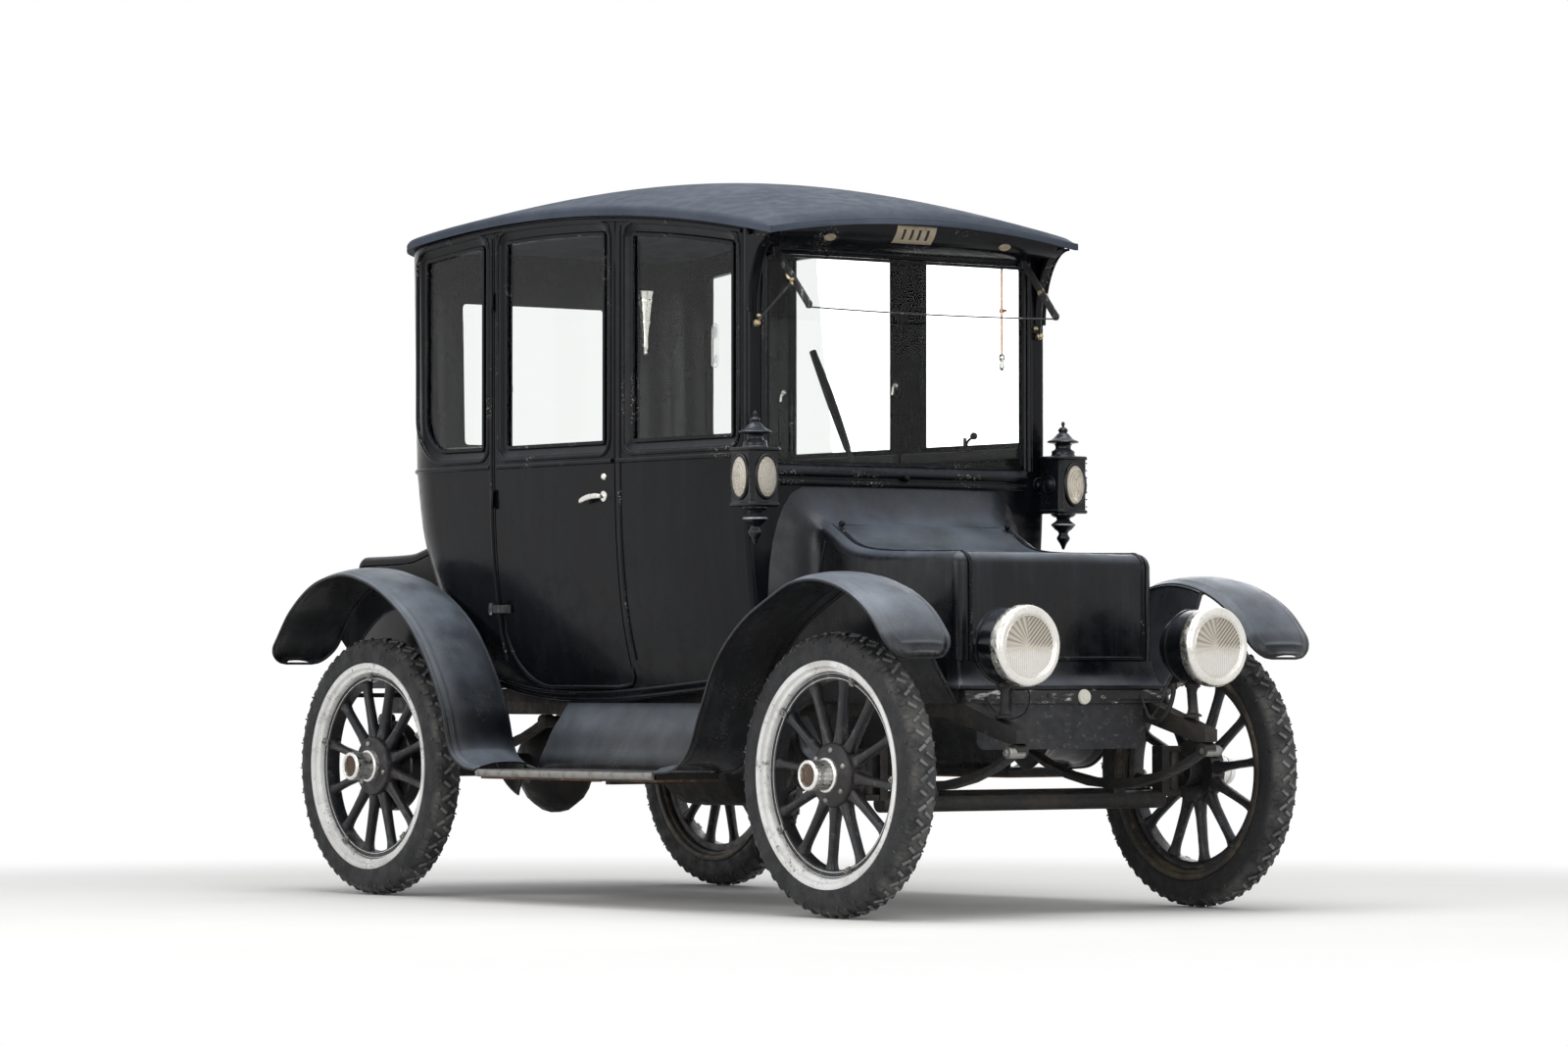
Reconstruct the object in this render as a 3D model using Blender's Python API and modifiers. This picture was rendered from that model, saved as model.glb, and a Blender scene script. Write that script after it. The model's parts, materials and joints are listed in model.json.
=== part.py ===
"""Brass era electric coupe car, four seats, tiller steered.

Metres, +Z up, +Y towards the tail, +X the car's left side.
The origin is on the ground, under the middle of the whole car.
"""
from math import asin, cos, degrees, pi, radians, sin, sqrt

import bmesh
import bpy
from mathutils import Matrix, Vector

# Driving dimensions of the whole car
WHEELBASE = 2.50
TRACK = 1.435
FRONT_OVERHANG = 0.49
REAR_OVERHANG = 0.54
SEAT_GAP = 0.0003
MOVING_GAP = 0.0055
OVERRUN = 0.05
MERGE_DISTANCE = 0.00001

# Tyres and wheels
TYRE_RADIUS = 0.432
TYRE_WIDTH = 0.109
RIM_RADIUS = 0.344
RIM_WIDTH = 0.108
TYRE_SEAT_DEPTH = 0.014
FELLOE_DEPTH = 0.027
FELLOE_WIDTH = 0.044
FELLOE_TOP_RADIUS = 0.312
SPOKE_COUNT = 12
SPOKE_ROOT = 0.040
SPOKE_TIP = 0.028
WHEEL_SEGMENTS = 32
HUB_FLANGE_RADIUS = 0.0975
HUB_FLANGE_WIDTH = 0.052
HUB_BARREL_RADIUS = 0.052
HUB_INNER_REACH = 0.075
HUB_CAP_RADIUS = 0.0465
HUB_CAP_REACH = 0.1225
HUB_CAP_ROOT = 0.040
BORE_RADIUS = 0.021
BORE_DEPTH = 0.060
BEARING_GAP = 0.0005
RIM_WELL_SHARE = 1.6
SPOKE_START_SHARE = 0.7
SPOKE_FLAT_SHARE = 0.8
TYRE_SEAT_SHARE = 0.55
DRUM_RADIUS = 0.150
DRUM_WIDTH = 0.050
HUB_SEGMENTS = 16

# Front axle and steering
AXLE_TUBE_RADIUS = 0.0285
AXLE_TUBE_DROP = 0.087
KINGPIN_INSET = 0.1075
KINGPIN_RADIUS = 0.020
KNUCKLE_HEIGHT = 0.120
YOKE_GAP = 0.0006
YOKE_PLATE = 0.018
YOKE_WIDTH = 0.050
YOKE_WALL = 0.030
YOKE_WALL_GAP = 0.012
STEER_ARM_REACH = 0.120
STEER_ARM_WIDTH = 0.026
STEER_ARM_THICKNESS = 0.014
STEER_ARM_DROP = 0.045
TIE_ROD_RADIUS = 0.011
SPRING_PAD = 0.015

# Leaf springs
SPRING_X = 0.373
SPRING_WIDTH = 0.045
SPRING_THICKNESS = 0.030
SPRING_THINNING_SHARE = 0.55
SPRING_STEPS = 8
SPRING_SADDLE_SHARE = 0.7
EYE_DROP_SHARE = 0.4
EYE_CLEAR_SHARE = 1.4
FORK_SHARE = 0.42
FRONT_SPRING_HALF = 0.430
REAR_SPRING_HALF = 0.480
FRONT_EYE_HEIGHT = 0.494
EYE_RADIUS = 0.022

# Rear axle and motor
REAR_TUBE_RADIUS = 0.038
DIFFERENTIAL_RADIUS = 0.165
DIFFERENTIAL_WIDTH = 0.240
TORQUE_TUBE_RADIUS = 0.034
MOTOR_RADIUS = 0.150
MOTOR_LENGTH = 0.440
MOTOR_AHEAD_OF_AXLE = 0.980
MOTOR_HEIGHT = 0.455

# Frame
RAIL_X = 0.373
RAIL_WIDTH = 0.050
RAIL_HEIGHT = 0.085
FRAME_FRONT_BACK_OF_NOSE = 0.300
FRAME_REAR_BACK_OF_AXLE = 0.430
CROSS_WIDTH = 0.060
HORN_DEPTH_SHARE = 0.45
BRACKET_THICKNESS = 0.015

# Cabin
DASH_BACK_OF_AXLE = 0.610
CABIN_LENGTH = 2.030
CABIN_HALF_WIDTH = 0.606
CABIN_BOTTOM = 0.640
BELT_HEIGHT = 1.417
CABIN_WALL = 0.036
REAR_CORNER_RADIUS = 0.280
FRONT_CORNER_RADIUS = 0.020

# Roof
ROOF_HALF_WIDTH = 0.622
ROOF_FRONT_OVERHANG = 0.145
ROOF_REAR_OVERHANG = 0.050
ROOF_THICKNESS = 0.030
HEADER_BOTTOM = 2.062
HEADER_HALF_WIDTH = 0.585
BRACKET_FOOT = 1.860
BRACKET_INNER_X = 0.560
BRACKET_OUTER_X = 0.604
BRACKET_NOSE_SHARE = 0.84
HEADER_STEPS = 5
SILL_RAIL_HEIGHT = 0.048
SILL_RAIL_DEPTH = 0.012
ROOF_EDGE_FRONT = 2.125
ROOF_EDGE_TOP = 2.243
ROOF_EDGE_REAR = 2.165
ROOF_CROWN_FRONT = 0.052
ROOF_CROWN = 0.105
ROOF_TAIL_CROWN_SHARE = 0.1
ROOF_LEAN_POWER = 0.9
ROOF_SWELL_POWER = 0.6
ROOF_CORNER_SHARE = 1.05

# Doors and windows
DOOR_FRONT_BACK_OF_DASH = 0.690
DOOR_WIDTH = 0.690
DOOR_BOTTOM = 0.682
DOOR_TOP = 2.192
DOOR_CORNER = 0.200
DOOR_BEVEL = 0.036
DOOR_FOOT_RISE_SHARE = 0.12
DOOR_FOOT_RUN_SHARE = 0.5
DOOR_REAR_POST_SHARE = 0.75
WINDOW_DROP_SHARE = 0.72
QUARTER_CORNER = 0.12
HANDLE_HEIGHT = 1.305
HANDLE_START = 0.066
HANDLE_LENGTH = 0.110
HANDLE_STAND = 0.020
HANDLE_RADIUS = 0.006
HINGE_OFFSET = 0.010
WINDOW_SILL = 1.475
WINDOW_TOP = 2.125
DOOR_POST = 0.075
GLASS_THICKNESS = 0.006
FRONT_QUARTER_START = 0.075
REAR_QUARTER_START = 0.070
REAR_QUARTER_END = 1.795
SCREEN_HALF_WIDTH = 0.452
SCREEN_SILL = 1.392
SCREEN_TOP = 2.046
BACK_LIGHT_HALF_WIDTH = 0.300
BACK_LIGHT_BOTTOM = 1.520
BACK_LIGHT_TOP = 2.000

# Hood and rear deck
HOOD_HALF_WIDTH = 0.390
HOOD_HINGE_AHEAD = 0.110
HOOD_HINGE_HEIGHT = 1.200
HOOD_TOP = 1.105
HOOD_BOTTOM = 0.774
HOOD_NOSE_SETBACK = 0.320
HOOD_SHEET = 0.016
HOOD_CORNER = 0.045
HOOD_SHOULDER = 0.0345
HOOD_SHOULDER_DROP = 0.022
WELD = 0.001
COWL_HALF_WIDTH = 0.523
COWL_TOP = 1.325
APRON_BOTTOM = 0.688
APRON_FLARE = 0.030
APRON_WAIST_SHARE = 0.35
APRON_SIDE_SHARE = 0.6
LID_SEAT = 0.003
HOOD_TURN_DOWN = 0.014
BATTERY_CLEARANCE = 0.030
DECK_HALF_WIDTH = 0.460
DECK_TOP = 1.170
DECK_FALL = 0.030
DECK_START_AHEAD = 0.085

# Front plate
PLATE_BAR_DEPTH = 0.030
PLATE_BAR_HEIGHT = 0.043
PLATE_THICKNESS = 0.010
PLATE_BOTTOM = 0.504

# Fenders and running boards
FENDER_WIDTH = 0.262
FENDER_SHEET = 0.006
FENDER_CROWN = 0.026
FENDER_APRON_SHEET = 0.007
FENDER_SKIRT_DEPTH = 0.110
FENDER_TOP_FRONT = 1.044
FENDER_TOP_REAR = 1.095
FRONT_FENDER_FORE = 0.405
FRONT_FENDER_AFT = 0.775
REAR_FENDER_FORE = 0.755
REAR_FENDER_AFT = 0.505
BOARD_TOP = 0.430
BOARD_THICKNESS = 0.032
VALANCE_TOP = 0.642
VALANCE_TOP_X = 0.470
VALANCE_SHEET = 0.009
VALANCE_FOOT = 0.025

# Lamps
HEADLAMP_X = 0.374
HEADLAMP_POST = 0.0977
HEADLAMP_RADIUS = 0.123
HEADLAMP_DEPTH = 0.225
HEADLAMP_POST_SHARE = 0.55
HEADLAMP_POST_RADIUS = 0.012
HEADLAMP_POST_TOP_SHARE = 0.60
LAMP_SEGMENTS = 24
LANTERN_X = 0.622
LANTERN_AHEAD_OF_DASH = 0.068
LANTERN_SIZE = 0.124
LANTERN_BOTTOM = 1.250
LANTERN_TOP = 1.435
LANTERN_TIP = 1.548
LANTERN_PENDANT = 1.135
LANTERN_BEVEL_SHARE = 0.12
LANTERN_BEVEL_ANGLE = 30
LANTERN_ARM_SHARE = 0.75
LANTERN_ARM_RADIUS = 0.016
LANTERN_SEGMENTS = 12

# Inside
FLOOR_THICKNESS = 0.022
BENCH_FRONT_AHEAD_OF_BACK = 0.600
BENCH_HEIGHT = 1.060
CUSHION_THICKNESS = 0.150
BENCH_BACK_TOP = 1.520
BACKREST_THICKNESS = 0.160
CHAIR_X = -0.225
CHAIR_BACK_OF_DASH = 0.640
CHAIR_WIDTH = 0.480
CHAIR_DEPTH = 0.440
CHAIR_TOP = 1.500
CHAIR_CUSHION = 0.120
CHAIR_BACK_THICKNESS = 0.100
CHAIR_PAN_RADIUS = 0.160
CHAIR_COLUMN_RADIUS = 0.030
CHAIR_FOOT_RADIUS = 0.110
CUSHION_ROUNDING = 0.030
TILLER_X = 0.400
TILLER_BACK_OF_DASH = 0.695
TILLER_RADIUS = 0.011

# Tiller bar from its foot: offset across, along and up
TILLER_LINE = ((0.0, 0.0, 0.0), (0.0, 0.0, 0.60), (-0.02, 0.04, 0.73), (-0.04, 0.22, 1.106))

# Places worked out from the sizes above
LENGTH = FRONT_OVERHANG + WHEELBASE + REAR_OVERHANG
NOSE_Y = -LENGTH / 2
TAIL_Y = LENGTH / 2
FRONT_AXLE_Y = NOSE_Y + FRONT_OVERHANG
REAR_AXLE_Y = FRONT_AXLE_Y + WHEELBASE
AXLE_HEIGHT = TYRE_RADIUS * cos(pi / WHEEL_SEGMENTS)
WHEEL_X = TRACK / 2
KINGPIN_X = WHEEL_X - KINGPIN_INSET
DASH_Y = FRONT_AXLE_Y + DASH_BACK_OF_AXLE
BACK_Y = DASH_Y + CABIN_LENGTH
CABIN_TOP = ROOF_EDGE_TOP + ROOF_CROWN
DOOR_FRONT_Y = DASH_Y + DOOR_FRONT_BACK_OF_DASH
DOOR_REAR_Y = DOOR_FRONT_Y + DOOR_WIDTH
DOOR_HINGE_X = CABIN_HALF_WIDTH + HINGE_OFFSET
HOOD_HINGE_Y = DASH_Y - HOOD_HINGE_AHEAD
HOOD_FRONT_Y = NOSE_Y + HOOD_NOSE_SETBACK
DECK_START_Y = BACK_Y - DECK_START_AHEAD
ROOF_FRONT_Y = DASH_Y - ROOF_FRONT_OVERHANG
ROOF_REAR_Y = BACK_Y + ROOF_REAR_OVERHANG
LANTERN_Y = DASH_Y - LANTERN_AHEAD_OF_DASH
RAIL_TOP = APRON_BOTTOM - SEAT_GAP
RAIL_LOW = RAIL_TOP - RAIL_HEIGHT
EYE_RISE = EYE_RADIUS * EYE_CLEAR_SHARE
REAR_EYE_HEIGHT = RAIL_LOW - SEAT_GAP - EYE_RISE
BAR_FRONT_Y = HOOD_FRONT_Y - APRON_FLARE
BAR_SEAT = APRON_BOTTOM - PLATE_BAR_HEIGHT
FLOOR_TOP = APRON_BOTTOM + FLOOR_THICKNESS
MOTOR_Y = REAR_AXLE_Y - MOTOR_AHEAD_OF_AXLE
FENDER_INNER_X = WHEEL_X - FENDER_WIDTH / 2
FENDER_OUTER_X = WHEEL_X + FENDER_WIDTH / 2

# Cabin side sections: share of the height from bottom to belt, share of the half width,
# share of the length at the back wall
CABIN_SECTION_SHARES = (
    (0.00, 0.790, 0.780),
    (0.08, 0.845, 0.835),
    (0.20, 0.895, 0.885),
    (0.34, 0.938, 0.925),
    (0.52, 0.970, 0.955),
    (0.72, 0.990, 0.983),
    (1.00, 1.000, 1.000),
)
CABIN_TOP_SHARES = (1.000, 1.012)

# Tyre section: share of the height from rim to tread, share of the half width
TYRE_SHARES = ((0.0, 0.925), (0.26, 1.0), (0.60, 0.98), (0.86, 0.78), (1.0, 0.30))

# Gear housing and motor end bells: share of the radius, share of the half length
HOUSING_SHARES = (
    (0.0, 1.0), (0.42, 1.0), (0.86, 0.5), (1.0, 0.16), (1.0, -0.16), (0.86, -0.5), (0.42, -1.0),
    (0.0, -1.0),
)
MOTOR_SHARES = (
    (0.0, 1.0), (0.72, 1.0), (0.72, 0.86), (1.0, 0.80), (1.0, -0.80), (0.72, -0.86), (0.72, -1.0),
    (0.0, -1.0),
)

# Sill line seen from the side: share of the cabin length, height above the cabin bottom as
# a share of the bottom to belt height
SILL_SHARES = (
    (0.00, 0.085), (0.17, 0.050), (0.34, 0.020), (0.48, 0.004), (0.62, 0.016),
    (0.72, 0.062), (0.785, 0.125), (0.83, 0.200),
)

# Front fender seen from the side: share of the reach from the axle, share of the rise
FRONT_FENDER_SHARES = (
    (-1.00, 0.600), (-0.965, 0.655), (-0.90, 0.725), (-0.72, 0.850), (-0.45, 0.950),
    (-0.12, 1.000), (0.09, 0.985), (0.20, 0.930), (0.415, 0.783), (0.577, 0.586),
    (0.693, 0.303), (0.765, 0.116), (0.86, 0.022), (1.00, 0.000),
)
REAR_FENDER_SHARES = (
    (-1.00, 0.000), (-0.90, 0.018), (-0.812, 0.085), (-0.745, 0.305), (-0.63, 0.541),
    (-0.483, 0.740), (-0.26, 0.908), (-0.046, 0.990), (0.16, 1.000), (0.45, 0.947),
    (0.72, 0.812), (0.89, 0.660), (0.965, 0.590), (1.00, 0.540),
)
FENDER_CROSS_SHARES = ((0.0, 0.0), (0.15, 0.62), (0.5, 1.0), (0.85, 0.62), (1.0, 0.0))
FENDER_TIP_SHARE = 0.84
FENDER_TIP_NARROW = 0.45

# Lantern finials: share of the half size, share of the way up or down
LANTERN_CROWN_SHARES = (
    (0.0, 1.0), (0.14, 0.95), (0.14, 0.84), (0.30, 0.74), (0.26, 0.60), (0.70, 0.46),
    (0.78, 0.38), (0.40, 0.22), (0.62, -0.06), (0.0, -0.06),
)
LANTERN_DROP_SHARES = (
    (0.0, 0.08), (0.62, 0.08), (0.34, -0.12), (0.62, -0.30), (0.54, -0.42), (0.22, -0.55),
    (0.34, -0.72), (0.16, -0.88), (0.0, -1.0),
)

# Headlamp side line from the lens centre back: share of the radius, share of the depth
HEADLAMP_SHARES = (
    (0.0, 0.0), (0.84, 0.0), (0.88, 0.044), (1.0, 0.062), (1.0, 0.23), (0.93, 0.258),
    (0.93, 0.62), (0.72, 0.86), (0.34, 1.0), (0.0, 1.0),
)

# Hood top seen from the side: share of the way from hinge to nose, share of the fall from
# the hinge height to the hood top
HOOD_LINE_SHARES = ((0.0, 0.0), (0.10, 0.38), (0.22, 0.76), (0.45, 0.93), (0.88, 1.0))

# Rounded hood shoulder: share of its reach outwards, share of its reach down
SHOULDER_SHARES = ((0.0, 0.0), (0.38, 0.075), (0.71, 0.29), (0.92, 0.61), (1.0, 1.0))

# Arched top of the chair back: share of the half width, share of the height over the cushion
CHAIR_ARCH_SHARES = ((1.0, 0.62), (0.94, 0.80), (0.80, 0.92), (0.52, 0.985), (0.0, 1.0))

# Cowl sections at the hood and at the dash: share of the half width, share of the height
COWL_FRONT_SHARES = (
    (1.00, 0.0), (1.00, 0.84), (0.985, 0.93), (0.95, 0.975), (0.90, 0.995), (0.84, 1.0),
)
COWL_DASH_SHARES = (
    (1.00, 0.0), (0.99, 0.40), (0.93, 0.66), (0.86, 0.82), (0.76, 0.94), (0.62, 1.0),
)

# Colours as red, green, blue; roughness; metallic
FINISHES = {
    "black_enamel": ((0.012, 0.013, 0.016), 0.25, 0.0),
    "roof_fabric": ((0.020, 0.021, 0.024), 0.75, 0.0),
    "rubber": ((0.018, 0.018, 0.019), 0.85, 0.0),
    "wheel_black": ((0.015, 0.015, 0.017), 0.40, 0.0),
    "nickel": ((0.75, 0.74, 0.70), 0.25, 1.0),
    "glass": ((0.80, 0.85, 0.84), 0.05, 0.0),
    "chassis_iron": ((0.030, 0.027, 0.025), 0.60, 0.3),
    "upholstery": ((0.36, 0.35, 0.27), 0.90, 0.0),
    "floor_wood": ((0.10, 0.07, 0.05), 0.70, 0.0),
    "battery": ((0.05, 0.05, 0.05), 0.60, 0.0),
}


def clear_scene():
    for old in list(bpy.data.objects):
        bpy.data.objects.remove(old, do_unlink=True)


def make_collection(name):
    group = bpy.data.collections.new(name)
    bpy.context.scene.collection.children.link(group)
    return group


clear_scene()
PARTS = make_collection("electric_coupe_car")
CUTTERS = make_collection("cutters")
MATERIALS = {}


def finish(name):
    if name not in MATERIALS:
        colour, roughness, metallic = FINISHES[name]
        made = bpy.data.materials.new(name)
        made.use_nodes = True
        shader = made.node_tree.nodes["Principled BSDF"]
        shader.inputs["Base Color"].default_value = (*colour, 1.0)
        shader.inputs["Roughness"].default_value = roughness
        shader.inputs["Metallic"].default_value = metallic
        MATERIALS[name] = made
    return MATERIALS[name]


def place(name, mesh, look, at=(0, 0, 0), turn=(0, 0, 0)):
    """Make the mesh a named part with one finish."""
    part = bpy.data.objects.new(name, mesh)
    part.location = at
    part.rotation_euler = turn
    PARTS.objects.link(part)
    mesh.materials.clear()
    mesh.materials.append(finish(look))
    return part


def guide(name, mesh, at=(0, 0, 0), turn=(0, 0, 0)):
    """Make the mesh a helper that only cuts or joins."""
    tool = bpy.data.objects.new(name, mesh)
    tool.location = at
    tool.rotation_euler = turn
    tool.hide_render = True
    tool.display_type = "WIRE"
    CUTTERS.objects.link(tool)
    return tool


def boolean(part, tool, operation):
    step = part.modifiers.new(operation.lower(), "BOOLEAN")
    step.operation = operation
    step.object = tool
    step.solver = "EXACT"
    return step


def bevel(part, width, segments=2, angle=40):
    step = part.modifiers.new("rounded_edges", "BEVEL")
    step.width = width
    step.segments = segments
    step.limit_method = "ANGLE"
    step.angle_limit = radians(angle)
    return step


def smooth(part, angle=35):
    part.data.shade_smooth()
    part.data.set_sharp_from_angle(angle=radians(angle))
    return part


def face_outwards(shape):
    """Turn every face of a closed shape outwards."""
    bmesh.ops.recalc_face_normals(shape, faces=shape.faces)
    if shape.calc_volume(signed=True) < 0:
        bmesh.ops.reverse_faces(shape, faces=shape.faces)


def to_mesh(name, shape):
    mesh = bpy.data.meshes.new(name)
    shape.to_mesh(mesh)
    shape.free()
    return mesh


def add_box(shape, low, high):
    low, high = Vector(low), Vector(high)
    matrix = Matrix.Translation((low + high) / 2) @ Matrix.Diagonal((*(high - low), 1))
    return bmesh.ops.create_cube(shape, size=1, matrix=matrix)["verts"]


def add_rod(shape, start, end, radius, tip=None, segments=12, flat=1.0):
    """Add a closed round bar between two points; flat narrows it along its second axis."""
    start, end = Vector(start), Vector(end)
    along = end - start
    turn = along.to_track_quat("Z", "Y").to_matrix().to_4x4()
    matrix = Matrix.Translation((start + end) / 2) @ turn @ Matrix.Diagonal((1, flat, 1, 1))
    return bmesh.ops.create_cone(
        shape, cap_ends=True, segments=segments, radius1=radius,
        radius2=radius if tip is None else tip, depth=along.length, matrix=matrix)["verts"]


def side_volume(faces):
    """Signed volume that the faces enclose; negative when they face inwards."""
    total = 0.0
    for face in faces:
        face.normal_update()
        first, *rest = [corner.co for corner in face.verts]
        for second, third in zip(rest, rest[1:]):
            total += first.dot(second.cross(third))
    return total


def add_loft(shape, rings):
    """Join closed rings of equal length into one solid, outside out."""
    rows = [[shape.verts.new(point) for point in ring] for ring in rings]
    made = []
    for lower, upper in zip(rows, rows[1:]):
        count = len(lower)
        for index in range(count):
            after = (index + 1) % count
            made.append(shape.faces.new((lower[index], lower[after], upper[after], upper[index])))
    made.append(shape.faces.new(list(reversed(rows[0]))))
    made.append(shape.faces.new(rows[-1]))
    bmesh.ops.recalc_face_normals(shape, faces=made)
    if side_volume(made) < 0:
        bmesh.ops.reverse_faces(shape, faces=made)
    return made


def prism_x(outline, low, high):
    """A solid from an outline of (y, z) points, between two places along X."""
    shape = bmesh.new()
    add_loft(shape, [[(x, y, z) for y, z in outline] for x in (low, high)])
    return shape


def turned(name, profiles, segments):
    """A mesh whose closed or axis-to-axis profiles turn about Z."""
    mesh = bpy.data.meshes.new(name)
    points, edges = [], []
    for profile in profiles:
        first = len(points)
        points += [(radius, 0, height) for radius, height in profile]
        last = len(points) - 1
        edges += [(index, index + 1) for index in range(first, last)]
        if profile[0][0] > 0 and profile[-1][0] > 0:
            edges.append((last, first))
    mesh.from_pydata(points, edges, [])
    holder = bpy.data.objects.new(name, mesh)
    CUTTERS.objects.link(holder)
    screw = holder.modifiers.new("turned", "SCREW")
    screw.steps = segments
    screw.render_steps = segments
    screw.use_merge_vertices = True
    screw.merge_threshold = 0.0001
    bpy.context.view_layer.update()
    graph = bpy.context.evaluated_depsgraph_get()
    result = bpy.data.meshes.new_from_object(holder.evaluated_get(graph))
    bpy.data.objects.remove(holder, do_unlink=True)
    shape = bmesh.new()
    shape.from_mesh(result)
    bmesh.ops.remove_doubles(shape, verts=shape.verts, dist=MERGE_DISTANCE)
    face_outwards(shape)
    shape.to_mesh(result)
    shape.free()
    return result


def tube_mesh(name, points, radius, resolution=1):
    """A round bar along points, with its caps welded."""
    curve = bpy.data.curves.new(name, "CURVE")
    curve.dimensions = "3D"
    line = curve.splines.new("POLY")
    line.points.add(len(points) - 1)
    for spot, point in zip(line.points, points):
        spot.co = (*point, 1)
    curve.bevel_depth = radius
    curve.bevel_resolution = resolution
    curve.use_fill_caps = True
    holder = bpy.data.objects.new(name, curve)
    CUTTERS.objects.link(holder)
    bpy.context.view_layer.update()
    graph = bpy.context.evaluated_depsgraph_get()
    mesh = bpy.data.meshes.new_from_object(holder.evaluated_get(graph))
    bpy.data.objects.remove(holder, do_unlink=True)
    shape = bmesh.new()
    shape.from_mesh(mesh)
    bmesh.ops.remove_doubles(shape, verts=shape.verts, dist=MERGE_DISTANCE)
    shape.to_mesh(mesh)
    shape.free()
    return mesh


def mirrored(mesh, name):
    """A copy of the mesh on the other side of the car."""
    shape = bmesh.new()
    shape.from_mesh(mesh)
    bmesh.ops.scale(shape, vec=(-1, 1, 1), verts=shape.verts)
    bmesh.ops.reverse_faces(shape, faces=shape.faces)
    return to_mesh(name, shape)


SIDES = (("right", -1), ("left", 1))


# Wheels, tyres and hubs
def wheel_profile(driven):
    """Rim, felloe and hub, outwards along Z."""
    half_rim = RIM_WIDTH / 2
    half_felloe = FELLOE_WIDTH / 2
    seat = RIM_RADIUS - TYRE_SEAT_DEPTH
    inner = FELLOE_TOP_RADIUS - FELLOE_DEPTH
    well = half_rim - TYRE_SEAT_DEPTH * RIM_WELL_SHARE
    ring = [
        (RIM_RADIUS, half_rim), (seat, well), (seat, -well), (RIM_RADIUS, -half_rim),
        (FELLOE_TOP_RADIUS, -half_felloe), (inner, -half_felloe), (inner, half_felloe),
        (FELLOE_TOP_RADIUS, half_felloe),
    ]
    half_flange = HUB_FLANGE_WIDTH / 2
    hub = [
        (0, HUB_CAP_REACH), (HUB_CAP_RADIUS, HUB_CAP_REACH), (HUB_CAP_RADIUS, HUB_CAP_ROOT),
        (HUB_BARREL_RADIUS, HUB_CAP_ROOT), (HUB_BARREL_RADIUS, half_flange),
        (HUB_FLANGE_RADIUS, half_flange), (HUB_FLANGE_RADIUS, -half_flange),
    ]
    if driven:
        hub += [(DRUM_RADIUS, -half_flange), (DRUM_RADIUS, -half_flange - DRUM_WIDTH)]
        end = -half_flange - DRUM_WIDTH
    else:
        hub += [(HUB_BARREL_RADIUS, -half_flange), (HUB_BARREL_RADIUS, -HUB_INNER_REACH)]
        end = -HUB_INNER_REACH
    hub += [(BORE_RADIUS, end), (BORE_RADIUS, BORE_DEPTH), (0, BORE_DEPTH)]
    return ring, hub


def spokes_mesh():
    shape = bmesh.new()
    start = HUB_FLANGE_RADIUS * SPOKE_START_SHARE
    end = FELLOE_TOP_RADIUS - FELLOE_DEPTH / 2
    for index in range(SPOKE_COUNT):
        angle = pi * (2 * index + 1) / SPOKE_COUNT
        way = Vector((cos(angle), sin(angle), 0))
        add_rod(shape, way * start, way * end, SPOKE_ROOT / 2, SPOKE_TIP / 2, 6, SPOKE_FLAT_SHARE)
    return to_mesh("spokes", shape)


def tyre_profile():
    half = TYRE_WIDTH / 2
    height = TYRE_RADIUS - RIM_RADIUS
    seat = RIM_RADIUS - TYRE_SEAT_DEPTH + SEAT_GAP
    upper = [(seat, half * TYRE_SEAT_SHARE)]
    upper += [(RIM_RADIUS + height * up, half * out) for up, out in TYRE_SHARES]
    lower = [(radius, -out) for radius, out in reversed(upper)]
    return upper + lower


HALF_FACET = pi / WHEEL_SEGMENTS


def build_wheels():
    tyre_mesh = turned("tyre", [tyre_profile()], WHEEL_SEGMENTS)
    spokes = spokes_mesh()
    rows = (("front", FRONT_AXLE_Y, False), ("rear", REAR_AXLE_Y, True))
    for end, y, driven in rows:
        ring, hub = wheel_profile(driven)
        wheel_mesh = turned(end + "_rim", [ring], WHEEL_SEGMENTS)
        hub_mesh = turned(end + "_hub", [hub], HUB_SEGMENTS)
        for side, sign in SIDES:
            at = (sign * WHEEL_X, y, AXLE_HEIGHT)
            turn = (0, sign * pi / 2, 0)
            turn_tyre = Matrix.Rotation(sign * pi / 2, 3, "Y") @ Matrix.Rotation(HALF_FACET, 3, "Z")
            wheel = place(f"wheel_{end}_{side}", wheel_mesh.copy(), "wheel_black", at)
            wheel.rotation_euler = turn_tyre.to_euler()
            tool = guide(f"spokes_{end}_{side}", spokes, at, turn)
            boolean(wheel, tool, "UNION")
            boolean(wheel, guide(f"hub_{end}_{side}", hub_mesh, at, turn), "UNION")
            tyre = place(f"tyre_{end}_{side}", tyre_mesh.copy(), "rubber", at)
            tyre.rotation_euler = turn_tyre.to_euler()
            smooth(tyre)


# Axles, springs and steering
def leaf_spring(shape, x, y, half_length, eye_height, seat_height):
    """A bowed leaf pack with an eye at each end, bow down."""
    lower, upper = [], []
    for index in range(SPRING_STEPS + 1):
        share = -1 + 2 * index / SPRING_STEPS
        thick = SPRING_THICKNESS * (1 - SPRING_THINNING_SHARE * abs(share))
        z = seat_height + (eye_height - seat_height) * share * share
        lower.append((y + half_length * share, z))
        upper.append((y + half_length * share, z + thick))
    outline = lower + list(reversed(upper))
    low, high = x - SPRING_WIDTH / 2, x + SPRING_WIDTH / 2
    add_loft(shape, [[(place_x, a, b) for a, b in outline] for place_x in (low, high)])


def spring_eyes(shape, x, y, half_length, eye_height):
    for sign in (-1, 1):
        spot = y + sign * half_length
        centre = eye_height + EYE_RADIUS * EYE_DROP_SHARE
        add_rod(shape, (x - SPRING_WIDTH / 2, spot, centre), (x + SPRING_WIDTH / 2, spot, centre),
                EYE_RADIUS, None, 10)


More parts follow.
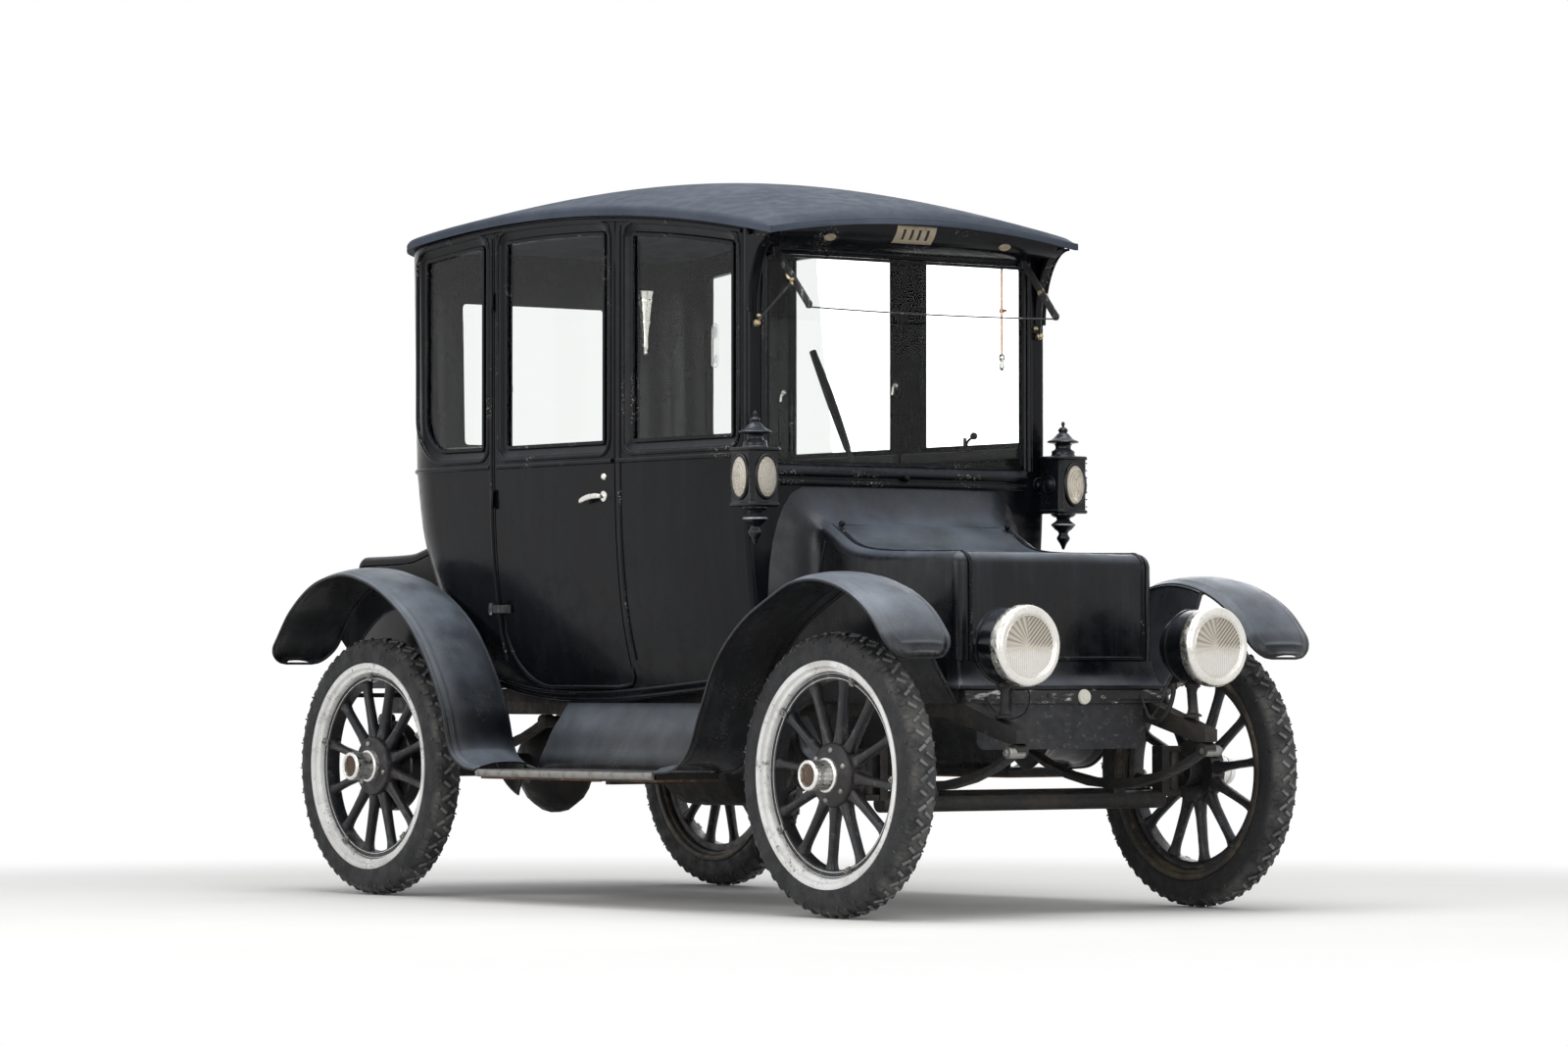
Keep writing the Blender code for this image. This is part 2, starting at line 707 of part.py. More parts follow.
def build_front_axle():
    """Tube axle with yokes, spring pads and both front springs."""
    tube_z = AXLE_HEIGHT - AXLE_TUBE_DROP
    yoke_out = KINGPIN_X - KINGPIN_RADIUS - YOKE_WALL_GAP
    yoke_in = yoke_out - YOKE_WALL
    shape = bmesh.new()
    add_rod(shape, (-yoke_out + YOKE_WALL / 2, FRONT_AXLE_Y, tube_z),
            (yoke_out - YOKE_WALL / 2, FRONT_AXLE_Y, tube_z), AXLE_TUBE_RADIUS, None, 16)
    axle = place("front_axle", to_mesh("front_axle", shape), "chassis_iron")
    half = KNUCKLE_HEIGHT / 2 + YOKE_GAP
    plates = bmesh.new()
    for _, sign in SIDES:
        low_x, high_x = sorted((sign * yoke_in, sign * yoke_out))
        add_box(plates, (low_x, FRONT_AXLE_Y - YOKE_WIDTH / 2, AXLE_HEIGHT - half - YOKE_PLATE),
                (high_x, FRONT_AXLE_Y + YOKE_WIDTH / 2, AXLE_HEIGHT + half + YOKE_PLATE))
    boolean(axle, guide("axle_yoke_walls", to_mesh("axle_yoke_walls", plates)), "UNION")
    forks = bmesh.new()
    for _, sign in SIDES:
        for level in (-1, 1):
            z = AXLE_HEIGHT + level * (half + YOKE_PLATE / 2)
            low_x, high_x = sorted((sign * (yoke_out - YOKE_WALL / 2), sign * (KINGPIN_X + KINGPIN_RADIUS)))
            add_box(forks, (low_x, FRONT_AXLE_Y - YOKE_WIDTH * FORK_SHARE, z - YOKE_PLATE / 2),
                    (high_x, FRONT_AXLE_Y + YOKE_WIDTH * FORK_SHARE, z + YOKE_PLATE / 2))
    boolean(axle, guide("axle_forks", to_mesh("axle_forks", forks)), "UNION")
    pads = bmesh.new()
    springs = bmesh.new()
    eyes = bmesh.new()
    for _, sign in SIDES:
        reach = SPRING_WIDTH / 2
        add_box(pads, (sign * SPRING_X - reach, FRONT_AXLE_Y - reach, tube_z),
                (sign * SPRING_X + reach, FRONT_AXLE_Y + reach, tube_z + AXLE_TUBE_RADIUS + SPRING_PAD))
    boolean(axle, guide("front_spring_pads", to_mesh("front_spring_pads", pads)), "UNION")
    for _, sign in SIDES:
        leaf_spring(springs, sign * SPRING_X, FRONT_AXLE_Y, FRONT_SPRING_HALF,
                    FRONT_EYE_HEIGHT, tube_z + AXLE_TUBE_RADIUS * SPRING_SADDLE_SHARE + SPRING_PAD)
        spring_eyes(eyes, sign * SPRING_X, FRONT_AXLE_Y, FRONT_SPRING_HALF, FRONT_EYE_HEIGHT)
    boolean(axle, guide("front_springs", to_mesh("front_springs", springs)), "UNION")
    boolean(axle, guide("front_spring_eyes", to_mesh("front_spring_eyes", eyes)), "UNION")


def build_knuckles():
    arm_z = AXLE_HEIGHT - STEER_ARM_DROP
    for side, sign in SIDES:
        at = (sign * KINGPIN_X, FRONT_AXLE_Y, AXLE_HEIGHT)
        shape = bmesh.new()
        add_rod(shape, (0, 0, -KNUCKLE_HEIGHT / 2), (0, 0, KNUCKLE_HEIGHT / 2), KINGPIN_RADIUS, None, 16)
        knuckle = place(f"knuckle_{side}", to_mesh(f"knuckle_{side}", shape), "chassis_iron", at)
        spindle = bmesh.new()
        reach = KINGPIN_INSET + BORE_DEPTH - BEARING_GAP * 4
        add_rod(spindle, (0, 0, 0), (sign * reach, 0, 0), BORE_RADIUS - BEARING_GAP, None, HUB_SEGMENTS)
        boolean(knuckle, guide(f"spindle_{side}", to_mesh("spindle", spindle), at), "UNION")
        arm = bmesh.new()
        low = arm_z - AXLE_HEIGHT - STEER_ARM_THICKNESS / 2
        add_box(arm, (-STEER_ARM_WIDTH / 2, 0, low),
                (STEER_ARM_WIDTH / 2, STEER_ARM_REACH + STEER_ARM_WIDTH / 2, low + STEER_ARM_THICKNESS))
        boolean(knuckle, guide(f"steer_arm_{side}", to_mesh("steer_arm", arm), at), "UNION")
    rod = bmesh.new()
    rod_z = arm_z - STEER_ARM_THICKNESS / 2 - TIE_ROD_RADIUS - BEARING_GAP
    rod_y = FRONT_AXLE_Y + STEER_ARM_REACH
    reach = KINGPIN_X + STEER_ARM_WIDTH / 2
    add_rod(rod, (-reach - KINGPIN_X, 0, 0), (reach - KINGPIN_X, 0, 0), TIE_ROD_RADIUS, None, 12)
    tie = place("tie_rod", to_mesh("tie_rod", rod), "chassis_iron", (KINGPIN_X, rod_y, rod_z))
    smooth(tie)


def build_rear_axle():
    """Live axle, gear housing, torque tube and both rear springs."""
    inner = WHEEL_X - HUB_FLANGE_WIDTH / 2 - DRUM_WIDTH - MOVING_GAP
    shape = bmesh.new()
    add_rod(shape, (-inner, REAR_AXLE_Y, AXLE_HEIGHT), (inner, REAR_AXLE_Y, AXLE_HEIGHT),
            REAR_TUBE_RADIUS, None, 12)
    axle = place("rear_axle", to_mesh("rear_axle", shape), "chassis_iron")
    shaft = bmesh.new()
    reach = WHEEL_X + BORE_DEPTH - BEARING_GAP * 4
    add_rod(shaft, (-reach, REAR_AXLE_Y, AXLE_HEIGHT), (reach, REAR_AXLE_Y, AXLE_HEIGHT),
            BORE_RADIUS - BEARING_GAP, None, HUB_SEGMENTS)
    boolean(axle, guide("half_shafts", to_mesh("half_shafts", shaft)), "UNION")
    half = DIFFERENTIAL_WIDTH / 2
    profile = [(DIFFERENTIAL_RADIUS * out, half * along) for out, along in HOUSING_SHARES]
    housing = turned("gear_housing", [profile], 20)
    boolean(axle, guide("gear_housing", housing, (0, REAR_AXLE_Y, AXLE_HEIGHT), (0, pi / 2, 0)), "UNION")
    torque = bmesh.new()
    motor_end = MOTOR_Y + MOTOR_LENGTH / 2
    lean = abs(MOTOR_HEIGHT - AXLE_HEIGHT) / (REAR_AXLE_Y - motor_end)
    end = motor_end + SEAT_GAP * 2 + TORQUE_TUBE_RADIUS * lean
    add_rod(torque, (0, REAR_AXLE_Y, AXLE_HEIGHT), (0, end, MOTOR_HEIGHT),
            TORQUE_TUBE_RADIUS, None, 12)
    boolean(axle, guide("torque_tube", to_mesh("torque_tube", torque)), "UNION")
    springs = bmesh.new()
    eyes = bmesh.new()
    for _, sign in SIDES:
        leaf_spring(springs, sign * SPRING_X, REAR_AXLE_Y, REAR_SPRING_HALF,
                    REAR_EYE_HEIGHT, AXLE_HEIGHT + REAR_TUBE_RADIUS * SPRING_SADDLE_SHARE)
        spring_eyes(eyes, sign * SPRING_X, REAR_AXLE_Y, REAR_SPRING_HALF, REAR_EYE_HEIGHT)
    boolean(axle, guide("rear_springs", to_mesh("rear_springs", springs)), "UNION")
    boolean(axle, guide("rear_spring_eyes", to_mesh("rear_spring_eyes", eyes)), "UNION")


def build_motor():
    half = MOTOR_LENGTH / 2
    profile = [(MOTOR_RADIUS * out, half * along) for out, along in MOTOR_SHARES]
    at = (0, MOTOR_Y, MOTOR_HEIGHT)
    smooth(place("drive_motor", turned("drive_motor", [profile], 20), "chassis_iron", at, (pi / 2, 0, 0)))


# Frame
def build_frame():
    """Side rails with curved front horns, tied by cross members."""
    front = NOSE_Y + FRAME_FRONT_BACK_OF_NOSE
    rear = REAR_AXLE_Y + FRAME_REAR_BACK_OF_AXLE
    horn_y = FRONT_AXLE_Y - FRONT_SPRING_HALF
    horn_z = FRONT_EYE_HEIGHT + EYE_RISE + SEAT_GAP
    bar_back = BAR_FRONT_Y + PLATE_BAR_DEPTH + SEAT_GAP
    rear_eye = FRONT_AXLE_Y + FRONT_SPRING_HALF
    # outline of a rail and its front horn, as (y, z)
    outline = [
        (horn_y - EYE_RADIUS, horn_z), (horn_y + EYE_RADIUS, horn_z), (front + RAIL_HEIGHT, RAIL_LOW),
        (rear, RAIL_LOW), (rear, RAIL_TOP), (bar_back, RAIL_TOP), (bar_back, BAR_SEAT),
        (BAR_FRONT_Y, BAR_SEAT), (horn_y - EYE_RADIUS, horn_z + RAIL_HEIGHT * HORN_DEPTH_SHARE),
    ]
    shape = bmesh.new()
    for _, sign in SIDES:
        edges = sorted((sign * (RAIL_X - RAIL_WIDTH / 2), sign * (RAIL_X + RAIL_WIDTH / 2)))
        add_loft(shape, [[(x, y, z) for y, z in outline] for x in edges])
    frame = place("chassis_frame", to_mesh("chassis_frame", shape), "chassis_iron")
    cross = bmesh.new()
    saddle = MOTOR_HEIGHT + MOTOR_RADIUS + SEAT_GAP
    for y in (front + RAIL_HEIGHT, rear_eye + CROSS_WIDTH, MOTOR_Y, DOOR_REAR_Y, rear - CROSS_WIDTH):
        add_box(cross, (-RAIL_X, y - CROSS_WIDTH / 2, saddle),
                (RAIL_X, y + CROSS_WIDTH / 2, RAIL_TOP - MOVING_GAP))
    boolean(frame, guide("cross_members", to_mesh("cross_members", cross)), "UNION")
    hangers = bmesh.new()
    bracket_z = BOARD_TOP - BOARD_THICKNESS - SEAT_GAP
    inside, outside = RAIL_X - SPRING_WIDTH / 2, RAIL_X + SPRING_WIDTH / 2
    iron = BRACKET_THICKNESS
    for _, sign in SIDES:
        x_low, x_high = sorted((sign * inside, sign * outside))
        add_box(hangers, (x_low, rear_eye - EYE_RADIUS, FRONT_EYE_HEIGHT + EYE_RISE + SEAT_GAP),
                (x_high, rear_eye + EYE_RADIUS, RAIL_LOW + RAIL_HEIGHT / 2))
        for y in (DOOR_FRONT_Y, DOOR_REAR_Y - CROSS_WIDTH * 4):
            x_in, x_out = sorted((sign * inside, sign * (FENDER_INNER_X + OVERRUN)))
            add_box(hangers, (x_in, y - iron, bracket_z - iron), (x_out, y + iron, bracket_z))
            x_in, x_out = sorted((sign * RAIL_X, sign * outside))
            add_box(hangers, (x_in, y - iron / 2, bracket_z - iron / 2),
                    (x_out, y + iron / 2, RAIL_LOW + RAIL_HEIGHT / 2))
        x_in, x_out = sorted((sign * RAIL_X, sign * (FENDER_INNER_X - SEAT_GAP)))
        y = rear - CROSS_WIDTH
        add_box(hangers, (x_in, y - iron, RAIL_TOP - iron * 2), (x_out, y + iron, RAIL_TOP - iron))
    tool = guide("frame_hangers", to_mesh("frame_hangers", hangers))
    boolean(frame, tool, "UNION").use_self = True


# Cabin, doors and glass
def corner(centre, radius, start, end, steps):
    return [(centre[0] + radius * cos(radians(start + (end - start) * index / steps)),
             centre[1] + radius * sin(radians(start + (end - start) * index / steps)))
            for index in range(steps + 1)]


def plan_ring(half_width, back_y, inset, z):
    """Plan outline of the cabin, drawn in by inset, anticlockwise from above."""
    half = half_width - inset
    front, back = DASH_Y + inset, back_y - inset
    small = max(FRONT_CORNER_RADIUS - inset / 2, FRONT_CORNER_RADIUS / 4)
    large = REAR_CORNER_RADIUS - inset
    points = corner((half - small, front + small), small, -90, 0, 2)
    points += corner((half - large, back - large), large, 0, 90, 6)
    points += corner((-half + large, back - large), large, 90, 180, 6)
    points += corner((-half + small, front + small), small, 180, 270, 2)
    return [(x, y, z) for x, y in points]


def rear_ring(half_width, back_y, inset, z, front, clipped):
    """The part of the cabin's plan behind a front plane; clipped when that cuts the corners."""
    half, back = half_width - inset, back_y - inset
    large = REAR_CORNER_RADIUS - inset
    start = asin(min(max((front - back + large) / large, 0), 1)) if clipped else 0
    turn = degrees(start)
    points = corner((half - large, back - large), large, turn, 90, 6)
    points += corner((-half + large, back - large), large, 90, 180 - turn, 6)
    if not clipped:
        points += [(-half, front), (half, front)]
    return [(x, y, z) for x, y in points]


def cabin_sections():
    """Height, half width and back wall place of each section."""
    rows = []
    for up, wide, long in CABIN_SECTION_SHARES:
        rows.append((CABIN_BOTTOM + (BELT_HEIGHT - CABIN_BOTTOM) * up, CABIN_HALF_WIDTH * wide,
                     DASH_Y + CABIN_LENGTH * long))
    wide, long = CABIN_TOP_SHARES
    rows.append((CABIN_TOP, CABIN_HALF_WIDTH * wide, DASH_Y + CABIN_LENGTH * long))
    return rows


def section_at(z):
    """Half width and back wall place of the cabin at a height."""
    rows = cabin_sections()
    for (low, wide_a, back_a), (high, wide_b, back_b) in zip(rows, rows[1:]):
        if z <= high:
            share = (z - low) / (high - low)
            return wide_a + (wide_b - wide_a) * share, back_a + (back_b - back_a) * share
    return rows[-1][1:]


def inside_block(name, front_y, low, high, gap, back_cut=0.0, lean=False):
    """A solid that fills the cabin behind a front plane, up to its back wall or short of it."""
    inset = CABIN_WALL + gap
    levels = []
    for z in (low, high):
        half, back = section_at(z if lean else low)
        if front_y is None:
            levels.append((half, back, z, back - inset - back_cut))
        else:
            levels.append((half, back - back_cut, z, front_y))
    clipped = any(front > back - REAR_CORNER_RADIUS for _, back, _, front in levels)
    shape = bmesh.new()
    add_loft(shape, [rear_ring(half, back, inset, z, front, clipped) for half, back, z, front in levels])
    return to_mesh(name, shape)


def cabin_shell(name):
    """The hollow coach body before windows and doors are cut."""
    shape = bmesh.new()
    sections = cabin_sections()
    outer = [[shape.verts.new(p) for p in plan_ring(w, b, 0, z)] for z, w, b in sections]
    inner = [[shape.verts.new(p) for p in plan_ring(w, b, CABIN_WALL, z)] for z, w, b in sections]
    rows = outer + list(reversed(inner))
    rows.append(outer[0])
    for lower, upper in zip(rows, rows[1:]):
        count = len(lower)
        for index in range(count):
            after = (index + 1) % count
            shape.faces.new((lower[index], lower[after], upper[after], upper[index]))
    face_outwards(shape)
    return to_mesh(name, shape)


def sill_cutter():
    """Everything below the curved sill line."""
    height = BELT_HEIGHT - CABIN_BOTTOM
    line = [(DASH_Y + CABIN_LENGTH * along, CABIN_BOTTOM + height * up) for along, up in SILL_SHARES]
    outline = [(DASH_Y - OVERRUN, CABIN_BOTTOM - OVERRUN)]
    outline += [(BACK_Y + OVERRUN, CABIN_BOTTOM - OVERRUN), (BACK_Y + OVERRUN, line[-1][1])]
    outline += list(reversed(line)) + [(DASH_Y - OVERRUN, line[0][1])]
    reach = CABIN_HALF_WIDTH + OVERRUN
    return to_mesh("sill_cut", prism_x(outline, -reach, reach))


def roof_edge(y):
    """Height of the roof's side edge at a place along the car."""
    share = (y - ROOF_FRONT_Y) / (ROOF_REAR_Y - ROOF_FRONT_Y)
    straight = ROOF_EDGE_FRONT + (ROOF_EDGE_REAR - ROOF_EDGE_FRONT) * share
    bow = ROOF_EDGE_TOP - (ROOF_EDGE_FRONT + ROOF_EDGE_REAR) / 2
    return straight + bow * 4 * share * (1 - share)


def roof_height(x, y):
    share = (y - ROOF_FRONT_Y) / (ROOF_REAR_Y - ROOF_FRONT_Y)
    swell = sin(pi * min(max(share, 0), 1) ** ROOF_LEAN_POWER)
    crown = ROOF_CROWN_FRONT * (1 - share) + ROOF_CROWN * ROOF_TAIL_CROWN_SHARE * share
    crown += (ROOF_CROWN - crown) * max(swell, 0) ** ROOF_SWELL_POWER
    return roof_edge(y) + crown * (1 - (x / ROOF_HALF_WIDTH) ** 2)


ROOF_ROWS = 8
ROOF_CORNER_STEPS = 6
ROOF_COLUMNS = 10


def roof_stations():
    """Place along the car and half width of each row of the roof, front to back."""
    radius = REAR_CORNER_RADIUS * ROOF_CORNER_SHARE
    straight_end = ROOF_REAR_Y - radius
    rows = [(ROOF_FRONT_Y + (straight_end - ROOF_FRONT_Y) * index / ROOF_ROWS, ROOF_HALF_WIDTH)
            for index in range(ROOF_ROWS)]
    for index in range(ROOF_CORNER_STEPS + 1):
        angle = pi / 2 * index / ROOF_CORNER_STEPS
        rows.append((straight_end + radius * sin(angle), ROOF_HALF_WIDTH - radius + radius * cos(angle)))
    return rows


def roof_sheet(drop, name, top=None):
    """The crowned roof as a slab; with a top it is a block that reaches up to it."""
    shape = bmesh.new()
    grids = []
    for level in (0, 1):
        rows = []
        for y, half in roof_stations():
            line = []
            for column in range(ROOF_COLUMNS + 1):
                x = half * (-1 + 2 * column / ROOF_COLUMNS)
                z = roof_height(x, y) - drop
                if level:
                    z = top if top else z - ROOF_THICKNESS
                line.append(shape.verts.new((x, y, z)))
            rows.append(line)
        grids.append(rows)
    for rows in grids:
        for low, high in zip(rows, rows[1:]):
            for index in range(ROOF_COLUMNS):
                shape.faces.new((low[index], low[index + 1], high[index + 1]))
                shape.faces.new((low[index], high[index + 1], high[index]))
    first, second = grids
    for rows_a, rows_b in ((first[0], second[0]), (first[-1], second[-1])):
        for index in range(ROOF_COLUMNS):
            shape.faces.new((rows_a[index], rows_b[index], rows_b[index + 1], rows_a[index + 1]))
    for edge in (0, ROOF_COLUMNS):
        for row in range(len(first) - 1):
            shape.faces.new((first[row][edge], first[row + 1][edge],
                             second[row + 1][edge], second[row][edge]))
    face_outwards(shape)
    return to_mesh(name, shape)


def door_outline(grow):
    """Door seen from the side as (y, z); grow opens it all round."""
    front, rear = DOOR_FRONT_Y - grow, DOOR_REAR_Y + grow
    low, high = DOOR_BOTTOM - grow, CABIN_TOP + OVERRUN
    radius = DOOR_CORNER + grow
    points = [(front, high), (front, low + radius * DOOR_FOOT_RISE_SHARE)]
    points.append((front + radius * DOOR_FOOT_RUN_SHARE, low))
    points += corner((rear - radius, low + radius), radius, -90, 0, 5)
    points.append((rear, high))
    return points


def door_block(name, sign, grow):
    """A block over the door, its front edge raked in for the swing."""
    depth_out, depth_in = CABIN_HALF_WIDTH + OVERRUN, VALANCE_TOP_X - CABIN_WALL - OVERRUN
    shape = bmesh.new()
    rings = []
    for depth, rake in ((depth_out, 0.0), (depth_in, DOOR_BEVEL)):
        ring = []
        for y, z in door_outline(grow):
            shift = rake if y < DOOR_FRONT_Y + DOOR_WIDTH / 4 else 0.0
            ring.append((-depth, y + shift, z))
        rings.append(ring)
    add_loft(shape, rings)
    block = to_mesh(name, shape)
    return mirrored(block, name) if sign > 0 else block


def window_outline(start, end, top_start, top_end, rounded):
    """A side window as (y, z), its rear lower corner rounded on the rear quarter."""
    points = [(start, top_start), (start, WINDOW_SILL)]
    if rounded:
        points += corner((end - rounded, WINDOW_SILL + rounded), rounded, -90, 0, 4)
    else:
        points.append((end, WINDOW_SILL))
    points.append((end, top_end))
    return points


def window_top(y):
    return roof_edge(y) - (ROOF_EDGE_TOP - WINDOW_TOP) * WINDOW_DROP_SHARE


def side_windows():
    """Name, start, end and corner radius of each side opening."""
    return (
        ("front_quarter", DASH_Y + FRONT_QUARTER_START, DOOR_FRONT_Y - DOOR_POST, 0.0),
        ("rear_quarter", DOOR_REAR_Y + REAR_QUARTER_START, DASH_Y + REAR_QUARTER_END, QUARTER_CORNER),
    )


def cove_outline(low, high, reach):
    """A solid under the roof's front overhang as (y, z), its front face hollow."""
    wall = DASH_Y + CABIN_WALL / 2
    front = DASH_Y - reach
    lip = high - OVERRUN / 2
    points = [(wall, high), (front, high)]
    for index in range(HEADER_STEPS + 1):
        turn = pi / 2 * index / HEADER_STEPS
        points.append((front + reach * (1 - cos(turn)), lip - (lip - low) * sin(turn)))
    points.append((wall, low))
    return points


def add_front_forms(cabin):
    """The hollow header, the roof brackets and the windshield sill, all part of the body."""
    reach = ROOF_FRONT_OVERHANG * BRACKET_NOSE_SHARE
    high = ROOF_EDGE_FRONT + ROOF_CROWN_FRONT
    header = prism_x(cove_outline(HEADER_BOTTOM, high, reach), -HEADER_HALF_WIDTH, HEADER_HALF_WIDTH)
    boolean(cabin, guide("roof_header", to_mesh("roof_header", header)), "UNION")
    for side, sign in SIDES:
        low_x, high_x = sorted((sign * BRACKET_INNER_X, sign * BRACKET_OUTER_X))
        bracket = prism_x(cove_outline(BRACKET_FOOT, high, reach), low_x, high_x)
        boolean(cabin, guide(f"roof_bracket_{side}", to_mesh("roof_bracket", bracket)), "UNION")
    rail = bmesh.new()
    add_box(rail, (-COWL_HALF_WIDTH, DASH_Y - SILL_RAIL_DEPTH, COWL_TOP + SEAT_GAP),
            (COWL_HALF_WIDTH, DASH_Y + CABIN_WALL / 2, COWL_TOP + SILL_RAIL_HEIGHT))
    boolean(cabin, guide("screen_sill_rail", to_mesh("screen_sill_rail", rail)), "UNION")


def build_cabin():
    cabin = place("cabin_body", cabin_shell("cabin_body"), "black_enamel")
    add_front_forms(cabin)
    boolean(cabin, guide("sill_cutter", sill_cutter()), "DIFFERENCE")
    for side, sign in SIDES:
        block = door_block(f"door_opening_{side}", sign, 0.0)
        boolean(cabin, guide(f"door_opening_{side}", block), "DIFFERENCE")
    reach = CABIN_HALF_WIDTH + OVERRUN
    for name, start, end, rounded in side_windows():
        outline = window_outline(start, end, window_top(start), window_top(end), rounded)
        tool = guide(name + "_cut", to_mesh(name, prism_x(outline, -reach, reach)))
        boolean(cabin, tool, "DIFFERENCE")
    ends = bmesh.new()
    add_box(ends, (-SCREEN_HALF_WIDTH, DASH_Y - OVERRUN, SCREEN_SILL),
            (SCREEN_HALF_WIDTH, DASH_Y + OVERRUN * 2, SCREEN_TOP))
    add_box(ends, (-BACK_LIGHT_HALF_WIDTH, BACK_Y - OVERRUN * 3, BACK_LIGHT_BOTTOM),
            (BACK_LIGHT_HALF_WIDTH, BACK_Y + OVERRUN * 2, BACK_LIGHT_TOP))
    boolean(cabin, guide("end_windows_cut", to_mesh("end_windows", ends)), "DIFFERENCE")
    under = roof_sheet(ROOF_THICKNESS + SEAT_GAP, "roof_seat", CABIN_TOP + OVERRUN * 2)
    boolean(cabin, guide("roof_seat", under), "DIFFERENCE")


def build_doors():
    start, end = DOOR_FRONT_Y + DOOR_POST, DOOR_REAR_Y - DOOR_POST * DOOR_REAR_POST_SHARE
    outline = window_outline(start, end, window_top(start), window_top(end), 0.0)
    for side, sign in SIDES:
        at = (sign * DOOR_HINGE_X, DOOR_REAR_Y, 0)
        shell = cabin_shell(f"door_{side}")
        shell.transform(Matrix.Translation((-at[0], -at[1], 0)))
        door = place(f"door_{side}", shell, "black_enamel", at)
        block = door_block(f"door_block_{side}", sign, -MOVING_GAP)
        boolean(door, guide(f"door_block_{side}", block), "INTERSECT")
        low, high = sorted((sign * (CABIN_HALF_WIDTH / 2), sign * (CABIN_HALF_WIDTH + OVERRUN)))
        tool = guide(f"door_window_cut_{side}", to_mesh("door_window", prism_x(outline, low, high)))
        boolean(door, tool, "DIFFERENCE")
        above = bmesh.new()
        add_box(above, (-CABIN_HALF_WIDTH - OVERRUN, DOOR_FRONT_Y - OVERRUN, DOOR_TOP),
                (CABIN_HALF_WIDTH + OVERRUN, DOOR_REAR_Y + OVERRUN, CABIN_TOP + OVERRUN * 3))
        boolean(door, guide(f"door_top_cut_{side}", to_mesh("door_top_cut", above)), "DIFFERENCE")
        x, _ = section_at(HANDLE_HEIGHT)
        stand = sign * (x + HANDLE_STAND)
        y = DOOR_FRONT_Y + HANDLE_START
        neck = bmesh.new()
        root = sign * (x - CABIN_WALL / 2)
        add_rod(neck, (root, y, HANDLE_HEIGHT), (stand, y, HANDLE_HEIGHT), HANDLE_RADIUS, None, 8)
        boolean(door, guide(f"handle_neck_{side}", to_mesh("handle_neck", neck)), "UNION")
        grip = bmesh.new()
        add_rod(grip, (stand, y - HANDLE_RADIUS, HANDLE_HEIGHT), (stand, y + HANDLE_LENGTH, HANDLE_HEIGHT),
                HANDLE_RADIUS, None, 8)
        boolean(door, guide(f"handle_grip_{side}", to_mesh("handle_grip", grip)), "UNION")
        glass_x = sign * (CABIN_HALF_WIDTH - CABIN_WALL / 2)
        pane(f"door_glass_{side}", outline, glass_x)


def pane(name, outline, x):
    """A flat side pane that fills an opening less the seat gap."""
    centre_y = sum(y for y, _ in outline) / len(outline)
    centre_z = sum(z for _, z in outline) / len(outline)
    gap = SEAT_GAP * 2
    inside = [(y + (gap if y < centre_y else -gap), z + (gap if z < centre_z else -gap))
              for y, z in outline]
    half = GLASS_THICKNESS / 2
    shape = prism_x(inside, x - half, x + half)
    return place(name, to_mesh(name, shape), "glass")


def build_glass():
    for side, sign in SIDES:
        x = sign * (CABIN_HALF_WIDTH - CABIN_WALL / 2)
        for name, start, end, rounded in side_windows():
            outline = window_outline(start, end, window_top(start), window_top(end), rounded)
            pane(f"{name}_glass_{side}", outline, x)
    gap, half = SEAT_GAP, GLASS_THICKNESS / 2
    rows = (
        ("windshield_glass", DASH_Y + CABIN_WALL / 2, SCREEN_HALF_WIDTH, SCREEN_SILL, SCREEN_TOP),
        ("rear_glass", BACK_Y - CABIN_WALL / 2, BACK_LIGHT_HALF_WIDTH, BACK_LIGHT_BOTTOM, BACK_LIGHT_TOP),
    )
    for name, y, wide, low, high in rows:
        shape = bmesh.new()
        add_box(shape, (-wide + gap, y - half, low + gap), (wide - gap, y + half, high - gap))
        place(name, to_mesh(name, shape), "glass")


def build_roof():
    smooth(place("roof", roof_sheet(0.0, "roof"), "roof_fabric"), 50)


# Hood, cowl and rear deck
def lid_line(hinge_y, hinge_z, nose_y, top_z, bottom_z, sag):
    """Side view of a lid: along its top, round the nose and down its face."""
    points = []
    for along, down in HOOD_LINE_SHARES:
        points.append((hinge_y + (nose_y - hinge_y) * along, hinge_z + (top_z - hinge_z) * down))
    sign = 1 if nose_y > hinge_y else -1
    for index in range(1, 5):
        angle = radians(90 - 90 * index / 4)
        points.append((nose_y - sign * sag + sign * sag * cos(angle), top_z - sag + sag * sin(angle)))
    points.append((nose_y, bottom_z))
    return points


def offset_line(points, amount):
    """The same line moved square to itself; the ends keep their place along it."""
    moved = []
    last = len(points) - 1
    for index, (y, z) in enumerate(points):
        if index == 0:
            moved.append((y, z - abs(amount)))
            continue
        before = points[max(index - 1, 0)]
        after = points[min(index + 1, last)]
        way = Vector((after[0] - before[0], after[1] - before[1])).normalized()
        moved.append((y - way.y * amount, z + way.x * amount))
    return moved


def lid_mesh(name, line, half_width, sheet, turn_down, inward):
    """A lid: the side line carried across, with downturned edges along both sides."""
    shape = bmesh.new()
    inner = offset_line(line, inward * sheet)
    deep = offset_line(line, inward * (sheet + turn_down))
    stations = (-half_width, -half_width + sheet, half_width - sheet, half_width)
    low, step_low, step_high, high = stations
    # section rings across the car at each point of the line
    rings = []
    for outer, under, edge in zip(line, inner, deep):
        rings.append([
            (low, *outer), (high, *outer), (high, *edge), (step_high, *edge),
            (step_high, *under), (step_low, *under), (step_low, *edge), (low, *edge),
        ])
    add_loft(shape, rings)
    return to_mesh(name, shape)


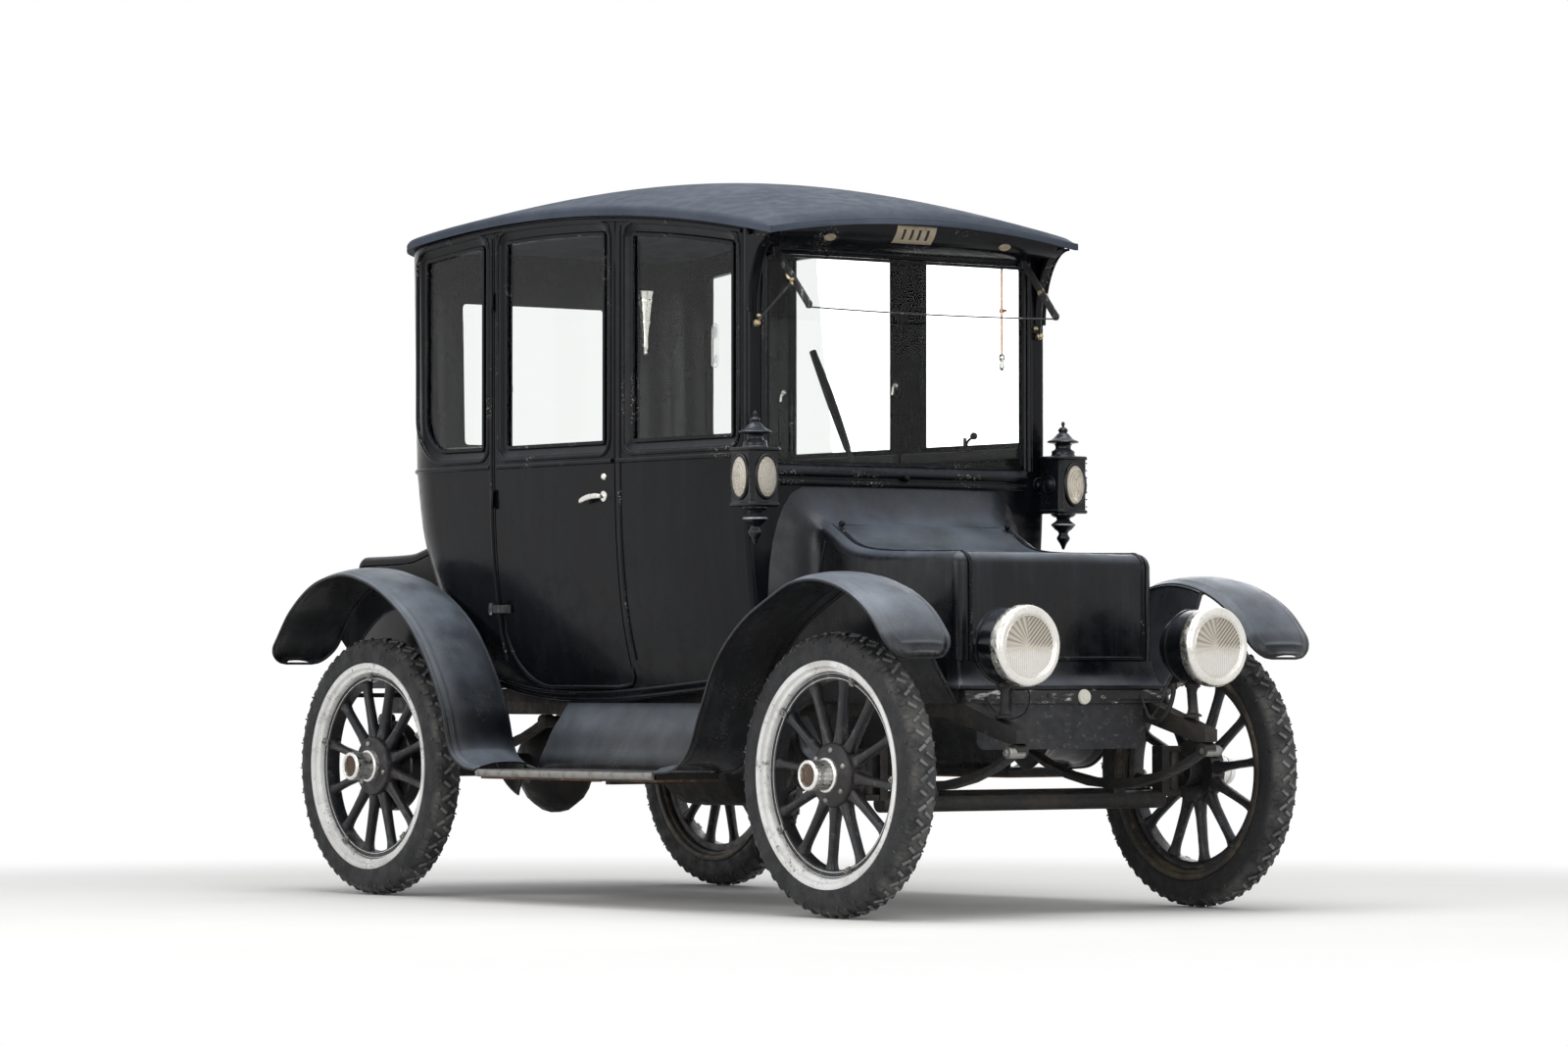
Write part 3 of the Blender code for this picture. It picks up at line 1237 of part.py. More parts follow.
def side_walls(name, line, half_width, bottom, sheet, drop, inward):
    """Both side walls under a lid, each following its line."""
    shape = bmesh.new()
    edge = offset_line(line, inward * drop)
    outline = [(y, max(z, bottom + sheet)) for y, z in edge] + [(edge[0][0], bottom)]
    outline[-2] = (outline[-2][0], bottom)
    for _, sign in SIDES:
        ends = sorted((sign * (half_width - sheet), sign * half_width))
        add_loft(shape, [[(x, y, z) for y, z in outline] for x in ends])
    return to_mesh(name, shape)


def shoulder_mesh(line):
    """The fixed rounded edges outside the hood lid, each carried along the hood's side line."""
    inner = HOOD_HALF_WIDTH - HOOD_SHOULDER
    section = [(inner + HOOD_SHOULDER * out, HOOD_SHOULDER_DROP * down) for out, down in SHOULDER_SHARES]
    foot = HOOD_SHOULDER_DROP + WELD * 3
    section += [(HOOD_HALF_WIDTH, foot), (HOOD_HALF_WIDTH - HOOD_SHEET, foot), (inner, HOOD_SHEET)]
    lines = [offset_line(line, depth) for _, depth in section]
    shape = bmesh.new()
    for _, sign in SIDES:
        add_loft(shape, [[(sign * x, *edge[index]) for (x, _), edge in zip(section, lines)]
                         for index in range(len(line))])
    return to_mesh("hood_shoulders", shape)


def cowl_mesh():
    """The block between hood and dash; its shoulders open out towards the dash."""
    rings = []
    rows = (
        (HOOD_HINGE_Y + MOVING_GAP, HOOD_HALF_WIDTH, HOOD_HINGE_HEIGHT, COWL_FRONT_SHARES),
        (DASH_Y - SEAT_GAP, COWL_HALF_WIDTH, COWL_TOP, COWL_DASH_SHARES),
    )
    for y, half, top, shares in rows:
        right = [(-half * out, y, APRON_BOTTOM + (top - APRON_BOTTOM) * up) for out, up in shares]
        rings.append(right + [(-x, along, z) for x, along, z in reversed(right)])
    shape = bmesh.new()
    add_loft(shape, rings)
    return to_mesh("cowl", shape)


def build_hood():
    line = lid_line(HOOD_HINGE_Y, HOOD_HINGE_HEIGHT, HOOD_FRONT_Y, HOOD_TOP, HOOD_BOTTOM, HOOD_CORNER)
    lid_half = HOOD_HALF_WIDTH - HOOD_SHOULDER - MOVING_GAP
    lid = lid_mesh("hood_lid", line, lid_half, HOOD_SHEET, HOOD_TURN_DOWN, 1)
    lid.transform(Matrix.Translation((0, -HOOD_HINGE_Y, -HOOD_HINGE_HEIGHT)))
    place("hood_lid", lid, "black_enamel", (0, HOOD_HINGE_Y, HOOD_HINGE_HEIGHT))
    drop = HOOD_SHEET + HOOD_TURN_DOWN + LID_SEAT
    top_z = HOOD_BOTTOM - SEAT_GAP
    fixed = [(HOOD_HINGE_Y + MOVING_GAP + WELD, HOOD_HINGE_HEIGHT), *line[1:-1], (HOOD_FRONT_Y, top_z - WELD)]
    wall_half, depth = HOOD_HALF_WIDTH - WELD, HOOD_SHOULDER_DROP + WELD
    walls = side_walls("hood_body", fixed, wall_half, APRON_BOTTOM, HOOD_SHEET, depth, 1)
    body = place("hood_body", walls, "black_enamel")
    boolean(body, guide("hood_shoulders", shoulder_mesh(fixed)), "UNION")
    floor_z = APRON_BOTTOM
    joined = bmesh.new()
    wall_front = HOOD_FRONT_Y + drop
    add_box(joined, (-HOOD_HALF_WIDTH + HOOD_SHEET / 2, wall_front, floor_z),
            (HOOD_HALF_WIDTH - HOOD_SHEET / 2, HOOD_HINGE_Y + HOOD_SHEET, floor_z + HOOD_SHEET))
    boolean(body, guide("hood_floor", to_mesh("hood_floor", joined)), "UNION")
    apron = bmesh.new()
    half = HOOD_HALF_WIDTH
    rings = []
    for z, flare in ((top_z, 0.0), (APRON_BOTTOM + APRON_FLARE, APRON_FLARE * APRON_WAIST_SHARE),
                     (APRON_BOTTOM, APRON_FLARE)):
        reach = half + flare * APRON_SIDE_SHARE
        rings.append([
            (-reach, HOOD_FRONT_Y - flare, z), (reach, HOOD_FRONT_Y - flare, z),
            (reach, wall_front + HOOD_SHEET, z), (-reach, wall_front + HOOD_SHEET, z),
        ])
    add_loft(apron, list(reversed(rings)))
    boolean(body, guide("hood_apron", to_mesh("hood_apron", apron)), "UNION")
    boolean(body, guide("cowl", cowl_mesh()), "UNION")
    inner = BATTERY_CLEARANCE + HOOD_SHEET
    block = bmesh.new()
    add_box(block, (-HOOD_HALF_WIDTH + inner, wall_front + inner, floor_z + HOOD_SHEET + SEAT_GAP),
            (HOOD_HALF_WIDTH - inner, HOOD_HINGE_Y - inner, HOOD_TOP - inner * 2))
    place("front_battery", to_mesh("front_battery", block), "battery")


def back_wall_y(z):
    """Where the cabin's rounded back meets the inner face of a deck wall."""
    half, back = section_at(z)
    across = DECK_HALF_WIDTH - HOOD_SHEET - half + REAR_CORNER_RADIUS
    return back - REAR_CORNER_RADIUS + sqrt(REAR_CORNER_RADIUS ** 2 - max(across, 0) ** 2)


def build_deck():
    hinge_z = DECK_TOP
    line = lid_line(DECK_START_Y + OVERRUN, hinge_z, TAIL_Y, DECK_TOP - DECK_FALL, HOOD_BOTTOM,
                    HOOD_CORNER)
    hinge_y = line[0][0]
    lid = lid_mesh("deck_lid", line, DECK_HALF_WIDTH, HOOD_SHEET, HOOD_TURN_DOWN, -1)
    lid.transform(Matrix.Translation((0, -hinge_y, -hinge_z)))
    place("deck_lid", lid, "black_enamel", (0, hinge_y, hinge_z))
    drop = HOOD_SHEET + HOOD_TURN_DOWN + LID_SEAT
    edge = offset_line(line, -drop)
    outline = [(y, max(z, APRON_BOTTOM)) for y, z in edge]
    outline[-1] = (outline[-1][0], APRON_BOTTOM)
    foot = CABIN_BOTTOM + (BELT_HEIGHT - CABIN_BOTTOM) * SILL_SHARES[-1][1]
    outline.append((back_wall_y(foot) + SEAT_GAP, APRON_BOTTOM))
    outline += [(back_wall_y(z) + SEAT_GAP, z) for z, _, _ in cabin_sections() if foot <= z < edge[0][1]]
    outline.append((back_wall_y(edge[0][1]) + SEAT_GAP, edge[0][1]))
    shape = bmesh.new()
    for _, sign in SIDES:
        ends = sorted((sign * (DECK_HALF_WIDTH - HOOD_SHEET), sign * DECK_HALF_WIDTH))
        add_loft(shape, [[(x, y, z) for y, z in outline] for x in ends])
    body = place("deck_body", to_mesh("deck_body", shape), "black_enamel")
    joined = bmesh.new()
    wall_rear = TAIL_Y - drop
    add_box(joined, (-DECK_HALF_WIDTH + HOOD_SHEET / 2, hinge_y - HOOD_SHEET / 2, APRON_BOTTOM),
            (DECK_HALF_WIDTH - HOOD_SHEET / 2, wall_rear, APRON_BOTTOM + HOOD_SHEET))
    half = DECK_HALF_WIDTH - HOOD_SHEET / 2
    add_box(joined, (-half, wall_rear - HOOD_SHEET, APRON_BOTTOM + HOOD_SHEET / 2),
            (half, TAIL_Y, HOOD_BOTTOM - SEAT_GAP))
    boolean(body, guide("deck_floor", to_mesh("deck_floor", joined)), "UNION").use_self = True
    inner = BATTERY_CLEARANCE + HOOD_SHEET
    block = bmesh.new()
    add_box(block, (-DECK_HALF_WIDTH + inner, hinge_y + inner, APRON_BOTTOM + HOOD_SHEET + SEAT_GAP),
            (DECK_HALF_WIDTH - inner, wall_rear - inner, DECK_TOP - DECK_FALL - inner * 2))
    place("rear_battery", to_mesh("rear_battery", block), "battery")


# Fenders and running boards
def fender_line(axle_y, fore, aft, top, shares):
    """Side line of a fender: share along, place along the car, height."""
    rise = top - FENDER_CROWN - BOARD_TOP
    return [(along, axle_y + along * (fore if along < 0 else aft), BOARD_TOP + rise * up)
            for along, up in shares]


def line_normal(line, index):
    """Upward normal of the side line at one of its points."""
    before, after = line[max(index - 1, 0)], line[min(index + 1, len(line) - 1)]
    way = Vector((after[1] - before[1], after[2] - before[2])).normalized()
    if line[index][2] == BOARD_TOP:
        way = Vector((1, 0))
    return Vector((-way.y, way.x))


def fender_mesh(name, sign, line):
    """A crowned strip that follows the side line, as thick as its sheet."""
    tip_at_front = line[0][2] > line[-1][2]
    shape = bmesh.new()
    rings = []
    for index, (along, y, z) in enumerate(line):
        normal = line_normal(line, index)
        tip = -along if tip_at_front else along
        narrow = 1.0
        if tip > FENDER_TIP_SHARE:
            over = (tip - FENDER_TIP_SHARE) / (1 - FENDER_TIP_SHARE)
            narrow = FENDER_TIP_NARROW + (1 - FENDER_TIP_NARROW) * sqrt(max(1 - over * over, 0.0))
        outer, inner = [], []
        for across, lift in FENDER_CROSS_SHARES:
            x = WHEEL_X + FENDER_WIDTH * narrow * (across - 1 / 2)
            high = FENDER_CROWN * lift
            outer.append((sign * x, y + normal.x * high, z + normal.y * high))
            low = high - FENDER_SHEET
            inner.append((sign * x, y + normal.x * low, z + normal.y * low))
        rings.append(outer + list(reversed(inner)))
    add_loft(shape, rings)
    return to_mesh(name, shape)


def apron_mesh(name, sign, line):
    """The splash apron from the front fender's inner edge down to the frame rail."""
    sheet = FENDER_APRON_SHEET
    foot = Vector((RAIL_X + RAIL_WIDTH / 2 + SEAT_GAP + sheet / 2, BAR_SEAT))
    rings = []
    for index, (_, y, z) in enumerate(line):
        if y < HOOD_FRONT_Y:
            continue
        normal = line_normal(line, index)
        depth = FENDER_SHEET / 2
        top = Vector((FENDER_INNER_X + sheet, z - normal.y * depth))
        way = (top - foot).normalized()
        side = Vector((-way.y, way.x)) * sheet / 2
        low_a, low_b, top_a, top_b = foot + side, foot - side, top + side, top - side
        top_y = y - normal.x * depth
        rings.append([
            (sign * low_a.x, y, low_a.y), (sign * low_b.x, y, low_b.y),
            (sign * top_b.x, top_y, top_b.y), (sign * top_a.x, top_y, top_a.y),
        ])
    shape = bmesh.new()
    add_loft(shape, rings)
    return to_mesh(name, shape)


def skirt_mesh(name, sign, line):
    """The narrow skirt that hangs from the rear fender's inner edge."""
    sheet = FENDER_APRON_SHEET
    rings = []
    for index, (along, y, z) in enumerate(line):
        if z == BOARD_TOP or along > FENDER_TIP_SHARE:
            continue
        normal = line_normal(line, index)
        high, low = FENDER_SHEET / 2, FENDER_SKIRT_DEPTH
        low_x, high_x = FENDER_INNER_X, FENDER_INNER_X + sheet
        rings.append([
            (sign * x, y - normal.x * depth, z - normal.y * depth)
            for x, depth in ((low_x, low), (high_x, low), (high_x, high), (low_x, high))
        ])
    shape = bmesh.new()
    add_loft(shape, rings)
    return to_mesh(name, shape)


def build_fenders():
    front_line = fender_line(FRONT_AXLE_Y, FRONT_FENDER_FORE, FRONT_FENDER_AFT, FENDER_TOP_FRONT,
                             FRONT_FENDER_SHARES)
    rear_line = fender_line(REAR_AXLE_Y, REAR_FENDER_FORE, REAR_FENDER_AFT, FENDER_TOP_REAR,
                            REAR_FENDER_SHARES)
    for side, sign in SIDES:
        front = place(f"fender_front_{side}", fender_mesh("fender_front", sign, front_line), "black_enamel")
        boolean(front, guide(f"fender_apron_{side}", apron_mesh("fender_apron", sign, front_line)), "UNION")
        smooth(front)
        rear = place(f"fender_rear_{side}", fender_mesh("fender_rear", sign, rear_line), "black_enamel")
        boolean(rear, guide(f"fender_skirt_{side}", skirt_mesh("fender_skirt", sign, rear_line)), "UNION")
        smooth(rear)


def build_running_boards():
    """Boards between the fenders, each turned up into a splash valance on its inner side."""
    start = FRONT_AXLE_Y + FRONT_FENDER_AFT + SEAT_GAP
    end = REAR_AXLE_Y - REAR_FENDER_FORE - SEAT_GAP
    sheet = VALANCE_SHEET
    foot = BOARD_TOP + VALANCE_FOOT
    outline = [
        (FENDER_INNER_X, BOARD_TOP - BOARD_THICKNESS), (FENDER_OUTER_X, BOARD_TOP - BOARD_THICKNESS),
        (FENDER_OUTER_X, BOARD_TOP), (FENDER_INNER_X + sheet, BOARD_TOP),
        (FENDER_INNER_X + sheet, foot), (VALANCE_TOP_X + sheet, VALANCE_TOP),
        (VALANCE_TOP_X, VALANCE_TOP), (FENDER_INNER_X, foot),
    ]
    for side, sign in SIDES:
        shape = bmesh.new()
        add_loft(shape, [[(sign * x, y, z) for x, z in outline] for y in (start, end)])
        place(f"running_board_{side}", to_mesh(f"running_board_{side}", shape), "black_enamel")


# Lamps
def horn_top(y):
    """Height of the frame horn's upper edge ahead of the plate bar."""
    tip_y = FRONT_AXLE_Y - FRONT_SPRING_HALF - EYE_RADIUS
    tip_z = FRONT_EYE_HEIGHT + EYE_RISE + SEAT_GAP + RAIL_HEIGHT * HORN_DEPTH_SHARE
    return tip_z + (BAR_SEAT - tip_z) * (y - tip_y) / (BAR_FRONT_Y - tip_y)


def build_headlamps():
    """Drum lamps with a raised rim, each on a post that stands on its frame horn."""
    # share of the radius, share of the depth behind the lens
    profile = [(HEADLAMP_RADIUS * out, -HEADLAMP_DEPTH * back) for out, back in HEADLAMP_SHARES]
    post_y = HEADLAMP_DEPTH * HEADLAMP_POST_SHARE
    foot = -HEADLAMP_RADIUS - HEADLAMP_POST
    height = horn_top(NOSE_Y + post_y + HEADLAMP_POST_RADIUS) + SEAT_GAP - foot
    for side, sign in SIDES:
        at = (sign * HEADLAMP_X, NOSE_Y, height)
        mesh = turned(f"headlamp_{side}", [profile], LAMP_SEGMENTS)
        mesh.transform(Matrix.Rotation(pi / 2, 4, "X"))
        lamp = place(f"headlamp_{side}", mesh, "black_enamel", at)
        post = bmesh.new()
        top = -HEADLAMP_RADIUS * HEADLAMP_POST_TOP_SHARE
        add_rod(post, (0, post_y, top), (0, post_y, foot), HEADLAMP_POST_RADIUS, None, 10)
        boolean(lamp, guide(f"lamp_post_{side}", to_mesh("lamp_post", post), at), "UNION")
        smooth(lamp)


def build_lanterns():
    """Carriage lanterns: a bevelled square body, turned finials and an arm to the dash."""
    half = LANTERN_SIZE / 2
    upper = [(half * out, (LANTERN_TIP - LANTERN_TOP) * up) for out, up in LANTERN_CROWN_SHARES]
    lower = [(half * out, (LANTERN_BOTTOM - LANTERN_PENDANT) * up) for out, up in LANTERN_DROP_SHARES]
    level = (LANTERN_BOTTOM + LANTERN_TOP) / 2
    for side, sign in SIDES:
        at = (sign * LANTERN_X, LANTERN_Y, 0)
        box = bmesh.new()
        add_box(box, (-half, -half, LANTERN_BOTTOM), (half, half, LANTERN_TOP))
        lantern = place(f"lantern_{side}", to_mesh(f"lantern_{side}", box), "black_enamel", at)
        bevel(lantern, LANTERN_SIZE * LANTERN_BEVEL_SHARE, 2, LANTERN_BEVEL_ANGLE)
        crown = turned("lantern_crown", [upper], LANTERN_SEGMENTS)
        crown.transform(Matrix.Translation((0, 0, LANTERN_TOP)))
        boolean(lantern, guide(f"lantern_crown_{side}", crown, at), "UNION")
        drop = turned("lantern_drop", [lower], LANTERN_SEGMENTS)
        drop.transform(Matrix.Translation((0, 0, LANTERN_BOTTOM)))
        boolean(lantern, guide(f"lantern_drop_{side}", drop, at), "UNION")
        arm = bmesh.new()
        inboard = -sign * half * LANTERN_ARM_SHARE
        reach = LANTERN_AHEAD_OF_DASH - SEAT_GAP
        add_rod(arm, (inboard, 0, level), (inboard, reach, level), LANTERN_ARM_RADIUS, None, 12)
        boolean(lantern, guide(f"lantern_arm_{side}", to_mesh("lantern_arm", arm), at), "UNION")


# Front plate carrier, inside and floor
def build_plate():
    """Cross bar and blank plate under the hood apron, carried on the frame horns."""
    shape = bmesh.new()
    front = BAR_FRONT_Y
    add_box(shape, (-HOOD_HALF_WIDTH, front, BAR_SEAT + SEAT_GAP),
            (HOOD_HALF_WIDTH, front + PLATE_BAR_DEPTH, APRON_BOTTOM - SEAT_GAP))
    bar = place("front_plate", to_mesh("front_plate", shape), "black_enamel")
    plate = bmesh.new()
    half = RAIL_X - RAIL_WIDTH / 2 - MOVING_GAP
    inset = (PLATE_BAR_DEPTH - PLATE_THICKNESS) / 2
    add_box(plate, (-half, front + inset, PLATE_BOTTOM),
            (half, front + inset + PLATE_THICKNESS, BAR_SEAT + PLATE_THICKNESS))
    boolean(bar, guide("plate_panel", to_mesh("plate_panel", plate)), "UNION")


def build_inside():
    """Floor with its bench box, rear seat, driver's swivel chair and tiller."""
    floor = inside_block("cabin_floor", DASH_Y + CABIN_WALL + SEAT_GAP, APRON_BOTTOM, FLOOR_TOP, SEAT_GAP)
    ground = place("cabin_floor", floor, "floor_wood")
    bench_front = BACK_Y - BENCH_FRONT_AHEAD_OF_BACK
    base_top = BENCH_HEIGHT - CUSHION_THICKNESS
    box_low = FLOOR_TOP - FLOOR_THICKNESS / 2
    box = inside_block("bench_box", bench_front, box_low, base_top, MOVING_GAP, 0.0, True)
    boolean(ground, guide("bench_box", box), "UNION")
    low = base_top + SEAT_GAP
    side_gap = MOVING_GAP * 2
    cushion = inside_block("rear_cushion", bench_front - OVERRUN, low, BENCH_HEIGHT, side_gap,
                           BACKREST_THICKNESS)
    bevel(place("rear_cushion", cushion, "upholstery"), CUSHION_ROUNDING)
    rest = inside_block("rear_backrest", None, low, BENCH_BACK_TOP, side_gap, BACKREST_THICKNESS, True)
    bevel(place("rear_backrest", rest, "upholstery"), CUSHION_ROUNDING)
    build_chair()
    foot_y = DASH_Y + TILLER_BACK_OF_DASH
    points = [(TILLER_X + across, foot_y + along, FLOOR_TOP + SEAT_GAP + up)
              for across, along, up in TILLER_LINE]
    place("tiller", tube_mesh("tiller", points, TILLER_RADIUS, 2), "chassis_iron")


def build_chair():
    chair_y = DASH_Y + CHAIR_BACK_OF_DASH
    pan = BENCH_HEIGHT - CHAIR_CUSHION
    # radius and height of the turned pedestal under the chair
    profile = [
        (0, pan), (CHAIR_PAN_RADIUS, pan), (CHAIR_PAN_RADIUS, pan - CHAIR_COLUMN_RADIUS),
        (CHAIR_COLUMN_RADIUS, pan - CHAIR_COLUMN_RADIUS * 2),
        (CHAIR_COLUMN_RADIUS, FLOOR_TOP + CHAIR_COLUMN_RADIUS),
        (CHAIR_FOOT_RADIUS, FLOOR_TOP + SEAT_GAP), (0, FLOOR_TOP + SEAT_GAP),
    ]
    pedestal = turned("chair_pedestal", [profile], HUB_SEGMENTS)
    place("chair_pedestal", pedestal, "chassis_iron", (CHAIR_X, chair_y - CHAIR_DEPTH / 2, 0))
    half = CHAIR_WIDTH / 2
    chair = bmesh.new()
    add_box(chair, (CHAIR_X - half, chair_y - CHAIR_DEPTH, pan + SEAT_GAP),
            (CHAIR_X + half, chair_y, BENCH_HEIGHT))
    seat = place("chair_cushion", to_mesh("chair_cushion", chair), "upholstery")
    low = BENCH_HEIGHT - CHAIR_CUSHION / 2
    right = [(half * out, low + (CHAIR_TOP - low) * up) for out, up in CHAIR_ARCH_SHARES]
    outline = [(half, low), *right, *[(-x, z) for x, z in reversed(right[:-1])], (-half, low)]
    back = bmesh.new()
    places = (chair_y - CHAIR_BACK_THICKNESS, chair_y)
    add_loft(back, [[(CHAIR_X + x, y, z) for x, z in outline] for y in places])
    boolean(seat, guide("chair_back", to_mesh("chair_back", back)), "UNION")


build_wheels()
build_front_axle()
build_knuckles()
build_rear_axle()
build_motor()
build_frame()
build_cabin()
build_doors()
build_glass()
build_roof()
build_hood()
build_deck()
build_fenders()
build_running_boards()
build_headlamps()
build_lanterns()
build_plate()
build_inside()
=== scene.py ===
"""Looks of a brass era electric coupe car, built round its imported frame.

Metres, +Z up, -Y ahead, +X the car's left side. Each sub-assembly is a class that holds
its sizes and makes its own pieces; each finish is a frozen dataclass that builds a
procedural material.
"""
from __future__ import annotations

import json
import logging
import math
from dataclasses import dataclass
from enum import Enum
from math import cos, pi, radians, sin, sqrt
from typing import Callable, Iterable, Sequence

import bmesh
import bpy
import numpy as np
from mathutils import Matrix, Vector

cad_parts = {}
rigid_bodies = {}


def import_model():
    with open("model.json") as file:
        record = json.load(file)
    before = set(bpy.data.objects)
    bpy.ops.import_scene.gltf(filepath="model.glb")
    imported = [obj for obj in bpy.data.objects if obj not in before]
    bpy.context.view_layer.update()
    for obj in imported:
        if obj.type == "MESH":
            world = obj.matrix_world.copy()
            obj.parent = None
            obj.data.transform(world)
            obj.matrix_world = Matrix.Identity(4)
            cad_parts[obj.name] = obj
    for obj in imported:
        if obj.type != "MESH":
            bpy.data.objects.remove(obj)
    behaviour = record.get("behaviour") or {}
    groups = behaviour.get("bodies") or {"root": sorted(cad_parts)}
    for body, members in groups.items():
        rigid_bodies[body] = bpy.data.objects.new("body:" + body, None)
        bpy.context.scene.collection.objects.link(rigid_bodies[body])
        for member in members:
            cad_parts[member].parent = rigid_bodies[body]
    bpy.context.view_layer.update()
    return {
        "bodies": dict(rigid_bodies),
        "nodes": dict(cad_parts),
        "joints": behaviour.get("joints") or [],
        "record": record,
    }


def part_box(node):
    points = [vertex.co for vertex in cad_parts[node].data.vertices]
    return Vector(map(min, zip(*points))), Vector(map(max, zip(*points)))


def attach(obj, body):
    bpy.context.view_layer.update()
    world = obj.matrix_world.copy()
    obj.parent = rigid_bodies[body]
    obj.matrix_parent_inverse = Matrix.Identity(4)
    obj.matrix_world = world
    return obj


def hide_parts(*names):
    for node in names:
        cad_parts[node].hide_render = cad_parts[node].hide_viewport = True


LOG = logging.getLogger("electric_coupe")
Colour = tuple[float, float, float]
Spot = Sequence[float]
SIDES = (("right", -1), ("left", 1))
FRAME: dict = {}


# Materials


class Graph:
    """The node tree of one material, built by short calls."""

    def __init__(self, name: str) -> None:
        """Start an empty material with a shader and its output.

        Args:
            name: Name of the material.
        """
        self.material = bpy.data.materials.new(name)
        self.material.use_nodes = True
        self.tree = self.material.node_tree
        self.shader = self.tree.nodes["Principled BSDF"]
        self.coordinates = self.node("ShaderNodeTexCoord").outputs
        self.place = self.coordinates["Object"]

    def node(self, kind: str, **settings: object) -> bpy.types.Node:
        """Add a node and set its properties.

        Args:
            kind: Type of the node.
            settings: Properties of the node.

        Returns:
            The node.
        """
        made = self.tree.nodes.new(kind)
        for key, value in settings.items():
            setattr(made, key, value)
        return made

    def feed(self, socket: bpy.types.NodeSocket, value: object) -> None:
        """Link a socket to another, or set its own value.

        Args:
            socket: The input.
            value: A number, a colour or an output.
        """
        if isinstance(value, bpy.types.NodeSocket):
            self.tree.links.new(value, socket)
        elif isinstance(value, tuple) and len(value) == 3 and socket.type == "RGBA":
            socket.default_value = (*value, 1.0)
        else:
            socket.default_value = value

    def set(self, **values: object) -> None:
        """Feed the shader's inputs; an underscore stands for a blank."""
        for key, value in values.items():
            self.feed(self.shader.inputs[key.replace("_", " ")], value)

    def stretch(self, scale: Spot, turn: Spot = (0, 0, 0), at: Spot = (0, 0, 0)) -> bpy.types.NodeSocket:
        """Object coordinates moved, turned and stretched.

        Args:
            scale: Stretch along each axis.
            turn: Turn about each axis, in radians.
            at: Place that becomes the origin, before the stretch.

        Returns:
            The vector socket.
        """
        shift = self.node("ShaderNodeVectorMath", operation="SUBTRACT")
        self.feed(shift.inputs[0], self.place)
        shift.inputs[1].default_value = at
        made = self.node("ShaderNodeMapping")
        self.feed(made.inputs["Vector"], shift.outputs[0])
        made.inputs["Rotation"].default_value = turn
        made.inputs["Scale"].default_value = scale
        return made.outputs[0]

    def noise(self, scale: float, detail: float = 4.0, rough: float = 0.55,
            vector: bpy.types.NodeSocket | None = None) -> bpy.types.NodeSocket:
        """Fractal noise between 0 and 1.

        Args:
            scale: Fineness of the pattern, per metre.
            detail: Octaves of the noise.
            rough: Weight of the finer octaves.
            vector: Where the pattern is read.

        Returns:
            The node's output.
        """
        made = self.node("ShaderNodeTexNoise")
        self.feed(made.inputs["Vector"], vector or self.place)
        made.inputs["Scale"].default_value = scale
        made.inputs["Detail"].default_value = detail
        made.inputs["Roughness"].default_value = rough
        return made.outputs["Fac"]

    def cells(self, scale: float, feature: str = "F1",
            vector: bpy.types.NodeSocket | None = None) -> bpy.types.NodeSocket:
        """Distance in a cell pattern.

        Args:
            scale: Fineness of the pattern, per metre.
            feature: Kind of cell pattern.
            vector: Where the pattern is read.

        Returns:
            The node's output.
        """
        made = self.node("ShaderNodeTexVoronoi", feature=feature)
        self.feed(made.inputs["Vector"], vector or self.place)
        made.inputs["Scale"].default_value = scale
        return made.outputs["Distance"]

    def waves(self, scale: float, bend: float, vector: bpy.types.NodeSocket,
            axis: str = "X") -> bpy.types.NodeSocket:
        """Parallel bands across one axis of a vector.

        Args:
            scale: Fineness of the pattern, per metre.
            bend: How far the bands wander.
            vector: Where the pattern is read.
            axis: Direction of the bands.

        Returns:
            The node's output.
        """
        made = self.node("ShaderNodeTexWave", bands_direction=axis)
        self.feed(made.inputs["Vector"], vector)
        made.inputs["Scale"].default_value = scale
        made.inputs["Distortion"].default_value = bend
        return made.outputs["Fac"]

    def level(self, value: bpy.types.NodeSocket, low: float, high: float, start: float = 0.0,
            end: float = 1.0) -> bpy.types.NodeSocket:
        """Map a span of a value to another span, smoothly and clamped.

        Args:
            value: A number, a colour or an output.
            low: Value at which the rise starts.
            high: Value at which the rise ends.
            start: Result at the low end.
            end: Result at the high end.

        Returns:
            The node's output.
        """
        made = self.node("ShaderNodeMapRange", interpolation_type="SMOOTHSTEP")
        self.feed(made.inputs["Value"], value)
        for key, number in zip(("From Min", "From Max", "To Min", "To Max"), (low, high, start, end)):
            made.inputs[key].default_value = number
        return made.outputs[0]

    def math(self, operation: str, first: object, second: object = 0.0) -> bpy.types.NodeSocket:
        """Join two values by one operation.

        Args:
            operation: The operation's name.
            first: First value.
            second: Second value.

        Returns:
            The node's output.
        """
        made = self.node("ShaderNodeMath", operation=operation, use_clamp=operation == "ADD")
        self.feed(made.inputs[0], first)
        self.feed(made.inputs[1], second)
        return made.outputs[0]

    def mix(self, share: object, first: object, second: object) -> bpy.types.NodeSocket:
        """Blend two colours by a share.

        Args:
            share: How much of the second is mixed in.
            first: First value.
            second: Second value.

        Returns:
            The node's output.
        """
        made = self.node("ShaderNodeMix", data_type="RGBA")
        self.feed(made.inputs["Factor"], share)
        self.feed(made.inputs[6], first)
        self.feed(made.inputs[7], second)
        return made.outputs[2]

    def upward(self, low: float, high: float) -> bpy.types.NodeSocket:
        """How far the surface faces up, by its own normal, from 0 to 1.

        Args:
            low: Slope at which the share starts.
            high: Slope at which the share is full.

        Returns:
            The node's output.
        """
        split = self.node("ShaderNodeSeparateXYZ")
        self.feed(split.inputs[0], self.coordinates["Normal"])
        return self.level(split.outputs["Z"], low, high)

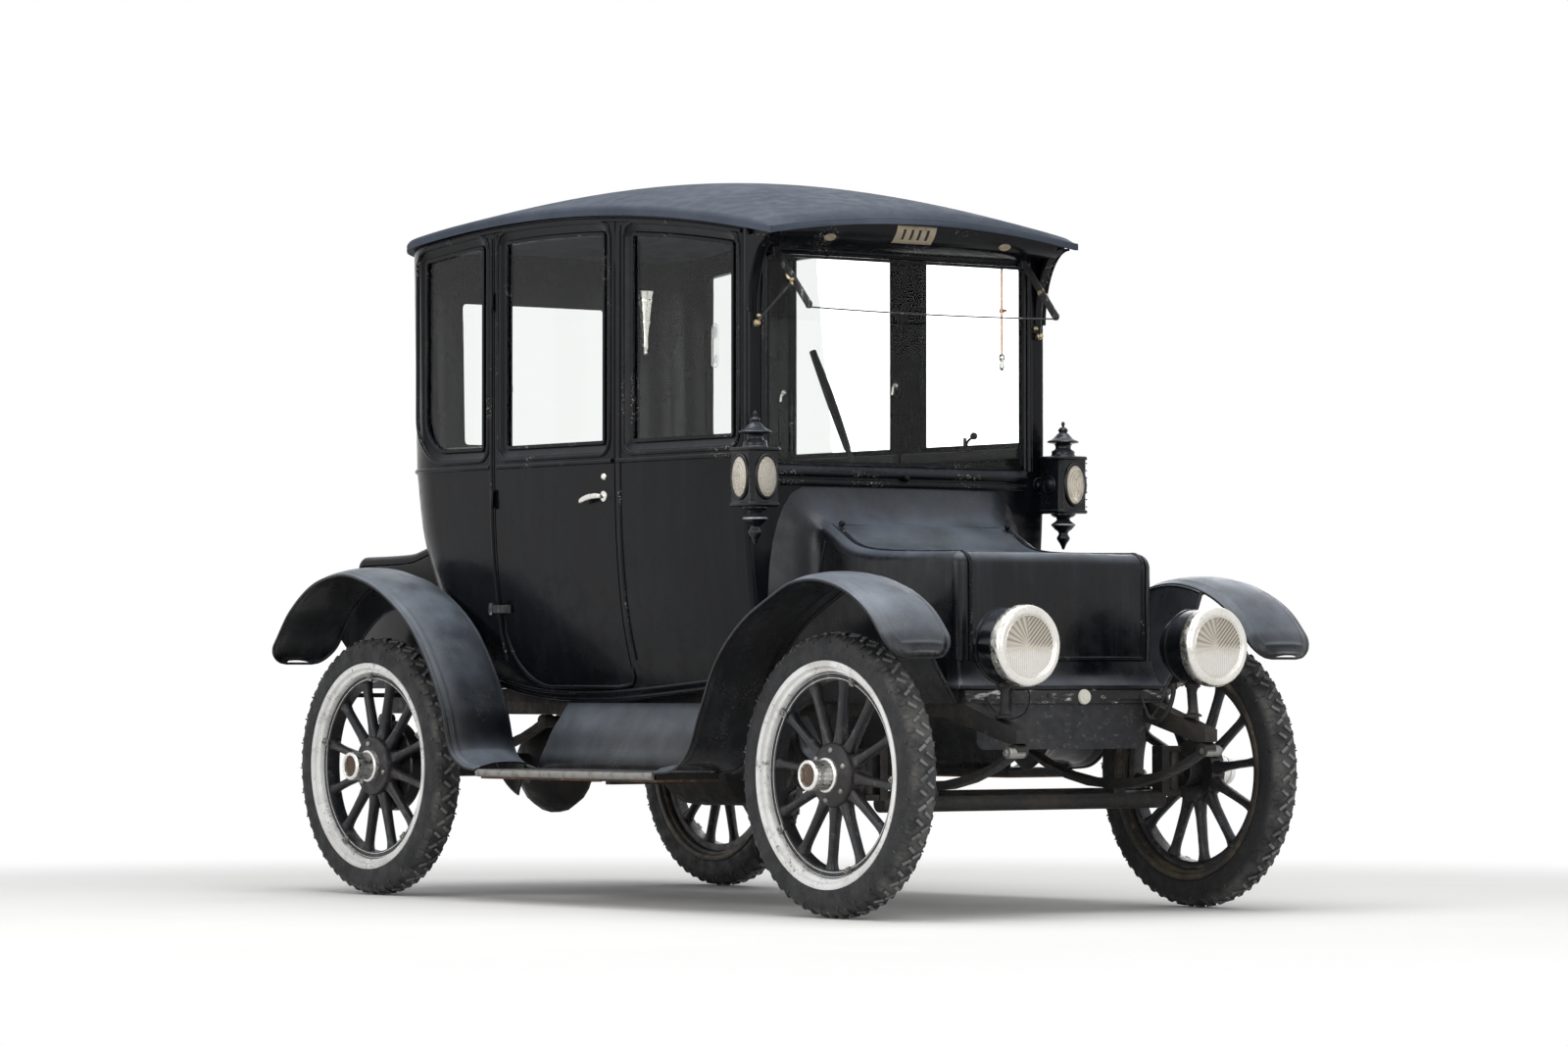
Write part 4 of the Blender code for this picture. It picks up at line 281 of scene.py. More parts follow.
    def own(self, name: str) -> bpy.types.NodeSocket:
        """The mesh's own value of that name."""
        return self.node("ShaderNodeAttribute", attribute_name=name).outputs["Fac"]

    def bump(self, height: bpy.types.NodeSocket, depth: float, strength: float = 1.0,
            under: bpy.types.NodeSocket | None = None) -> bpy.types.NodeSocket:
        """A bump of the given depth in metres, over another bump if given.

        Args:
            height: The height that makes the relief.
            depth: Depth of the relief, in metres.
            strength: Strength of the relief.
            under: A coarser relief below it.

        Returns:
            The node's output.
        """
        made = self.node("ShaderNodeBump")
        self.feed(made.inputs["Height"], height)
        made.inputs["Distance"].default_value = depth
        made.inputs["Strength"].default_value = strength
        if under is not None:
            self.feed(made.inputs["Normal"], under)
        return made.outputs[0]


@dataclass(frozen=True)
class Enamel:
    """Old black enamel: glossy where clean, filmed with dust and chipped; faces that look up turn pale blue-grey,
    partly settled dust and partly painted sky reflection.
    """

    colour: Colour = (0.0026, 0.003, 0.0042)
    film: Colour = (0.04, 0.045, 0.056)
    film_share: float = 0.1
    # pale blue-grey on upward faces: partly settled dust, partly painted sky reflection
    dust_and_sky_sheen: Colour = (0.135, 0.155, 0.19)
    dust_and_sky_sheen_share: float = 0.45
    gloss: float = 0.15
    dull: float = 0.34
    chips: float = 0.0
    chip_colour: Colour = (0.42, 0.41, 0.38)
    specular: float = 0.13

    def build(self, name: str) -> bpy.types.Material:
        """Make the material.

        Args:
            name: Name of the material.

        Returns:
            The material.
        """
        g = Graph(name)
        cloud = g.noise(3.1, 6, 0.6)
        streak = g.noise(1.0, 5, 0.65, g.stretch((26, 26, 2.2)))
        dusty = g.level(g.math("MULTIPLY", cloud, streak), 0.18, 0.46, 0.0, self.film_share)
        tone = g.mix(dusty, self.colour, self.film)
        speck = g.math("MULTIPLY", g.level(g.noise(420, 2), 0.66, 0.7), g.level(g.noise(9, 3), 0.5, 0.62))
        tone = g.mix(g.math("MULTIPLY", speck, 0.4), tone, self.film)
        # upward faces turn pale blue-grey, partly settled dust and partly painted sky reflection; the same mask also
        # roughens them
        patch = g.math("MULTIPLY", g.upward(0.2, 0.98), g.level(g.noise(5.5, 6, 0.62), 0.28, 0.72, 0.4, 1.0))
        dust_and_sky_sheen = g.math("MULTIPLY", patch, self.dust_and_sky_sheen_share)
        tone = g.mix(dust_and_sky_sheen, tone, self.dust_and_sky_sheen)
        if self.chips:
            worn = g.math("MULTIPLY", g.level(g.noise(150, 5, 0.7), 0.57, 0.61), g.level(g.noise(6.5, 3), 0.54,
                0.68))
            tone = g.mix(g.math("MULTIPLY", worn, self.chips), tone, self.chip_colour)
        rough = g.math("ADD", g.level(g.noise(14, 6, 0.6), 0.3, 0.75, self.gloss, self.dull),
            g.math("MULTIPLY", dust_and_sky_sheen, 0.25))
        ripple = g.bump(g.noise(5.0, 2), 0.004, 0.22)
        grain = g.bump(g.noise(260, 2), 0.0002, 0.3, ripple)
        g.set(Base_Color=tone, Roughness=rough, Normal=grain, Specular_IOR_Level=self.specular,
            Coat_Weight=0.05, Coat_Roughness=0.08)
        return g.material


@dataclass(frozen=True)
class CoatedFabric:
    """Grained black coated cloth of the roof."""

    colour: Colour = (0.04, 0.049, 0.066)
    pale: Colour = (0.072, 0.086, 0.112)

    def build(self, name: str) -> bpy.types.Material:
        """Make the material.

        Args:
            name: Name of the material.

        Returns:
            The material.
        """
        g = Graph(name)
        grain = g.cells(430)
        wrinkle = g.noise(900, 3, 0.6)
        worn = g.level(g.noise(2.6, 7, 0.62), 0.25, 0.8)
        tone = g.mix(g.math("MULTIPLY", worn, 0.8), self.colour, self.pale)
        tone = g.mix(g.level(g.noise(520, 2), 0.62, 0.75, 0.0, 0.35), tone, self.pale)
        height = g.math("MULTIPLY", grain, wrinkle)
        g.set(Base_Color=tone, Roughness=g.level(g.noise(20, 4), 0.3, 0.7, 0.58, 0.8),
            Normal=g.bump(height, 0.0011, 0.7, g.bump(g.noise(7, 3), 0.004, 0.3)), Specular_IOR_Level=0.15)
        return g.material


@dataclass(frozen=True)
class Rubber:
    """Black tyre rubber, dusty on the tread, with the tops of its bars pale: partly rubbed, partly painted highlight.
    """

    colour: Colour = (0.016, 0.0165, 0.018)
    dust: Colour = (0.15, 0.145, 0.135)
    scuff_and_highlight: Colour = (0.21, 0.215, 0.225)
    gloss: float = 0.48

    def build(self, name: str) -> bpy.types.Material:
        """Make the material; the mesh's value `lay` is 1 on the tread and 0 at the bead.

        Args:
            name: Name of the material.

        Returns:
            The material.
        """
        g = Graph(name)
        lay = g.own("lay")
        ring = g.level(lay, 0.5, 0.84)
        patch = g.level(g.noise(9, 6, 0.65), 0.38, 0.66)
        share = g.math("MULTIPLY", g.math("MULTIPLY", ring, patch), 0.55)
        fleck = g.math("MULTIPLY", g.level(g.noise(190, 4, 0.7), 0.6, 0.66), 0.35)
        tone = g.mix(share, self.colour, self.dust)
        tone = g.mix(fleck, tone, self.dust)
        # bar tops, where lay nears 1, turn pale: partly rubbed rubber, partly painted highlight
        top = g.math("MULTIPLY", g.level(lay, 0.9, 1.0), g.level(g.noise(14, 5, 0.65), 0.3, 0.62, 0.15, 0.85))
        tone = g.mix(top, tone, self.scuff_and_highlight)
        height = g.math("ADD", g.noise(240, 4), g.noise(30, 3))
        g.set(Base_Color=tone, Roughness=g.level(g.noise(24, 4), 0.3, 0.7, self.gloss, 0.8),
            Normal=g.bump(height, 0.0008, 0.5), Specular_IOR_Level=0.35)
        return g.material


@dataclass(frozen=True)
class Metal:
    """Plated or bare metal with tarnish and fine pitting."""

    colour: Colour = (0.78, 0.765, 0.72)
    tarnish: Colour = (0.36, 0.29, 0.2)
    tarnish_share: float = 0.3
    gloss: float = 0.17
    dull: float = 0.42
    metallic: float = 1.0

    def build(self, name: str) -> bpy.types.Material:
        """Make the material.

        Args:
            name: Name of the material.

        Returns:
            The material.
        """
        g = Graph(name)
        stain = g.level(g.noise(26, 7, 0.68), 0.46, 0.72, 0.0, self.tarnish_share)
        pits = g.level(g.noise(520, 3, 0.7), 0.62, 0.7, 0.0, self.tarnish_share)
        tone = g.mix(g.math("ADD", stain, pits), self.colour, self.tarnish)
        g.set(Base_Color=tone, Roughness=g.level(g.noise(60, 5), 0.32, 0.72, self.gloss, self.dull),
            Metallic=self.metallic, Normal=g.bump(g.noise(300, 4), 0.0003, 0.3))
        return g.material


@dataclass(frozen=True)
class WornPaint:
    """Paint over wood or iron, rubbed through to another colour, with road dirt."""

    colour: Colour = (0.014, 0.0145, 0.016)
    under: Colour = (0.2, 0.195, 0.19)
    dirt: Colour = (0.075, 0.055, 0.036)
    wear: float = 0.5
    dirt_share: float = 0.25
    gloss: float = 0.34
    grain: Spot = (30, 30, 30)
    metallic: float = 0.0
    chips: float = 0.0
    chip_colour: Colour = (0.045, 0.04, 0.034)

    def build(self, name: str) -> bpy.types.Material:
        """Make the material.

        Args:
            name: Name of the material.

        Returns:
            The material.
        """
        g = Graph(name)
        scuff = g.level(g.noise(1.0, 7, 0.7, g.stretch(self.grain)), 0.55, 0.68, 0.0, self.wear)
        soil = g.level(g.noise(7.0, 6, 0.62), 0.42, 0.68, 0.0, self.dirt_share)
        tone = g.mix(scuff, self.colour, self.under)
        tone = g.mix(soil, tone, self.dirt)
        if self.chips:
            chip = g.math("MULTIPLY", g.level(g.noise(75, 6, 0.72), 0.57, 0.6),
                g.level(g.noise(8, 3), 0.46, 0.6))
            tone = g.mix(g.math("MULTIPLY", chip, self.chips), tone, self.chip_colour)
        height = g.math("ADD", g.noise(180, 4), scuff)
        g.set(Base_Color=tone, Roughness=g.level(g.noise(30, 5), 0.3, 0.7, self.gloss, self.gloss + 0.34),
            Metallic=self.metallic, Normal=g.bump(height, 0.0006, 0.5), Specular_IOR_Level=0.4)
        return g.material


@dataclass(frozen=True)
class Rust:
    """Bare pans and trays, rusted brown with darker and paler blooms."""

    dark: Colour = (0.03, 0.017, 0.01)
    mid: Colour = (0.17, 0.08, 0.034)
    pale: Colour = (0.36, 0.23, 0.13)

    def build(self, name: str) -> bpy.types.Material:
        """Make the material.

        Args:
            name: Name of the material.

        Returns:
            The material.
        """
        g = Graph(name)
        bloom = g.level(g.noise(8, 8, 0.68), 0.34, 0.66)
        flake = g.level(g.noise(60, 6, 0.7), 0.54, 0.68)
        tone = g.mix(g.math("MULTIPLY", flake, 0.6), g.mix(bloom, self.dark, self.mid), self.pale)
        g.set(Base_Color=tone, Roughness=g.level(bloom, 0.0, 1.0, 0.7, 0.92), Metallic=0.0,
            Normal=g.bump(g.math("ADD", flake, g.noise(200, 5)), 0.0015, 0.6))
        return g.material


@dataclass(frozen=True)
class Pane:
    """Old window glass, faintly wavy, with a haze of dust and wiped streaks."""

    tint: Colour = (0.95, 0.965, 0.955)
    wave: float = 0.0008
    haze: float = 0.03

    def build(self, name: str) -> bpy.types.Material:
        """Make the material.

        Args:
            name: Name of the material.

        Returns:
            The material.
        """
        g = Graph(name)
        smear = g.level(g.noise(1.0, 6, 0.6, g.stretch((4, 4, 9))), 0.45, 0.75, 0.0, self.haze)
        g.set(Base_Color=g.mix(smear, self.tint, (0.72, 0.74, 0.73)), Roughness=smear, Transmission_Weight=1.0,
            IOR=1.18, Specular_IOR_Level=0.3, Normal=g.bump(g.noise(5.5, 2), self.wave, 0.5))
        return g.material


@dataclass(frozen=True)
class LampLens:
    """Pressed headlamp glass: clear over the flutes, which carry dark and pale bands of painted shade and highlight,
    frosted and dusty towards its value `lay` of 1.
    """

    # dark band across the flutes: painted shade
    groove_shade: Colour = (0.34, 0.285, 0.21)
    # pale band across the flutes: painted highlight
    ridge: Colour = (0.86, 0.79, 0.68)
    frost: Colour = (0.93, 0.91, 0.87)

    def build(self, name: str) -> bpy.types.Material:
        """Make the material; the mesh's value `lay` is 0 on a flute's dark band of painted shade, 0.5 on its pale band
        of painted highlight and 1 where frosted.

        Args:
            name: Name of the material.

        Returns:
            The material.
        """
        g = Graph(name)
        lay = g.own("lay")
        dust = g.level(g.noise(22, 6, 0.6), 0.36, 0.72, 0.02, 0.22)
        # flute bands of painted shade and highlight, mixed by lay
        fluted = g.mix(g.level(lay, 0.0, 0.5), self.groove_shade, self.ridge)
        g.set(Base_Color=g.mix(g.level(lay, 0.5, 1.0), fluted, self.frost), IOR=1.47,
            Roughness=g.math("ADD", dust, g.level(lay, 0.5, 1.0, 0.0, 0.3)), Transmission_Weight=g.level(lay,
            0.0, 1.0, 0.45, 0.15), Normal=g.bump(g.noise(90, 4), 0.0006, 0.5))
        return g.material


@dataclass(frozen=True)
class CarriageLens:
    """Bulged bevelled glass of a carriage lantern, yellowed and ringed."""

    tint: Colour = (0.96, 0.9, 0.8)
    stain: Colour = (0.7, 0.61, 0.46)

    def build(self, name: str) -> bpy.types.Material:
        """Make the material; the mesh's value `lay` runs from the rim, 0, to the middle, 1.

        Args:
            name: Name of the material.

        Returns:
            The material.
        """
        g = Graph(name)
        lay = g.own("lay")
        ringed = g.math("SINE", g.math("MULTIPLY", lay, 34.0))
        blotch = g.level(g.noise(34, 6, 0.65), 0.4, 0.68, 0.0, 0.75)
        g.set(Base_Color=g.mix(blotch, self.tint, self.stain), Roughness=g.level(blotch, 0.0, 1.0, 0.05, 0.42),
            Transmission_Weight=0.62, IOR=1.48, Normal=g.bump(ringed, 0.0009, 0.5, g.bump(g.noise(40, 3), 0.001,
            0.5)))
        return g.material


@dataclass(frozen=True)
class StripedCloth:
    """Woven seat cloth with narrow stripes, sun-bleached and a little soiled."""

    colour: Colour = (0.215, 0.215, 0.15)
    stripe: Colour = (0.36, 0.345, 0.26)
    soil: Colour = (0.12, 0.11, 0.08)
    pitch: float = 62.0

    def build(self, name: str) -> bpy.types.Material:
        """Make the material; stripes run along the height and the length.

        Args:
            name: Name of the material.

        Returns:
            The material.
        """
        g = Graph(name)
        band = g.level(g.waves(self.pitch / 6.28, 0.25, g.stretch((6.28, 0, 0)), "X"), 0.42, 0.66)
        thin = g.level(g.waves(self.pitch / 2.1, 0.1, g.stretch((6.28, 0, 0)), "X"), 0.55, 0.8)
        tone = g.mix(g.math("MULTIPLY", band, 0.75), self.colour, self.stripe)
        tone = g.mix(g.math("MULTIPLY", thin, 0.3), tone, self.soil)
        tone = g.mix(g.level(g.noise(5, 6, 0.6), 0.42, 0.72, 0.0, 0.5), tone, self.soil)
        weave = g.math("MULTIPLY", g.waves(210, 0.6, g.stretch((6.28, 6.28, 0))),
            g.waves(210, 0.6, g.stretch((0, 6.28, 6.28)), "Z"))
        g.set(Base_Color=tone, Roughness=0.93, Sheen_Weight=0.25, Sheen_Roughness=0.5,
            Normal=g.bump(g.math("ADD", weave, g.noise(330, 3)), 0.0008, 0.6), Specular_IOR_Level=0.25)
        return g.material


@dataclass(frozen=True)
class PlainCloth:
    """Dark cloth, carpet or leather: one colour with nap and wear."""

    colour: Colour = (0.02, 0.024, 0.022)
    pale: Colour = (0.055, 0.06, 0.054)
    nap: float = 420.0
    rough: float = 0.9

    def build(self, name: str) -> bpy.types.Material:
        """Make the material.

        Args:
            name: Name of the material.

        Returns:
            The material.
        """
        g = Graph(name)
        tone = g.mix(g.level(g.noise(6, 6, 0.6), 0.38, 0.72, 0.0, 0.8), self.colour, self.pale)
        tone = g.mix(g.level(g.noise(self.nap, 3), 0.5, 0.75, 0.0, 0.4), tone, self.pale)
        g.set(Base_Color=tone, Roughness=self.rough, Sheen_Weight=0.12, Normal=g.bump(g.noise(self.nap, 4),
            0.0012, 0.6), Specular_IOR_Level=0.25)
        return g.material


@dataclass(frozen=True)
class Ground:
    """Plain pale floor that keeps the car's shadow and turns to the white backdrop further out."""

    colour: Colour = (0.83, 0.82, 0.8)
    stain: Colour = (0.79, 0.78, 0.76)
    near: float = 2.7
    far: float = 5.2

    def build(self, name: str) -> bpy.types.Material:
        """Make the material.

        Args:
            name: Name of the material.

        Returns:
            The material.
        """
        g = Graph(name)
        tone = g.mix(g.level(g.noise(1.6, 6, 0.6), 0.3, 0.7, 0.0, 0.5), self.colour, self.stain)
        g.set(Base_Color=tone, Roughness=0.9, Specular_IOR_Level=0.1, Normal=g.bump(g.noise(120, 4), 0.001,
            0.2))
        reach = g.node("ShaderNodeVectorMath", operation="LENGTH")
        g.feed(reach.inputs[0], g.place)
        path = g.node("ShaderNodeLightPath").outputs
        seen = g.math("ADD", g.math("ADD", path["Is Camera Ray"], path["Is Glossy Ray"]),
            path["Is Transmission Ray"])
        white = g.node("ShaderNodeEmission")
        blend = g.node("ShaderNodeMixShader")
        g.feed(blend.inputs[0], g.math("MULTIPLY", g.level(reach.outputs["Value"], self.near, self.far), seen))
        g.feed(blend.inputs[1], g.shader.outputs[0])
        g.feed(blend.inputs[2], white.outputs[0])
        g.feed(g.tree.nodes["Material Output"].inputs["Surface"], blend.outputs[0])
        return g.material


class Look(Enum):
    """Every finish on the car."""

    BODY = Enamel()
    # the pale blue-grey on upward faces is partly settled dust and partly painted sky reflection, strongest on fenders
    # and hood
    TRIM = Enamel(chips=0.7, gloss=0.13, dull=0.3, film_share=0.1, dust_and_sky_sheen_share=0.22)
    FENDER = Enamel(colour=(0.005, 0.0055, 0.007), film=(0.06, 0.067, 0.08), film_share=0.3,
        dust_and_sky_sheen=(0.205, 0.235, 0.28), dust_and_sky_sheen_share=0.85, gloss=0.24, dull=0.44, chips=0.2, specular=0.3)
    HOOD = Enamel(film_share=0.36, dust_and_sky_sheen=(0.15, 0.175, 0.215), dust_and_sky_sheen_share=0.75, gloss=0.2, dull=0.42,
        specular=0.26)
    LAMP = Enamel(film_share=0.12, gloss=0.11, dull=0.26, chips=0.15, dust_and_sky_sheen_share=0.35, specular=0.3)
    ROOF = CoatedFabric()
    TYRE = Rubber()
    RIM = WornPaint(colour=(0.8, 0.8, 0.785), under=(0.36, 0.345, 0.32), dirt=(0.17, 0.12, 0.075), wear=0.55,
        dirt_share=0.34, gloss=0.28, grain=(16, 16, 16), chips=0.85)
    RIM_BACK = WornPaint(colour=(0.03, 0.027, 0.023), under=(0.2, 0.15, 0.095), dirt=(0.16, 0.12, 0.075),
        wear=0.5, dirt_share=0.6)
    SPOKE = WornPaint(colour=(0.013, 0.014, 0.017), under=(0.12, 0.122, 0.13), wear=0.55, dirt_share=0.18,
        gloss=0.24, grain=(22, 22, 22))
    HUB = WornPaint(colour=(0.01, 0.01, 0.012), under=(0.07, 0.07, 0.075), wear=0.35, dirt_share=0.15,
        gloss=0.26)
    NICKEL = Metal()
    CAP = Metal(colour=(0.84, 0.83, 0.8), tarnish=(0.5, 0.46, 0.4), tarnish_share=0.25, gloss=0.2, dull=0.45)
    BRASS = Metal(colour=(0.52, 0.42, 0.26), tarnish=(0.16, 0.12, 0.07), tarnish_share=0.6, gloss=0.3,
        dull=0.55)
    COPPER = Metal(colour=(0.6, 0.34, 0.22), tarnish=(0.2, 0.11, 0.07), tarnish_share=0.5, gloss=0.24,
        dull=0.45)
    STEEL = Metal(colour=(0.3, 0.295, 0.285), tarnish=(0.1, 0.075, 0.05), tarnish_share=0.7, gloss=0.38,
        dull=0.6)
    STAY = WornPaint(colour=(0.02, 0.021, 0.024), under=(0.42, 0.42, 0.43), wear=0.85, dirt_share=0.2,
        gloss=0.36, grain=(55, 55, 20))
    REFLECTOR = Metal(colour=(0.96, 0.95, 0.92), tarnish=(0.8, 0.76, 0.66), tarnish_share=0.3, gloss=0.1,
        dull=0.26)
    IRON = WornPaint(colour=(0.011, 0.0108, 0.0108), under=(0.075, 0.07, 0.064), dirt=(0.06, 0.046, 0.033),
        wear=0.5, dirt_share=0.42, gloss=0.42)
    RUST = Rust()
    BELLY = WornPaint(colour=(0.06, 0.045, 0.033), under=(0.19, 0.165, 0.14), dirt=(0.15, 0.082, 0.04),
        wear=0.7, dirt_share=0.7, gloss=0.5, grain=(9, 9, 9), chips=0.6)
    PLATE = WornPaint(colour=(0.022, 0.023, 0.026), under=(0.26, 0.24, 0.22), dirt=(0.06, 0.055, 0.05),
        wear=0.28, dirt_share=0.3, gloss=0.5, grain=(40, 40, 70))
    BAR = WornPaint(colour=(0.012, 0.0125, 0.014), under=(0.7, 0.7, 0.68), dirt=(0.05, 0.045, 0.04), wear=0.9,
        dirt_share=0.25, gloss=0.32, grain=(14, 14, 42))
    VENT = WornPaint(colour=(0.36, 0.3, 0.215), under=(0.15, 0.11, 0.07), dirt=(0.12, 0.09, 0.06), wear=0.6,
        dirt_share=0.25, gloss=0.42, metallic=0.3)
    IVORY = WornPaint(colour=(0.72, 0.71, 0.62), under=(0.42, 0.38, 0.28), dirt=(0.3, 0.26, 0.18), wear=0.3)
    GRIP = PlainCloth(colour=(0.006, 0.006, 0.007), pale=(0.024, 0.024, 0.025), nap=300, rough=0.5)
    GLASS = Pane()
    ETCHED = Pane(tint=(0.93, 0.94, 0.93), wave=0.001, haze=0.55)
    HEAD_LENS = LampLens()
    LENS = CarriageLens()
    CLOTH = StripedCloth()
    LINING = PlainCloth()
    CARPET = PlainCloth(colour=(0.03, 0.028, 0.026), pale=(0.075, 0.068, 0.06), nap=260)
    BOARD = PlainCloth(colour=(0.012, 0.012, 0.0125), pale=(0.045, 0.043, 0.041), nap=180, rough=0.7)
    LEAD = PlainCloth(colour=(0.022, 0.021, 0.02), pale=(0.06, 0.055, 0.05), nap=90, rough=0.6)
    FLOOR = Ground()

    def material(self) -> bpy.types.Material:
        """The finish's material, made once."""
        name = f"{self.name.lower()}_finish"
        return bpy.data.materials.get(name) or self.value.build(name)


# Shapes


def smooth_line(points: Sequence[Spot], steps: int, looped: bool = False) -> list[Vector]:
    """A rounded line through points.

    Args:
        points: The points, two or three numbers each.
        steps: Stretches between two points.
        looped: Whether the last point leads back to the first.

    Returns:
        The line's points; it starts on the first point and ends on the last.
    """
    known = [Vector(point) for point in points]
    count = len(known)
    spans = count if looped else count - 1
    line = []
    for index in range(spans):
        around = [known[(index + step) % count] if looped else known[min(max(index + step, 0),
            count - 1)] for step in (-1, 0, 1, 2)]
        before, start, end, after = around
        knot = max((end - start).length, 1e-9)
        left = (end - before) * (knot / max(((start - before).length + knot), 1e-9))
        right = (after - start) * (knot / max(((after - end).length + knot), 1e-9))
        for step in range(steps):
            t = step / steps
            line.append(start * (2 * t ** 3 - 3 * t ** 2 + 1) + left * (t ** 3 - 2 * t ** 2 + t) + end *
                (3 * t ** 2 - 2 * t ** 3) + right * (t ** 3 - t ** 2))
    return line if looped else line + [known[-1]]


def arc(centre: Spot, reach: Spot, start: float, end: float, steps: int) -> list[tuple[float, float]]:
    """Points on part of an ellipse, from one angle to another in degrees."""
    turns = [radians(start + (end - start) * index / steps) for index in range(steps + 1)]
    return [(centre[0] + reach[0] * cos(turn), centre[1] + reach[1] * sin(turn)) for turn in turns]


def half_round(width: float, height: float, steps: int = 8) -> list[tuple[float, float]]:
    """Section of a raised bead that sinks a little into what it lies on."""
    return [(width / 2, -height / 2), *arc((0, 0), (width / 2, height), 0, 180, steps),
        (-width / 2, -height / 2)]


class Shape:
    """Points and faces that grow piece by piece and become one mesh."""

    def __init__(self) -> None:
        """Start empty."""
        self.points: list[Vector] = []
        self.faces: list[tuple[int, ...]] = []
        self.lay: list[float] = []

    def add(self, points: Iterable[Spot], faces: Iterable[Sequence[int]], lay: Sequence[float] = ()) -> "Shape":
        """Add points with faces that count from the first of them.

        Args:
            points: Places of the vertices.
            faces: Vertex numbers of each face.
            lay: Value of each vertex.

        Returns:
            This shape, for the next call.
        """
        start = len(self.points)
        fresh = [Vector(point) for point in points]
        self.points += fresh
        self.lay += list(lay) if lay else [0.0] * len(fresh)
        self.faces += [tuple(start + index for index in face) for face in faces]
        return self

    def skin(self, rows: Sequence[Sequence[Spot]], closed: bool = True, looped: bool = False,
            capped: bool = True, lay: Sequence[float] = ()) -> "Shape":
        """Lay faces between rows of equal length.

        Args:
            rows: The rows of points.
            closed: Whether each row closes on itself.
            looped: Whether the last row joins the first.
            capped: Whether the end rows get a face, where the rows don't loop.
            lay: One value for each row.

        Returns:
            The shape itself.
        """
        count, width = len(rows), len(rows[0])
        faces: list[tuple[int, ...]] = []
        for row in range(count if looped else count - 1):
            after = (row + 1) % count
            for index in range(width if closed else width - 1):
                side = (index + 1) % width
                faces.append((row * width + index, row * width + side, after * width + side,
                    after * width + index))
        if capped and closed and not looped:
            faces.append(tuple(reversed(range(width))))
            faces.append(tuple(range((count - 1) * width, count * width)))
        values = [lay[row] for row in range(count) for _ in range(width)] if lay else ()
        return self.add([point for row in rows for point in row], faces, values)

    def box(self, low: Spot, high: Spot) -> "Shape":
        """Add a box between two corners.

        Args:
            low: Lowest corner.
            high: Highest corner.

        Returns:
            This shape, for the next call.
        """
        rows = [[(x, y, z) for x, y in ((low[0], low[1]), (high[0], low[1]), (high[0], high[1]),
            (low[0], high[1]))] for z in (low[2], high[2])]
        return self.skin(rows)

    def turned(self, profile: Sequence[Spot], at: Spot = (0, 0, 0), axis: Spot = (0, 0, 1), segments: int = 48,
            looped: bool = False, lay: Sequence[float] = ()) -> "Shape":
        """Turn a profile of radius and height about an axis.

        Args:
            profile: Radius and height of each point.
            at: Where height 0 lies.
            axis: Direction of growing height.
            segments: Steps round the axis.
            looped: Whether the profile closes on itself, as on a ring.
            lay: One value for each profile point.

        Returns:
            The shape itself.
        """
        turn = Vector(axis).to_track_quat("Z", "Y").to_matrix()
        rows = []
        for radius, height in profile:
            rows.append([Vector(at) + turn @ Vector((radius * cos(2 * pi * step / segments),
                radius * sin(2 * pi * step / segments), height)) for step in range(segments)])
        return self.skin(rows, True, looped, True, lay)

    def sweep(self, path: Sequence[Spot], section: Sequence[Spot], ups: Sequence[Spot] | Spot,
            looped: bool = False, sizes: Callable[[float], float] | None = None) -> "Shape":
        """Carry a closed section along a path.

        Args:
            path: The path's points.
            section: Points as offset across and offset up.
            ups: Upward direction, one for all or one for each point.
            looped: Whether the path closes on itself.
            sizes: Scale of the section by share of the path.

        Returns:
            The shape itself.
        """
        line = [Vector(point) for point in path]
        last = len(line) - 1
        each = [Vector(ups)] * len(line) if isinstance(ups[0], (int, float)) else [Vector(up) for up in ups]
        rows = []
        for index, point in enumerate(line):
            before = line[(index - 1) % len(line)] if looped else line[max(index - 1, 0)]
            after = line[(index + 1) % len(line)] if looped else line[min(index + 1, last)]
            way = (after - before).normalized()
            side = way.cross(each[index]).normalized()
            up = side.cross(way).normalized()
            size = sizes(index / last) if sizes else 1.0
            rows.append([point + side * across * size + up * rise * size for across, rise in section])
        return self.skin(rows, True, looped)

    def rod(self, path: Sequence[Spot], radius: float, sides: int = 12, looped: bool = False,
            sizes: Callable[[float], float] | None = None) -> "Shape":
        """Add a round bar along a path.

        Args:
            path: Points along the middle.
            radius: Radius, in metres.
            sides: Points round the section.
            looped: Whether it closes on itself.
            sizes: Scale along the path.

        Returns:
            This shape, for the next call.
        """
        way = (Vector(path[1]) - Vector(path[0])).normalized()
        up = Vector((0.13, 0.21, 1)) if abs(way.z) < 0.75 else Vector((1, 0.17, 0.11))
        ring = [(radius * cos(2 * pi * step / sides),
            radius * sin(2 * pi * step / sides)) for step in range(sides)]
        return self.sweep(path, ring, up, looped, sizes)

    def joined(self, other: "Shape") -> "Shape":
        """Add another shape."""
        return self.add(other.points, other.faces, other.lay)

    def moved(self, matrix: Matrix) -> "Shape":
        """A copy carried by a matrix."""
        made = Shape()
        return made.add([matrix @ point for point in self.points], self.faces, self.lay)

    def mirrored(self) -> "Shape":
        """A copy on the other side of the car."""
        return self.moved(Matrix.Diagonal((-1, 1, 1, 1)))

    def both(self) -> "Shape":
        """The shape with its copy on the other side."""
        return self.mirrored().joined(self)

